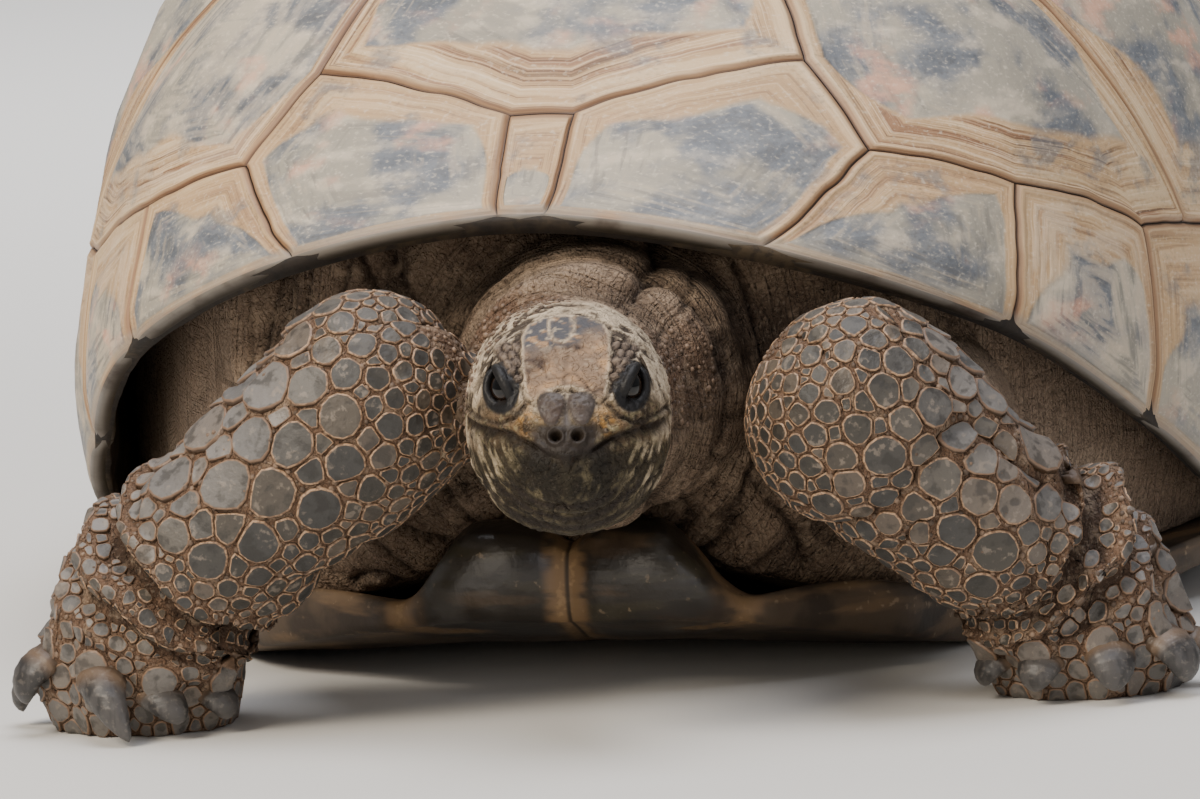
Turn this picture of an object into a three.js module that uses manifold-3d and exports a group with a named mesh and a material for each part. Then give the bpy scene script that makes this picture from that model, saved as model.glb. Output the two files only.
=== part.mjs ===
// Aldabra giant tortoise, a large male at rest on its plastron, as a life-size still model.
// Millimetres, +Z up. The animal faces -Y and its left side is +X.
// The origin is the middle of the flat underside of the plastron, on the ground.

import * as THREE from 'three';
import { mergeVertices } from 'three/addons/utils/BufferGeometryUtils.js';
import Module from 'manifold-3d';

const wasm = await Module();
wasm.setup();

// ---------------------------------------------------------------- driving dimensions

const GAP = 0.3; // clearance between two parts that touch

const CROWN = new THREE.Vector3(0, 30, 505); // top of the carapace
const RIM = [
  // rim of the carapace on the left side, every 18 degrees from the nape to the tail
  new THREE.Vector3(0, -500, 270),
  new THREE.Vector3(137, -488, 247),
  new THREE.Vector3(251, -385, 190),
  new THREE.Vector3(312, -250, 118),
  new THREE.Vector3(344, -110, 54),
  new THREE.Vector3(353, 40, 42),
  new THREE.Vector3(348, 190, 54),
  new THREE.Vector3(316, 325, 95),
  new THREE.Vector3(245, 432, 140),
  new THREE.Vector3(140, 507, 150),
  new THREE.Vector3(0, 545, 112),
];
// How each meridian of the carapace leaves the crown and reaches the rim:
// crown handle and rim handle as shares of the way out, and the rise of the rim handle.
const FRONT_PROFILE = { crown: 0.48, rim: -0.2, rise: 50 };
const SIDE_PROFILE = { crown: 0.75, rim: 0.13, rise: 256 };
const REAR_PROFILE = { crown: 0.62, rim: -0.02, rise: 215 };

const SHELL_WALL = 20; // bone and horn of the carapace
const RIM_EDGE = 14; // thickness at the rim
const SEAM_DEPTH = 2.6; // grooves between two scutes
const SEAM_WIDTH = 7;
const VERTEBRAL_DOME = 10; // how far the middle of a scute stands up
const COSTAL_DOME = 9;
const MARGINAL_DOME = 4;

const PLASTRON_TOP = 24.7;
const GULAR_TOP = 94; // the throat scutes are thick and turned up
const GULAR_RISE = 40;
const GULAR_HALF = 76; // half width of the pair, where their tops begin to fall away
const GULAR_DIP = 18; // hollow between the two
const GULAR_LEAN = 10; // the throat end stands a little to the animal's left
const BRIDGE_RISE = 27;

const HEAD_AT = new THREE.Vector3(48, -628, 181);
const HEAD_YAW = 10; // degrees toward the animal's left
const HEAD_PITCH = 12; // degrees nose down
const HEAD_ROLL = 1.5;
const EYE_RADIUS = 12.5;
const LID_THICKNESS = 4;
const EYE_AT = { out: 28, forward: 26, up: 18.6 };
const EYE_FACING = { out: 0.6, forward: 0.74, up: 0.32 };
const EYE_OPENING = { long: 25, above: 7.5, below: 17, tilt: 44 }; // the upper lid hangs low
const BROW_ROWS = [47, 68]; // rows of brow scales, in degrees round the eyeball from its gaze
const BROW_TURNS = [-48, -16, 16, 48];
const BROW_SCALE = { radius: 3.1, rise: 1.6 };
const NOSTRIL = { out: 5.8, forward: 70, up: 6.5, tilt: 141.5, radius: 2.7 };

const SCALE_GROOVE = 1.6; // grooves between the scales of the limbs
const SCALE_RISE = 1.8;

// ---------------------------------------------------------------- small helpers

const V = (x, y, z) => new THREE.Vector3(x, y, z);
const radians = THREE.MathUtils.degToRad;
const { clamp, lerp, smoothstep } = THREE.MathUtils;
const UP = V(0, 0, 1);

/** Small repeatable random numbers from 0 to 1. */
function makeRandom(seed) {
  let state = seed;
  return () => {
    state = (state * 1664525 + 1013904223) % 4294967296;
    return state / 4294967296;
  };
}

/** Smooth value at u (0 to 1) through evenly spaced station values. */
function track(values) {
  const last = values.length - 1;
  return (u) => {
    const place = clamp(u, 0, 1) * last;
    const i = Math.min(Math.floor(place), last - 1);
    const t = place - i;
    const before = values[Math.max(i - 1, 0)];
    const after = values[Math.min(i + 2, last)];
    const slopeIn = (values[i + 1] - before) / 2;
    const slopeOut = (after - values[i]) / 2;
    const rise = values[i + 1] - values[i];
    return values[i] + slopeIn * t + (3 * rise - 2 * slopeIn - slopeOut) * t * t
      + (slopeIn + slopeOut - 2 * rise) * t * t * t;
  };
}

/** Triangles gathered as corner points, then merged into one indexed geometry. */
class Skin {
  constructor() {
    this.corners = [];
  }

  triangle(a, b, c) {
    this.corners.push(a.x, a.y, a.z, b.x, b.y, b.z, c.x, c.y, c.z);
  }

  quad(a, b, c, d) {
    this.triangle(a, b, c);
    this.triangle(a, c, d);
  }

  /** A closed band between two loops of equal count. */
  band(lower, upper) {
    for (let i = 0; i < lower.length; i += 1) {
      const j = (i + 1) % lower.length;
      this.quad(lower[i], lower[j], upper[j], upper[i]);
    }
  }

  /** A fan that closes a loop at one point. */
  fan(loop, tip) {
    for (let i = 0; i < loop.length; i += 1) {
      this.triangle(loop[i], loop[(i + 1) % loop.length], tip);
    }
  }

  /** Indexed geometry whose faces point out. */
  geometry() {
    const loose = new THREE.BufferGeometry();
    loose.setAttribute('position', new THREE.Float32BufferAttribute(this.corners, 3));
    const merged = mergeVertices(loose, 1e-3);
    const index = merged.index.array;
    const kept = [];
    for (let i = 0; i < index.length; i += 3) {
      const [a, b, c] = [index[i], index[i + 1], index[i + 2]];
      if (a !== b && b !== c && c !== a) kept.push(a, b, c);
    }
    if (signedVolume(merged.attributes.position, kept) < 0) kept.reverse();
    merged.setIndex(kept);
    return merged;
  }
}

function signedVolume(position, index) {
  const [a, b, c] = [V(), V(), V()];
  let sum = 0;
  for (let i = 0; i < index.length; i += 3) {
    a.fromBufferAttribute(position, index[i]);
    b.fromBufferAttribute(position, index[i + 1]);
    c.fromBufferAttribute(position, index[i + 2]);
    sum += a.dot(b.cross(c)) / 6;
  }
  return sum;
}

function middle(points) {
  const sum = points.reduce((total, point) => total.add(point), V(0, 0, 0));
  return sum.divideScalar(points.length);
}

/** A closed body through rings of equal count, with flat or pointed ends. */
function loft(rings) {
  const skin = new Skin();
  for (let i = 0; i + 1 < rings.length; i += 1) skin.band(rings[i], rings[i + 1]);
  skin.fan([...rings[0]].reverse(), middle(rings[0]));
  skin.fan(rings.at(-1), middle(rings.at(-1)));
  return skin.geometry();
}

/** Oval ring about a centre, in the plane of two unit directions. */
function oval(centre, across, onward, halfWidth, halfHeight, count, squareness = 2) {
  const ring = [];
  for (let i = 0; i < count; i += 1) {
    const angle = (i / count) * 2 * Math.PI;
    const c = Math.cos(angle);
    const s = Math.sin(angle);
    const x = Math.sign(c) * Math.abs(c) ** (2 / squareness) * halfWidth;
    const y = Math.sign(s) * Math.abs(s) ** (2 / squareness) * halfHeight;
    ring.push(centre.clone().addScaledVector(across, x).addScaledVector(onward, y));
  }
  return ring;
}

function solidOf(geometry) {
  const plain = new THREE.BufferGeometry();
  plain.setAttribute('position', geometry.attributes.position.clone());
  if (geometry.index) plain.setIndex(geometry.index.clone());
  const merged = mergeVertices(plain, 1e-4);
  const mesh = new wasm.Mesh({
    numProp: 3,
    vertProperties: new Float32Array(merged.attributes.position.array),
    triVerts: new Uint32Array(merged.index.array),
  });
  return new wasm.Manifold(mesh);
}

/** Geometry of the largest closed surface of a solid. */
function geometryOf(solid) {
  const pieces = solid.decompose();
  const largest = pieces.reduce((best, piece) => (piece.volume() > best.volume() ? piece : best));
  const mesh = largest.getMesh();
  const geometry = new THREE.BufferGeometry();
  geometry.setAttribute('position', new THREE.Float32BufferAttribute(mesh.vertProperties, 3));
  geometry.setIndex([...mesh.triVerts]);
  return geometry;
}

function joined(base, additions) {
  return additions.reduce((sum, geometry) => sum.add(solidOf(geometry)), base);
}

function cutBy(base, cutters) {
  return cutters.reduce((rest, geometry) => rest.subtract(solidOf(geometry)), base);
}

// ---------------------------------------------------------------- finishes

function finish(color, roughness) {
  return new THREE.MeshStandardMaterial({ color, roughness, metalness: 0 });
}

const HORN = finish(0x8f7d6b, 0.6);
const PLASTRON_HORN = finish(0x3a332d, 0.35);
const HIDE = finish(0x5a4e44, 0.75);
const SCALES = finish(0x57534f, 0.6);
const HEAD_HIDE = finish(0x8a7a68, 0.6);
const JAW_HIDE = finish(0x4a4436, 0.55);
const EYE = finish(0x0d0b0a, 0.1);
const CLAW = finish(0x6e675f, 0.45);

const tortoise = new THREE.Group();

function addPart(name, geometry, material, parent = tortoise) {
  const mesh = new THREE.Mesh(geometry, material);
  mesh.name = name;
  parent.add(mesh);
  return mesh;
}

// ---------------------------------------------------------------- carapace surface

/** Rim point at an angle in degrees: 0 is the nape, positive angles go to the left side. */
function rimPoint(angle) {
  const place = Math.abs(angle) / 18;
  const i = Math.min(Math.floor(place), RIM.length - 2);
  const t = place - i;
  const station = (k) => {
    const folded = k < 0 ? -k : k > 10 ? 20 - k : k;
    const point = RIM[folded].clone();
    if (folded !== k) point.x *= -1;
    return point;
  };
  const curve = new THREE.CatmullRomCurve3(
    [station(i - 1), station(i), station(i + 1), station(i + 2)], false, 'catmullrom', 0.5,
  );
  const point = curve.getPoint((1 + t) / 3);
  if (angle < 0) point.x *= -1;
  return point;
}

/** Point of the carapace: angle about the crown and share v of the way from crown to rim. */
function shellPoint(angle, v) {
  const rim = rimPoint(angle);
  const forward = Math.cos(radians(angle));
  const front = Math.max(0, forward) ** 2;
  const rear = Math.max(0, -forward) ** 2;
  const blend = (key) => FRONT_PROFILE[key] * front + REAR_PROFILE[key] * rear
    + SIDE_PROFILE[key] * (1 - front - rear);
  const outward = rim.clone().sub(CROWN).setZ(0);
  const crownHandle = CROWN.clone().addScaledVector(outward, blend('crown'));
  const rimHandle = rim.clone().addScaledVector(outward, blend('rim'));
  rimHandle.z += blend('rise');
  return new THREE.CubicBezierCurve3(CROWN, crownHandle, rimHandle, rim).getPoint(v);
}

/** Place on the flat disc that the scute seams are drawn on: the crown is its middle. */
function disc(angle, v) {
  return new THREE.Vector2(v * Math.sin(radians(angle)), -v * Math.cos(radians(angle)));
}

function shellAt(place, lift = 0) {
  const v = Math.min(place.length(), 1);
  const angle = THREE.MathUtils.radToDeg(Math.atan2(place.x, -place.y));
  const point = shellPoint(angle, v);
  if (lift === 0) return point;
  return point.addScaledVector(shellNormal(angle, v), lift);
}

function shellNormal(angle, v) {
  const step = 0.01;
  const safe = clamp(v, 0.02, 1 - step);
  const around = shellPoint(wrap(angle + 0.5), safe).sub(shellPoint(wrap(angle - 0.5), safe));
  const outward = shellPoint(angle, safe + step).sub(shellPoint(angle, safe - step));
  return outward.cross(around).normalize();
}

function wrap(angle) {
  if (angle > 180) return angle - 360;
  if (angle < -180) return angle + 360;
  return angle;
}

// ---------------------------------------------------------------- scute layout

// Seams between two marginal scutes on the left side: angle at the rim, angle and v at the top.
const MARGINAL_SEAMS = [
  { rim: 1.7, top: 2.7, v: 0.785 },
  { rim: 17.4, top: 27, v: 0.79 },
  { rim: 36.4, top: 40, v: 0.795 },
  { rim: 54.2, top: 55.8, v: 0.797 },
  { rim: 68, top: 69, v: 0.765 },
  { rim: 81, top: 81.5, v: 0.755 },
  { rim: 95, top: 95, v: 0.75 },
  { rim: 109, top: 109, v: 0.755 },
  { rim: 124, top: 123, v: 0.765 },
  { rim: 139, top: 138, v: 0.78 },
  { rim: 153, top: 152, v: 0.795 },
  { rim: 167, top: 166, v: 0.82 },
];
// Where the seams of the large scutes come down on the ring of marginals.
const NAPE_PEAK = { top: 23.3, v: 0.672 };
const COSTAL_FEET = [
  { top: 63, v: 0.775, marginal: 4 },
  { top: 89, v: 0.75, marginal: 6 },
  { top: 117, v: 0.757, marginal: 8 },
  { top: 146, v: 0.785, marginal: 10 },
];
// Corners of the vertebral scutes on the disc, from the nape to the tail.
const VERTEBRAL_CORNERS = [
  { x: 0.19, y: -0.47 },
  { x: 0.3, y: -0.33 },
  { x: 0.21, y: -0.16 },
  { x: 0.31, y: 0.01 },
  { x: 0.21, y: 0.18 },
  { x: 0.28, y: 0.34 },
  { x: 0.16, y: 0.47 },
];

const mirrorPlace = (place) => new THREE.Vector2(-place.x, place.y);
const mirrorLoop = (loop) => [...loop].reverse().map(mirrorPlace);

/** Outlines of all scutes as corner loops on the disc, each with its dome height. */
function scuteLayout() {
  const seamTop = (seam) => disc(seam.top, seam.v);
  const peak = disc(NAPE_PEAK.top, NAPE_PEAK.v);
  const feet = COSTAL_FEET.map((foot) => disc(foot.top, foot.v));
  const corners = VERTEBRAL_CORNERS.map((corner) => new THREE.Vector2(corner.x, corner.y));
  const tops = MARGINAL_SEAMS.map(seamTop);
  const layout = [];

  const both = (loop) => [...loop, ...mirrorLoop(loop)];
  const vertebral = [
    [tops[0], peak, corners[0]],
    [corners[0], corners[1], corners[2]],
    [corners[2], corners[3], corners[4]],
    [corners[4], corners[5], corners[6]],
    [corners[6], feet[3], tops[10], tops[11]],
  ];
  vertebral.forEach((loop) => layout.push({ loop: both(loop), dome: VERTEBRAL_DOME }));

  const costal = [
    [corners[0], peak, tops[1], tops[2], tops[3], feet[0], corners[1]],
    [corners[1], feet[0], tops[4], tops[5], feet[1], corners[3], corners[2]],
    [corners[3], feet[1], tops[6], tops[7], feet[2], corners[5], corners[4]],
    [corners[5], feet[2], tops[8], tops[9], feet[3], corners[6]],
  ];
  costal.forEach((loop) => {
    layout.push({ loop, dome: COSTAL_DOME });
    layout.push({ loop: mirrorLoop(loop), dome: COSTAL_DOME });
  });

  for (let i = 0; i + 1 < MARGINAL_SEAMS.length; i += 1) {
    const [a, b] = [MARGINAL_SEAMS[i], MARGINAL_SEAMS[i + 1]];
    const loop = [disc(a.rim, 1), disc(b.rim, 1), tops[i + 1]];
    const foot = COSTAL_FEET.findIndex((candidate) => candidate.marginal === i + 1);
    if (foot >= 0) loop.push(feet[foot]);
    if (i === 0) loop.push(peak);
    loop.push(tops[i]);
    layout.push({ loop, dome: MARGINAL_DOME });
    layout.push({ loop: mirrorLoop(loop), dome: MARGINAL_DOME });
  }
  const nape = [disc(MARGINAL_SEAMS[0].rim, 1), tops[0]];
  const tail = [tops[11], disc(MARGINAL_SEAMS[11].rim, 1)];
  layout.push({ loop: both(nape), dome: MARGINAL_DOME * 0.6 });
  layout.push({ loop: both(tail), dome: MARGINAL_DOME });
  return layout;
}

/** Points along a seam between two corners, the same from either side. */
function seamPoints(from, to) {
  const reversed = from.x - to.x || from.y - to.y;
  const [a, b] = reversed > 0 ? [to, from] : [from, to];
  const onRim = a.length() > 0.999 && b.length() > 0.999;
  const count = Math.max(1, Math.round(a.distanceTo(b) / (onRim ? 0.16 : 0.14)));
  const points = [];
  for (let i = 0; i <= count; i += 1) {
    const place = a.clone().lerp(b, i / count);
    points.push(onRim ? place.normalize() : place);
  }
  return reversed > 0 ? points.reverse() : points;
}

/** Outline of a scute with its long seams divided. */
function outlineOf(loop) {
  const outline = [];
  loop.forEach((corner, i) => {
    outline.push(...seamPoints(corner, loop[(i + 1) % loop.length]).slice(0, -1));
  });
  const area = outline.reduce((sum, a, i) => sum + a.cross(outline[(i + 1) % outline.length]), 0);
  return area > 0 ? outline : outline.reverse();
}

/** One raised scute: sunk seam, steep shoulder, then steps up to the areola. */
function addScute(skin, loop, dome) {
  const outline = outlineOf(loop);
  const areola = new THREE.Vector2();
  outline.forEach((place) => areola.add(place));
  areola.divideScalar(outline.length);
  if (areola.length() > 0.85) areola.setLength(0.93);
  const steps = [{ share: 0.24, lift: dome }];
  if (dome > MARGINAL_DOME) steps.unshift({ share: 0.62, lift: dome * 0.6 });
  const sunk = outline.map((place) => shellAt(place, place.length() > 0.999 ? 0 : -SEAM_DEPTH));
  const middlePoint = shellAt(areola);
  const rings = [sunk, outline.map((place, i) => {
    const share = 1 - SEAM_WIDTH / Math.max(sunk[i].distanceTo(middlePoint), SEAM_WIDTH * 3);
    return shellAt(areola.clone().lerp(place, share), dome * 0.25);
  })];
  steps.forEach((step) => {
    rings.push(outline.map((place) => shellAt(areola.clone().lerp(place, step.share), step.lift)));
  });
  for (let i = 0; i + 1 < rings.length; i += 1) skin.band(rings[i], rings[i + 1]);
  skin.fan(rings.at(-1), shellAt(areola, dome));
}

/** Places of the rim points all round, in order of angle. */
function rimPlaces() {
  const left = MARGINAL_SEAMS.map((seam) => disc(seam.rim, 1));
  const loop = [...left, ...left.map(mirrorPlace).reverse()];
  return outlineOf(loop);
}

/** Ring inside the carapace wall at share v, inward by the given depth. */
function innerRing(v, depth) {
  return rimPlaces().map((place) => shellAt(place.clone().multiplyScalar(v), -depth));
}

const INNER_ROWS = [0.93, 0.72, 0.42];

function makeCarapace() {
  const skin = new Skin();
  scuteLayout().forEach(({ loop, dome }) => addScute(skin, loop, dome));
  const rows = [rimPlaces().map((place) => shellAt(place)), innerRing(1, RIM_EDGE)];
  INNER_ROWS.forEach((v) => rows.push(innerRing(v, SHELL_WALL)));
  for (let i = 0; i + 1 < rows.length; i += 1) skin.band(rows[i + 1], rows[i]);
  skin.fan([...rows.at(-1)].reverse(), shellAt(new THREE.Vector2(), -SHELL_WALL));
  return skin.geometry();
}

// ---------------------------------------------------------------- plastron

// Corners of the plastron scutes on the left side, in plan.
const THROAT = new THREE.Vector2(0, -452);
const GULAR_TIP = new THREE.Vector2(17, -458);
const GULAR_CORNER = new THREE.Vector2(58, -462);
const GULAR_END = new THREE.Vector2(0, -392);
const GULAR_SIDE = new THREE.Vector2(94, -446);
const HUMERAL_END = new THREE.Vector2(0, -262);
const HUMERAL_CORNER = new THREE.Vector2(182, -384);
const HUMERAL_SIDE = new THREE.Vector2(224, -283);
const PECTORAL_END = new THREE.Vector2(0, -214);
const PECTORAL_BEND = new THREE.Vector2(130, -216);
const PECTORAL_CORNER = new THREE.Vector2(296, -208);
const PECTORAL_SIDE = new THREE.Vector2(342, -108);
const ABDOMINAL_END = new THREE.Vector2(0, 150);
const BRIDGE_CORNERS = [
  new THREE.Vector2(349, 40), new THREE.Vector2(340, 160), new THREE.Vector2(292, 222),
];
const ABDOMINAL_SIDE = new THREE.Vector2(228, 246);
const FEMORAL_END = new THREE.Vector2(0, 320);
const FEMORAL_CORNER = new THREE.Vector2(206, 334);
const FEMORAL_SIDE = new THREE.Vector2(158, 392);
const ANAL_CORNER = new THREE.Vector2(70, 438);
const ANAL_NOTCH = new THREE.Vector2(0, 424);
const BRIDGE_INNER = 225; // half width of the flat part
const BRIDGE_OUTER = 346;

const PLASTRON_SCUTES = [
  [THROAT, GULAR_TIP, GULAR_CORNER, GULAR_SIDE, GULAR_END],
  [GULAR_END, GULAR_SIDE, HUMERAL_CORNER, HUMERAL_SIDE, HUMERAL_END],
  [HUMERAL_END, HUMERAL_SIDE, PECTORAL_CORNER, PECTORAL_SIDE, PECTORAL_BEND, PECTORAL_END],
  [PECTORAL_END, PECTORAL_BEND, PECTORAL_SIDE, ...BRIDGE_CORNERS, ABDOMINAL_SIDE, ABDOMINAL_END],
  [ABDOMINAL_END, ABDOMINAL_SIDE, FEMORAL_CORNER, FEMORAL_SIDE, FEMORAL_END],
  [FEMORAL_END, FEMORAL_SIDE, ANAL_CORNER, ANAL_NOTCH],
];

/** Height of the underside: flat on the ground, turned up at the throat and the bridges. */
function underside(x, y) {
  const front = clamp((-290 - y) / 170, 0, 1) ** 1.4 * GULAR_RISE;
  const bridge = clamp((Math.abs(x) - BRIDGE_INNER) / (BRIDGE_OUTER - BRIDGE_INNER), 0, 1);
  return Math.max(front, bridge ** 1.3 * BRIDGE_RISE);
}

/** Height of the upper face: level inside the body, thick at the throat. */
function plastronTop(x, y) {
  const front = smoothstep(-y, 330, 445);
  const side = 1 - 0.55 * smoothstep(Math.abs(x), GULAR_HALF, GULAR_HALF + 24);
  const dip = GULAR_DIP * front * Math.exp(-((x / 9) ** 2));
  const bridge = clamp((Math.abs(x) - BRIDGE_INNER) / (BRIDGE_OUTER - BRIDGE_INNER), 0, 1);
  const throat = (GULAR_TOP - PLASTRON_TOP) * front * side - dip;
  return PLASTRON_TOP + Math.max(throat, bridge ** 1.3 * (BRIDGE_RISE - 10.4));
}

/** How far the throat end is shifted to the animal's left. */
const leanAt = (y) => GULAR_LEAN * smoothstep(-y, 330, 445);

function planPoints(from, to) {
  const reversed = from.x - to.x || from.y - to.y;
  const [a, b] = reversed > 0 ? [to, from] : [from, to];
  const count = Math.max(1, Math.round(a.distanceTo(b) / 75));
  const points = [];
  for (let i = 0; i <= count; i += 1) points.push(a.clone().lerp(b, i / count));
  return reversed > 0 ? points.reverse() : points;
}

function planOutline(loop) {
  const outline = [];
  loop.forEach((corner, i) => {
    outline.push(...planPoints(corner, loop[(i + 1) % loop.length]).slice(0, -1));
  });
  return outline;
}

/** Outer outline of the whole plastron in plan. */
function plastronOutline() {
  const left = [
    THROAT, GULAR_TIP, GULAR_CORNER, GULAR_SIDE, HUMERAL_CORNER, HUMERAL_SIDE, PECTORAL_CORNER,
    PECTORAL_SIDE, ...BRIDGE_CORNERS, ABDOMINAL_SIDE, FEMORAL_CORNER, FEMORAL_SIDE, ANAL_CORNER, ANAL_NOTCH,
  ];
  const right = left.slice(1, -1).map(mirrorPlace).reverse();
  return planOutline([...left, ...right]);
}

/** Plastron with its scutes on the underside; grow makes the cutter that keeps a part clear. */
function makePlastron(grow = 0) {
  const skin = new Skin();
  const outline = plastronOutline();
  const onEdge = new Set(outline.map((place) => `${place.x.toFixed(2)},${place.y.toFixed(2)}`));
  const low = (place, sink) => V(
    place.x + leanAt(place.y), place.y, underside(place.x, place.y) + sink - grow,
  );
  const addBelow = (loop) => {
    const corners = planOutline(loop);
    const centre = new THREE.Vector2();
    corners.forEach((place) => centre.add(place));
    centre.divideScalar(corners.length);
    const seam = corners.map((place) => {
      const edge = onEdge.has(`${place.x.toFixed(2)},${place.y.toFixed(2)}`);
      const worn = underside(place.x, place.y) < 1; // worn flat where it lies on the ground
      return low(place, edge || worn ? 0 : SEAM_DEPTH * 0.6);
    });
    const plate = corners.map((place) => {
      const share = 1 - 5 / Math.max(place.distanceTo(centre), 20);
      const at = centre.clone().lerp(place, share);
      return low(at, 0);
    });
    skin.band(seam, plate);
    skin.fan(plate, low(centre, 0));
  };
  PLASTRON_SCUTES.forEach((loop) => {
    addBelow(loop);
    addBelow(mirrorLoop(loop));
  });
  const high = (place, share) => V(
    place.x * share + leanAt(place.y * share), place.y * share,
    plastronTop(place.x * share, place.y * share) + grow,
  );
  const bottom = outline.map((place) => low(place, 0));
  const bulge = outline.map((place) => {
    const z = lerp(underside(place.x, place.y), plastronTop(place.x, place.y), 0.55);
    const out = place.y < -300 ? 7 : 0;
    return V(place.x * (1 + out / 400) + leanAt(place.y), place.y - out, z);
  });
  const rows = [bottom, bulge, ...[0.985, 0.86, 0.5].map((share) => (
    outline.map((place) => high(place, share))))];
  for (let i = 0; i + 1 < rows.length; i += 1) skin.band(rows[i + 1], rows[i]);
  skin.fan([...rows.at(-1)].reverse(), high(new THREE.Vector2(), 0));
  return skin.geometry();
}

// ---------------------------------------------------------------- limbs

const FORE_TOES = [-72, -36, 0, 36, 72]; // degrees from straight ahead
const HIND_TOES = [-48, -16, 16, 48];
const TOE_LEVEL = 0.9; // share of the limb's line
const TOE_HEIGHT = 0.1;
const TOE_SPREAD = 13; // degrees

/**
 * A limb along a smooth line: at(u) gives the centre and the section plane, and point(u, angle)
 * a point of its surface. Angle 0 faces outward from the limb's side, 90 degrees faces forward.
 */
class Limb {
  constructor({ line, across, onward, facing, soleFrom = 2, toes = [], toeSize = 0 }) {
    this.curve = new THREE.CatmullRomCurve3(line, false, 'centripetal');
    this.curve.arcLengthDivisions = 100;
    this.across = track(across);
    this.onward = track(onward);
    this.facing = facing.clone().normalize();
    this.soleFrom = soleFrom;
    this.toes = toes;
    this.toeSize = toeSize;
  }

  /** How far the toes stand out of the foot. */
  toeBulge(u, angle) {
    const along = Math.exp(-(((u - TOE_LEVEL) / TOE_HEIGHT) ** 2));
    const lobes = this.toes.map((turn) => {
      const away = ((THREE.MathUtils.radToDeg(angle) - (90 - turn) + 540) % 360) - 180;
      return Math.exp(-((away / TOE_SPREAD) ** 2));
    });
    return this.toeSize * along * Math.max(0, ...lobes);
  }

  at(u) {
    const place = clamp(u, 0, 1);
    const centre = this.curve.getPointAt(place);
    const normal = this.curve.getTangentAt(place);
    normal.lerp(V(0, 0, -1), smoothstep(place, this.soleFrom, 1)).normalize();
    const onward = this.facing.clone().addScaledVector(normal, -this.facing.dot(normal));
    onward.normalize();
    const across = onward.clone().cross(normal);
    return { centre, across, onward };
  }

  point(u, angle, grow = 0) {
    const { centre, across, onward } = this.at(u);
    const bulge = grow + this.toeBulge(u, angle);
    const a = this.across(u) + bulge;
    const b = this.onward(u) + bulge;
    return centre.addScaledVector(across, a * Math.cos(angle))
      .addScaledVector(onward, b * Math.sin(angle));
  }

  normal(u, angle) {
    const around = this.point(u, angle + 0.05).sub(this.point(u, angle - 0.05));
    const along = this.point(Math.min(u + 0.02, 1), angle);
    along.sub(this.point(Math.max(u - 0.02, 0), angle));
    return around.cross(along).normalize();
  }

  ring(u, count, grow = 0) {
    const ring = [];
    for (let i = 0; i < count; i += 1) ring.push(this.point(u, (i / count) * 2 * Math.PI, grow));
    return ring;
  }

  /** Plain smooth length of the limb from one share of its line to another. */
  smooth(from, to, count, rows, grow = 0) {
    const rings = [];
    for (let i = 0; i <= rows; i += 1) {
      rings.push(this.ring(lerp(from, to, i / rows), count, grow));
    }
    const start = this.curve.getTangentAt(from).multiplyScalar(-grow);
    const end = this.curve.getTangentAt(to).multiplyScalar(grow);
    rings[0].forEach((point) => point.add(start));
    rings.at(-1).forEach((point) => point.add(end));
    return loft(rings);
  }

  /** Length of the limb covered all over with raised six-sided scales. */
  scaled(from, to, count, rows, seed, onGround = false) {
    const random = makeRandom(seed);
    const skin = new Skin();
    const step = (to - from) / rows;
    const corners = [];
    for (let row = 0; row <= rows; row += 1) {
      const atEnd = row === 0 || row === rows;
      const loop = [];
      for (let k = 0; k < 2 * count; k += 1) {
        const zigzag = (k + row) % 2 === 0 ? 1 : -1;
        const along = atEnd ? 0 : zigzag / 6 + (random() - 0.5) * 0.16;
        const around = atEnd ? 0 : (random() - 0.5) * 0.22;
        loop.push({
          u: from + step * (row + along),
          angle: ((k + around) / count) * Math.PI,
        });
      }
      corners.push(loop);
    }
    const groove = (corner, atEnd) => this.point(corner.u, corner.angle, atEnd ? 0 : -SCALE_GROOVE);
    const loops = corners.map((loop, row) => (
      loop.map((corner) => groove(corner, row === 0 || row === rows))));
    for (let row = 0; row < rows; row += 1) {
      const shift = row % 2;
      for (let i = 0; i < count; i += 1) {
        const keys = [0, 1, 2].map((k) => (2 * i + shift + k) % (2 * count));
        const turn = 2 * i + shift + 2 >= 2 * count ? 2 * Math.PI : 0;
        const around = (corner, k) => corner.angle + (keys[k] < 2 * i + shift ? turn : 0);
        const rim = [
          ...[0, 1, 2].map((k) => ({ u: corners[row][keys[k]].u, angle: around(corners[row][keys[k]], k) })),
          ...[2, 1, 0].map((k) => ({
            u: corners[row + 1][keys[k]].u, angle: around(corners[row + 1][keys[k]], k),
          })),
        ];
        const outer = [
          ...[0, 1, 2].map((k) => loops[row][keys[k]]),
          ...[2, 1, 0].map((k) => loops[row + 1][keys[k]]),
        ];
        this.addScale(skin, rim, outer, onGround);
      }
    }
    skin.fan([...loops[0]].reverse(), middle(loops[0]));
    skin.fan(loops.at(-1), middle(loops.at(-1)));
    return skin.geometry();
  }

  addScale(skin, rim, outer, onGround) {
    const centre = { u: 0, angle: 0 };
    rim.forEach((corner) => {
      centre.u += corner.u / rim.length;
      centre.angle += corner.angle / rim.length;
    });
    const raised = (corner, share, rise) => {
      const u = lerp(centre.u, corner.u, share);
      const angle = lerp(centre.angle, corner.angle, share);
      const point = this.point(u, angle).addScaledVector(this.normal(u, angle), rise);
      if (onGround) point.z = Math.max(point.z, 0.6);
      return point;
    };
    const inner = rim.map((corner) => raised(corner, 0.76, SCALE_RISE));
    skin.band(outer, inner);
    skin.fan(inner, raised(centre, 1, SCALE_RISE * 1.7));
  }
}

const FORE_COUNT = 10; // scales round a foreleg
const WRIST = 0.66; // share of the foreleg's line

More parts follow.
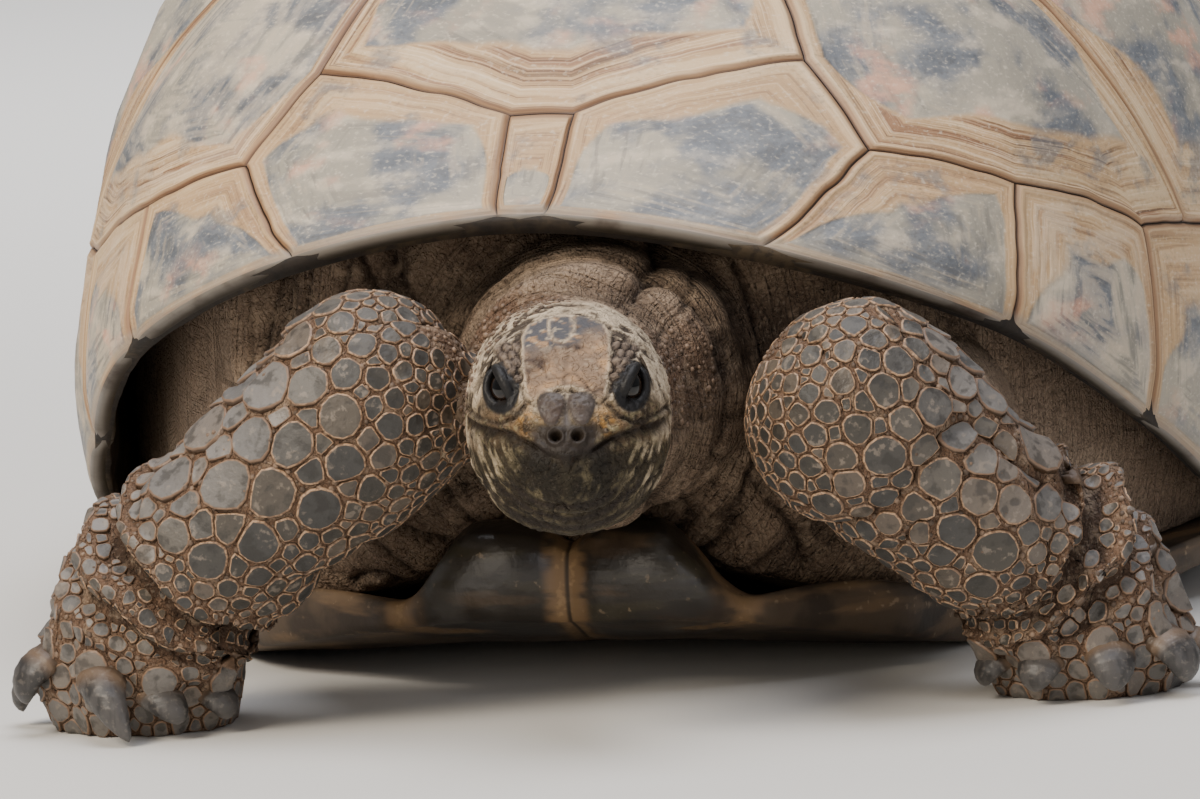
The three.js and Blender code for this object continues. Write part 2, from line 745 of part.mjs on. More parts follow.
/** Foreleg line from the domed elbow down to the sole; side is 1 on the left and -1 on the right. */
function makeForeleg({ dome, elbow, middlePoint, wrist, ankle, sole, facing }) {
  return new Limb({
    line: [dome, elbow, middlePoint, wrist, ankle, sole],
    across: [14, 55, 61, 59, 56, 55, 57, 59, 57, 55, 50],
    onward: [14, 53, 59, 57, 54, 53, 54, 55, 53, 51, 46],
    facing,
    soleFrom: 0.72,
    toes: FORE_TOES,
    toeSize: 9,
  });
}

const FORELEGS = {
  right: makeForeleg({
    dome: V(-27, -576, 214),
    elbow: V(-70, -568, 178),
    middlePoint: V(-130, -574, 127),
    wrist: V(-186, -562, 78),
    ankle: V(-207, -548, 38),
    sole: V(-210, -542, 0),
    facing: V(-0.3, -1, 0.1),
  }),
  left: makeForeleg({
    dome: V(147, -556, 202),
    elbow: V(186, -546, 166),
    middlePoint: V(236, -522, 118),
    wrist: V(281, -486, 72),
    ankle: V(294, -466, 34),
    sole: V(296, -460, 0),
    facing: V(0.35, -1, 0.1),
  }),
};

const UPPER_ARMS = {
  right: new Limb({
    line: [V(-156, -330, 142), V(-120, -440, 150), V(-84, -556, 174)],
    across: [50, 54, 50],
    onward: [56, 54, 48],
    facing: V(0, 0, 1),
  }),
  left: new Limb({
    line: [V(196, -330, 128), V(192, -430, 136), V(190, -536, 160)],
    across: [50, 52, 50],
    onward: [54, 52, 48],
    facing: V(0, 0, 1),
  }),
};

// Claws: turn from straight ahead, length, half width, height of the root, sideways slant and tip.
const FORE_CLAWS = {
  right: [
    { turn: -68, long: 30, wide: 10, rise: 28 },
    { turn: -36, long: 36, wide: 12, rise: 42, tip: 14 },
    { turn: 3, long: 48, wide: 13.5, rise: 34, slant: 11 },
    { turn: 36, long: 38, wide: 12.5, rise: 30 },
    { turn: 70, long: 28, wide: 10, rise: 26 },
  ],
  left: [
    { turn: -68, long: 28, wide: 10, rise: 26 },
    { turn: -36, long: 34, wide: 12, rise: 30 },
    { turn: 0, long: 38, wide: 13, rise: 32 },
    { turn: 36, long: 38, wide: 12.5, rise: 32 },
    { turn: 70, long: 30, wide: 11, rise: 28 },
  ],
};
const HIND_CLAWS = [
  { turn: -48, long: 28, wide: 11, rise: 24 },
  { turn: -16, long: 34, wide: 12, rise: 26 },
  { turn: 16, long: 34, wide: 12, rise: 26 },
  { turn: 48, long: 28, wide: 11, rise: 24 },
];
const FORE_REACH = 60; // from the middle of the sole to where a claw leaves the foot
const HIND_REACH = 60;
const CLAW_ROOT = 13; // how far a claw's root lies inside the foot
const CLAW_WIDTHS = [1, 0.82, 0.1]; // shares of the width at the root, the bend and the tip

/** Curved claw that leaves the foot under a toe and bends to the ground. */
function makeClaw(sole, heading, reach, { turn, long, wide, rise, slant = 0, tip = 3 }) {
  const direction = heading.clone().applyAxisAngle(UP, radians(turn));
  const sideways = direction.clone().cross(UP);
  const at = (out, z, aside) => sole.clone().addScaledVector(direction, reach + out)
    .addScaledVector(sideways, -aside).setZ(z);
  const curve = new THREE.QuadraticBezierCurve3(
    at(-CLAW_ROOT, rise, 0), at(long * 0.42, rise * 0.92, slant * 0.3), at(long * 0.36, tip, slant),
  );
  const rings = CLAW_WIDTHS.map((share, i) => {
    const u = i / (CLAW_WIDTHS.length - 1);
    const tangent = curve.getTangent(u);
    const lift = sideways.clone().cross(tangent).normalize();
    const ring = oval(curve.getPoint(u), sideways, lift, wide * share, wide * share * 0.75, 6);
    ring.forEach((point) => point.setZ(Math.max(point.z, 0.8)));
    return ring;
  });
  return loft(rings);
}

const HIND_LEGS = {};
const THIGHS = {};
['left', 'right'].forEach((side) => {
  const sign = side === 'left' ? 1 : -1;
  THIGHS[side] = new Limb({
    line: [V(sign * 118, 300, 88), V(sign * 160, 344, 86), V(sign * 198, 384, 84)],
    across: [50, 52, 50],
    onward: [46, 46, 42],
    facing: V(0, 0, 1),
  });
  HIND_LEGS[side] = new Limb({
    line: [V(sign * 186, 370, 98), V(sign * 204, 392, 82), V(sign * 224, 418, 48), V(sign * 232, 430, 0)],
    across: [20, 46, 53, 55, 57, 60, 56],
    onward: [20, 41, 47, 50, 54, 57, 53],
    facing: V(sign * 0.5, 1, 0),
    soleFrom: 0.45,
    toes: HIND_TOES,
    toeSize: 5,
  });
});
const ANKLE = 0.56; // share of the hind leg's line
const HIND_COUNT = 8; // scales round a hind leg

const TAIL = new Limb({
  line: [V(0, 420, 78), V(4, 470, 74), V(18, 512, 50), V(34, 538, 24)],
  across: [38, 31, 22, 14, 5],
  onward: [30, 25, 19, 12, 5],
  facing: V(0, 0, 1),
});

// ---------------------------------------------------------------- neck and torso

const headGroup = new THREE.Group();
headGroup.position.copy(HEAD_AT);
headGroup.rotation.set(radians(HEAD_PITCH), radians(HEAD_ROLL), radians(HEAD_YAW), 'ZXY');
headGroup.updateMatrixWorld();
tortoise.add(headGroup);
const inBody = (point) => point.applyMatrix4(headGroup.matrixWorld);

// Sections of the head from the neck to the snout: half width, top, bottom, level of the width.
const HEAD_SECTIONS = [
  { y: 62, wide: 49, top: 38, low: -70, level: -16 },
  { y: 42, wide: 53, top: 44, low: -75, level: -14 },
  { y: 20, wide: 54.5, top: 46, low: -77, level: -12 },
  { y: 0, wide: 54, top: 44, low: -74, level: -10 },
  { y: -16, wide: 51.5, top: 41, low: -68.5, level: -8 },
  { y: -30, wide: 47, top: 36.5, low: -62, level: -7 },
  { y: -42, wide: 41, top: 30, low: -55, level: -7 },
  { y: -52, wide: 34.5, top: 23, low: -50, level: -8 },
  { y: -60, wide: 28, top: 16, low: -44, level: -9 },
  { y: -67, wide: 21, top: 9.5, low: -38, level: -10 },
  { y: -72, wide: 14.5, top: 4, low: -32, level: -12 },
  { y: -75.5, wide: 7, top: -2, low: -24, level: -13 },
];
const HEAD_COUNT = 26;

/** Ring of the head's surface, a soft oval that is fuller at the cheeks than at the crown. */
function headRing({ y, wide, top, low, level }, grow = 0) {
  const ring = [];
  for (let i = 0; i < HEAD_COUNT; i += 1) {
    const angle = (i / HEAD_COUNT) * 2 * Math.PI;
    const c = Math.cos(angle);
    const s = Math.sin(angle);
    const squareness = s > 0 ? 2.25 : 2.1;
    const x = Math.sign(c) * Math.abs(c) ** (2 / squareness) * (wide + grow);
    const height = s > 0 ? top - level + grow : level - low + grow;
    const z = level + Math.sign(s) * Math.abs(s) ** (2 / squareness) * height;
    ring.push(V(x, y, z));
  }
  return ring;
}

function makeNeck(grow = 0) {
  const joint = headRing({ ...HEAD_SECTIONS[0], y: HEAD_SECTIONS[0].y + GAP }, grow).map(inBody);
  const rings = [joint];
  const stations = [
    { centre: V(37, -544, 165), across: 60, onward: 65 },
    { centre: V(37, -529, 167), across: 62, onward: 66 },
    { centre: V(36, -511, 170), across: 73, onward: 73 },
    { centre: V(36, -494, 171), across: 72, onward: 73 },
    { centre: V(34, -474, 173), across: 82, onward: 77 },
    { centre: V(32, -455, 174), across: 84, onward: 77 },
    { centre: V(28, -430, 175), across: 98, onward: 80 },
    { centre: V(22, -402, 172), across: 106, onward: 80 },
    { centre: V(12, -350 + grow, 166), across: 84, onward: 70 },
  ];
  stations.forEach(({ centre, across, onward }, i) => {
    const lean = radians(lerp(HEAD_YAW, 0, (i + 1) / stations.length));
    const side = V(Math.cos(lean), Math.sin(lean), 0);
    rings.push(oval(centre, side, UP, across + grow, onward + grow, HEAD_COUNT));
  });
  return loft(rings);
}

// Outline of the flesh between the two shells, in plan on the left side.
const TORSO_PLAN = [
  [0, -440], [84, -440], [152, -430], [212, -366], [250, -272], [284, -162], [345, -80],
  [352, 60], [335, 190], [285, 262], [228, 330], [150, 408], [70, 452], [0, 466],
];

/** Column of flesh, wider than the shell at its sides; its front leans back to the plastron below. */
function torsoColumn() {
  const left = new THREE.SplineCurve(TORSO_PLAN.map(([x, y]) => new THREE.Vector2(x, y)));
  const half = left.getPoints(10);
  const loop = [...half, ...half.slice(1, -1).map(mirrorPlace).reverse()];
  const levels = [
    { z: 10, inset: 16, lean: 34 },
    { z: 95, inset: 3, lean: 0 },
    { z: 520, inset: 0, lean: 0 },
  ];
  return loft(levels.map(({ z, inset, lean }) => loop.map((place) => {
    const share = 1 - inset / 420;
    const front = clamp((-place.y - 200) / 160, 0, 1);
    return V(place.x * share, place.y * share + lean * front, z);
  })));
}

/** Body that fills the carapace, clear of its inner wall. */
function shellFilling() {
  const rows = [innerRing(1, RIM_EDGE + GAP), ...INNER_ROWS.map((v) => innerRing(v, SHELL_WALL + GAP))];
  const foot = rows[0].map((point) => point.clone().setZ(PLASTRON_TOP + GAP));
  const skin = new Skin();
  [foot, ...rows].forEach((row, i, all) => {
    if (i + 1 < all.length) skin.band(all[i + 1], row);
  });
  skin.fan([...rows.at(-1)].reverse(), shellAt(new THREE.Vector2(), -SHELL_WALL - GAP));
  skin.fan(foot, middle(foot));
  return skin.geometry();
}

function makeTorso(neck) {
  const body = solidOf(shellFilling()).intersect(solidOf(torsoColumn()));
  const sides = ['left', 'right'];
  const cutters = [
    makePlastron(GAP + 0.05),
    TAIL.smooth(0, 1, 12, 5, GAP + 0.1),
    ...sides.map((side) => UPPER_ARMS[side].smooth(0, 1, 16, 4, GAP + 0.1)),
    ...sides.map((side) => THIGHS[side].smooth(0, 1, 12, 3, GAP + 0.1)),
    ...sides.map((side) => HIND_LEGS[side].smooth(0, 1, 16, 6, SCALE_RISE * 1.7 + GAP + 0.8)),
  ];
  return geometryOf(cutBy(body, [...cutters, neck]));
}

// ---------------------------------------------------------------- head

const SECTION_TRACKS = Object.fromEntries(['y', 'wide', 'top', 'low', 'level'].map((key) => (
  [key, track(HEAD_SECTIONS.map((section) => section[key]))])));

/** Share of the way along the head's sections for a level y. */
function headShare(y) {
  const i = clamp(HEAD_SECTIONS.findIndex((section) => section.y <= y), 1, HEAD_SECTIONS.length - 1);
  const [a, b] = [HEAD_SECTIONS[i - 1].y, HEAD_SECTIONS[i].y];
  return (i - 1 + (y - a) / (b - a)) / (HEAD_SECTIONS.length - 1);
}

/** Point of the head's surface; angle 0 is the left side and 90 the crown. */
function headPoint(y, angle) {
  const share = headShare(y);
  const section = Object.fromEntries(
    Object.entries(SECTION_TRACKS).map(([key, valueAt]) => [key, valueAt(share)]),
  );
  const c = Math.cos(radians(angle));
  const s = Math.sin(radians(angle));
  const power = 2 / (s > 0 ? 2.25 : 2.1);
  const height = s > 0 ? section.top - section.level : section.level - section.low;
  return V(
    Math.sign(c) * Math.abs(c) ** power * section.wide,
    section.y,
    section.level + Math.sign(s) * Math.abs(s) ** power * height,
  );
}

function headNormal(y, angle) {
  const around = headPoint(y, angle + 3).sub(headPoint(y, angle - 3));
  const along = headPoint(y - 1.5, angle).sub(headPoint(y + 1.5, angle));
  return around.cross(along).normalize();
}

/** Shield raised on the head: half sizes are along the head and round it, in mm. */
function headShield({ y, angle, along, round, rise = 2, sides = 6 }) {
  const girth = headPoint(y, angle).distanceTo(headPoint(y, angle + 4)) / 4;
  const ring = (share, lift) => {
    const points = [];
    for (let i = 0; i < sides; i += 1) {
      const turn = ((i + 0.5) / sides) * 2 * Math.PI;
      const atY = y + along * share * Math.cos(turn);
      const atAngle = angle + ((round * share) / girth) * Math.sin(turn);
      points.push(headPoint(atY, atAngle).addScaledVector(headNormal(atY, atAngle), lift));
    }
    return points;
  };
  return loft([ring(0.98, -3), ring(0.9, rise)]);
}

/** Shields of the nose, crown and temples. */
function headShields() {
  const shields = [];
  const paired = [
    { y: -57, angle: 75, along: 7.4, round: 7.4, rise: 2.4 },
    { y: -38.5, angle: 75.5, along: 11.5, round: 10.4, rise: 1.5 },
    { y: -13, angle: 77, along: 13.5, round: 11, rise: 1.5 },
    { y: 13, angle: 77, along: 12, round: 11, rise: 1.5 },
    { y: 8, angle: 50, along: 8, round: 8, rise: 1.4 },
    { y: 27, angle: 56, along: 9, round: 10, rise: 1.4 },
    { y: 20, angle: 26, along: 8, round: 9, rise: 1.4 },
    { y: -1, angle: 14, along: 7, round: 7, rise: 1.4 },
  ];
  paired.forEach((shield) => {
    shields.push(shield);
    shields.push({ ...shield, angle: 180 - shield.angle });
  });
  return shields.map(headShield);
}

const eyeAt = (side) => V(side * EYE_AT.out, -EYE_AT.forward, EYE_AT.up);
const eyeFacing = (side) => (
  V(side * EYE_FACING.out, -EYE_FACING.forward, EYE_FACING.up).normalize()
);

function ball(centre, radius) {
  const geometry = new THREE.SphereGeometry(radius, 13, 8);
  geometry.translate(centre.x, centre.y, centre.z);
  return geometry;
}

/** Directions about an eye: its gaze, and the long and short ways across its opening. */
function eyeFrame(side) {
  const gaze = eyeFacing(side);
  const level = UP.clone().cross(gaze).normalize();
  const lift = gaze.clone().cross(level);
  const tilt = radians(side * EYE_OPENING.tilt);
  const long = level.clone().multiplyScalar(Math.cos(tilt)).addScaledVector(lift, Math.sin(tilt));
  const short = lift.multiplyScalar(Math.cos(tilt)).addScaledVector(level, -Math.sin(tilt));
  return { gaze, long, short };
}

/** Almond opening between the lids, as a prism that leaves the eye along its gaze. */
function lidOpening(side) {
  const shape = new THREE.Shape();
  const half = EYE_OPENING.long / 2;
  shape.moveTo(-half, 0);
  shape.quadraticCurveTo(0, EYE_OPENING.above, half, 0);
  shape.quadraticCurveTo(0, -EYE_OPENING.below, -half, 0);
  const geometry = new THREE.ExtrudeGeometry(shape, {
    depth: 24, bevelEnabled: false, curveSegments: 7,
  });
  const { gaze, long, short } = eyeFrame(side);
  return geometry.applyMatrix4(new THREE.Matrix4().makeBasis(long, short, gaze).setPosition(eyeAt(side)));
}

/** Small scales in two rows over the upper lid. */
function browScales(side) {
  const { gaze, long, short } = eyeFrame(side);
  const centre = eyeAt(side);
  const onLid = (row, turn, out) => {
    const [tilt, spin] = [radians(row), radians(turn)];
    const direction = gaze.clone().multiplyScalar(Math.cos(tilt))
      .addScaledVector(short, Math.sin(tilt) * Math.cos(spin))
      .addScaledVector(long, Math.sin(tilt) * Math.sin(spin));
    return centre.clone().addScaledVector(direction, EYE_RADIUS + LID_THICKNESS + out);
  };
  return BROW_ROWS.flatMap((row) => BROW_TURNS.map((turn) => {
    const [root, top] = [onLid(row, turn, -2), onLid(row, turn, BROW_SCALE.rise)];
    const up = top.clone().sub(root).normalize();
    const across = up.clone().cross(long).normalize();
    const onward = up.clone().cross(across);
    const { radius } = BROW_SCALE;
    return loft([
      oval(root, across, onward, radius, radius, 5), oval(top, across, onward, radius * 0.7, radius * 0.7, 5),
    ]);
  }));
}

function nostril(side) {
  const geometry = new THREE.CylinderGeometry(NOSTRIL.radius, NOSTRIL.radius * 0.5, 9, 9);
  geometry.rotateX(radians(NOSTRIL.tilt));
  return geometry.translate(side * NOSTRIL.out, -NOSTRIL.forward, NOSTRIL.up);
}

function eardrum(side) {
  const geometry = new THREE.CylinderGeometry(8.5, 7, 4, 14);
  geometry.rotateZ(Math.PI / 2 * side * -1);
  return geometry.translate(side * 54, 30, -14);
}

// Line of the mouth in the side view, from in front of the beak to the corner.
const MOUTH_LINE = [[-96, -8], [-78, -7.5], [-73, -3.5], [-66, 1.5], [-58, 3.2], [-44, 1.2], [-26, -2]];
const JAW_BACK = [[-15, -20], [4, -56], [8, -100]];

/** Prism across the head from a closed outline of its side view. */
function acrossHead(outline) {
  const shape = new THREE.Shape(outline.map(([y, z]) => new THREE.Vector2(y, z)));
  const geometry = new THREE.ExtrudeGeometry(shape, { depth: 160, bevelEnabled: false });
  const frame = new THREE.Matrix4().makeBasis(V(0, 1, 0), V(0, 0, 1), V(1, 0, 0));
  return geometry.applyMatrix4(frame.setPosition(-80, 0, 0));
}

function jawRegion(grow) {
  const line = [...MOUTH_LINE.map(([y, z]) => [y, z + grow]), ...JAW_BACK.map(([y, z]) => [y + grow, z])];
  return acrossHead([...line, [-96, -100]]);
}

/** Groove between the lips, as deep as the skin of the mouth line is thick. */
function lipGroove(core) {
  const above = MOUTH_LINE.map(([y, z]) => [y, z + 1.7]);
  const below = MOUTH_LINE.map(([y, z]) => [y, z - 1.4]).reverse();
  const corner = [MOUTH_LINE.at(-1)[0] + 3, MOUTH_LINE.at(-1)[1]];
  return solidOf(acrossHead([...above, corner, ...below])).subtract(core);
}

function makeHeadParts() {
  const sides = [1, -1];
  const rings = (grow) => HEAD_SECTIONS.map((section) => headRing(section, grow));
  const lids = sides.map((side) => ball(eyeAt(side), EYE_RADIUS + LID_THICKNESS));
  const raised = [...lids, ...headShields(), ...sides.flatMap(browScales)];
  const whole = joined(solidOf(loft(rings(0))), raised);
  const opened = cutBy(whole, [
    ...sides.map((side) => ball(eyeAt(side), EYE_RADIUS + GAP)),
    ...sides.map(lidOpening),
    ...sides.map(nostril),
    ...sides.map(eardrum),
  ]).subtract(lipGroove(solidOf(loft(rings(-3.2)))));
  return {
    head: geometryOf(opened.subtract(solidOf(jawRegion(GAP)))),
    jaw: geometryOf(opened.intersect(solidOf(jawRegion(0)))),
  };
}

// ---------------------------------------------------------------- assembly

addPart('carapace', makeCarapace(), HORN);
addPart('plastron', makePlastron(), PLASTRON_HORN);

const { head, jaw } = makeHeadParts();
addPart('head', head, HEAD_HIDE, headGroup);
addPart('lower_jaw', jaw, JAW_HIDE, headGroup);
addPart('eye_left', ball(eyeAt(1), EYE_RADIUS), EYE, headGroup);
addPart('eye_right', ball(eyeAt(-1), EYE_RADIUS), EYE, headGroup);

/** The two lengths of a limb on either side of a thin cut across it. */
function partedAt(limb, u, geometry) {
  const { centre, across, onward } = limb.at(u);
  const normal = across.cross(onward).normalize();
  const offset = centre.dot(normal);
  const direction = normal.toArray();
  const whole = solidOf(geometry);
  const ahead = whole.trimByPlane(direction, offset + GAP / 2);
  const behind = whole.trimByPlane(normal.negate().toArray(), -offset + GAP / 2);
  return [behind, ahead].map(geometryOf);
}

const SIDES = ['left', 'right'];
const SCALE_CLEAR = SCALE_RISE * 1.7 + GAP + 2.2;
const forearmCutters = SIDES.map((side) => FORELEGS[side].smooth(0, WRIST, 20, 13, SCALE_CLEAR));
const upperArmCutters = SIDES.map((side) => UPPER_ARMS[side].smooth(0, 1, 16, 4, GAP + 0.1));
const neckSolid = cutBy(solidOf(makeNeck()), [...forearmCutters, ...upperArmCutters]);
addPart('neck', geometryOf(neckSolid), HIDE);
addPart('torso', makeTorso(makeNeck(GAP + 0.1)), HIDE);

SIDES.forEach((side, index) => {
  const foreleg = FORELEGS[side];
  const upperArm = solidOf(UPPER_ARMS[side].smooth(0, 1, 16, 4));
  addPart(`upper_arm_${side}`, geometryOf(cutBy(upperArm, [forearmCutters[index]])), HIDE);
  addPart(`forearm_${side}`, foreleg.scaled(0, WRIST, FORE_COUNT, 7, 11 + index), SCALES);
  addPart(`forefoot_${side}`, foreleg.scaled(WRIST + 0.0012, 1, FORE_COUNT, 3, 21 + index, true), SCALES);
  const { centre } = foreleg.at(1);
  const heading = foreleg.facing.clone().setZ(0).normalize();
  FORE_CLAWS[side].forEach((claw, i) => {
    const horn = solidOf(makeClaw(centre, heading, FORE_REACH, claw));
    const trimmed = cutBy(horn, [foreleg.smooth(WRIST, 1, 2 * FORE_COUNT, 9, SCALE_CLEAR)]);
    addPart(`fore_claw_${side}_${i + 1}`, geometryOf(trimmed), CLAW);
  });

  const hindLeg = HIND_LEGS[side];
  const thigh = solidOf(THIGHS[side].smooth(0, 1, 12, 3));
  const shankCutter = hindLeg.smooth(0, 1, 18, 8, SCALE_CLEAR + 0.8);
  addPart(`thigh_${side}`, geometryOf(cutBy(thigh, [shankCutter])), HIDE);
  const [shank, hindFoot] = partedAt(hindLeg, ANKLE, hindLeg.scaled(0, 1, HIND_COUNT, 4, 31 + index, true));
  addPart(`shank_${side}`, shank, SCALES);
  addPart(`hind_foot_${side}`, hindFoot, SCALES);
  const sole = hindLeg.at(1).centre;
  const hindHeading = hindLeg.facing.clone().setZ(0).normalize();
  HIND_CLAWS.forEach((claw, i) => {
    const horn = solidOf(makeClaw(sole, hindHeading, HIND_REACH, claw));
    const trimmed = cutBy(horn, [hindLeg.smooth(ANKLE, 1, 2 * HIND_COUNT, 8, SCALE_CLEAR)]);
    addPart(`hind_claw_${side}_${i + 1}`, geometryOf(trimmed), CLAW);
  });
});
addPart('tail', TAIL.smooth(0, 1, 12, 5), HIDE);

export default tortoise;
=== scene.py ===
"""A life-size still model of a large male Aldabra giant tortoise, dressed for rendering.

Every length is in millimetres, as in the part, and meshes are made in metres.
The animal faces -Y, its left side is +X, and the ground is z = 0.
"""

import logging
import math
from dataclasses import dataclass
from enum import Enum
from typing import Any, Callable, Optional, Sequence

import bpy
import numpy as np
from mathutils import Matrix, Vector
from mathutils.bvhtree import BVHTree

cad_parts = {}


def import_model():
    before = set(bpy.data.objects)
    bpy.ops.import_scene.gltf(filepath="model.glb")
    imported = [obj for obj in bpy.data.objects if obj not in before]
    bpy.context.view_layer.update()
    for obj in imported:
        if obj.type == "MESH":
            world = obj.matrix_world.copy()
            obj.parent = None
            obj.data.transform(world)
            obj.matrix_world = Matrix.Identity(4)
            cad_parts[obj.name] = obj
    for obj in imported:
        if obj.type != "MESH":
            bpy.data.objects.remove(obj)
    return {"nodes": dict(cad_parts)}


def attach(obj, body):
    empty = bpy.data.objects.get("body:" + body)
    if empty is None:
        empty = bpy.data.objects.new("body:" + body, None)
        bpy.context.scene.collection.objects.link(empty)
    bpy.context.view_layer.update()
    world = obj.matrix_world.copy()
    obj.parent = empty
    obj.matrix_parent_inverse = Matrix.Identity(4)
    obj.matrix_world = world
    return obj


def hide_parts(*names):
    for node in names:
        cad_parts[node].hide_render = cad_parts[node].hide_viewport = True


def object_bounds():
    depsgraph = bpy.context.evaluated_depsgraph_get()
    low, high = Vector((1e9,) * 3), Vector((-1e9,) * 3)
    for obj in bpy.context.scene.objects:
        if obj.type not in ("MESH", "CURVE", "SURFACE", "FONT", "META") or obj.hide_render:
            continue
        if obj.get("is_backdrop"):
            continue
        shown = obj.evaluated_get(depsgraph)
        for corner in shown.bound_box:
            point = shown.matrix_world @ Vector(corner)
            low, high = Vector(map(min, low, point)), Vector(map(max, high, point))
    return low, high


Array = np.ndarray
Piece = bpy.types.Object
Mesh = bpy.types.Mesh
Material = bpy.types.Material
Tree = bpy.types.NodeTree
LOG = logging.getLogger("tortoise")


class Side(Enum):
    """The animal's left or right, with the sign of x there."""

    LEFT = 1
    RIGHT = -1

    @property
    def label(self) -> str:
        """Name used in the names of pieces."""
        return self.name.lower()


# ---- numbers and noise


def smooth(low: float, high: float, value: Array) -> Array:
    """Value eased from 0 at low to 1 at high."""
    t = np.clip((value - low) / (high - low), 0.0, 1.0)
    return t * t * (3.0 - 2.0 * t)


def unit(vectors: Array) -> Array:
    """Vectors scaled to length one."""
    return vectors / np.maximum(np.linalg.norm(vectors, axis=-1, keepdims=True), 1e-9)


def bump(value: Array, middle: float, width: float) -> Array:
    """Bell that is 1 at the middle and falls away over the width."""
    return np.exp(-(((value - middle) / width) ** 2))


def turns(count: int) -> Array:
    """Evenly spaced angles of one full turn, in radians."""
    return np.linspace(0, 2 * math.pi, count, endpoint=False)


def path(a: Array, b: Array, m0: Array, m1: Array, t: Array) -> Array:
    """Smooth way from a to b that leaves along m0 and arrives along m1."""
    return a + m0 * t + (3 * (b - a) - 2 * m0 - m1) * t**2 + (m0 + m1 - 2 * (b - a)) * t**3


def line_distance(x: Array, y: Array, line: Sequence[tuple[float, float]]) -> Array:
    """Distance in a plane to a line of corners on the left side, mirrored to the right.

    Args:
        x: distance from the middle, positive to the left.
        y: distance along the other axis.
        line: corners with x above 0.

    Returns:
        Distances, in the shape of x.
    """
    p = np.stack([np.abs(x), y], -1)
    nearest = np.full(x.shape, 1e9)
    for start, end in zip(line, line[1:]):
        a, d = np.array(start, float), np.array(end, float) - np.array(start, float)
        t = np.clip(((p - a) @ d) / (d @ d), 0, 1)
        nearest = np.minimum(nearest, np.linalg.norm(p - a - t[..., None] * d, axis=-1))
    return nearest


def cell_random(cells: Array, seed: int) -> Array:
    """Repeatable number from 0 to 1 for each whole-number cell.

    Args:
        cells: whole numbers, shape (..., 3).
        seed: picks another set of numbers.

    Returns:
        Numbers from 0 to 1, shape (...).
    """
    n = cells.astype(np.int64)
    h = (n[..., 0] * 374761393 + n[..., 1] * 668265263 + n[..., 2] * 1440662683 + seed * 974711) & 0xFFFFFFFF
    h = ((h ^ (h >> 13)) * 1274126177) & 0xFFFFFFFF
    h = ((h ^ (h >> 15)) * 2246822519) & 0xFFFFFFFF
    return ((h ^ (h >> 16)) & 0xFFFFFF) / float(0xFFFFFF)


def noise(points: Array, size: float, seed: int = 0, octaves: int = 1) -> Array:
    """Smooth random field.

    Args:
        points: places, shape (n, 3).
        size: width of its largest lumps, in the unit of the points.
        seed: picks another field.
        octaves: number of layers, each half the size and half the height of the last.

    Returns:
        Values from about -1 to 1, shape (n,).
    """
    total = np.zeros(len(points))
    height, reach = 1.0, 0.0
    for octave in range(octaves):
        p = points / (size / 2.0**octave) + 31.7 * octave
        base = np.floor(p)
        f = p - base
        f = f * f * f * (f * (f * 6 - 15) + 10)
        value = np.zeros(len(points))
        for corner in range(8):
            step = np.array([corner & 1, (corner >> 1) & 1, (corner >> 2) & 1])
            share = np.prod(np.where(step == 1, f, 1.0 - f), axis=1)
            value += share * cell_random(base + step, seed + 101 * octave)
        total += height * (2.0 * value - 1.0)
        reach += height
        height *= 0.5
    return total / reach


def crease(points: Array, size: float, seed: int = 0, sharp: float = 0.16, octaves: int = 2) -> Array:
    """Network of narrow creases: 1 in a crease and 0 between them.

    Args:
        points: places, shape (n, 3).
        size: distance between creases.
        seed: picks another network.
        sharp: width of a crease as a share of the field's height.
        octaves: layers of the field.

    Returns:
        Values from 0 to 1, shape (n,).
    """
    return np.exp(-np.abs(noise(points, size, seed, octaves)) / sharp)


def spline(values: Sequence[Any]) -> Callable[[Array], Array]:
    """Smooth curve through evenly spaced stations.

    Args:
        values: station numbers or points.

    Returns:
        A function that takes shares from 0 to 1 and gives the value there.
    """
    stations = np.array(values, float)
    last = len(stations) - 1

    def value_at(share: Array) -> Array:
        """Value of the curve at shares of its length."""
        place = np.clip(np.asarray(share, float), 0, 1) * last
        i = np.minimum(np.floor(place).astype(int), last - 1)
        t = place - i
        before, after = stations[np.maximum(i - 1, 0)], stations[np.minimum(i + 2, last)]
        a, b = stations[i], stations[i + 1]
        if stations.ndim > 1:
            t = t[..., None]
        m0, m1 = (b - before) / 2, (after - a) / 2
        return path(a, b, m0, m1, t)

    return value_at


# ---- meshes


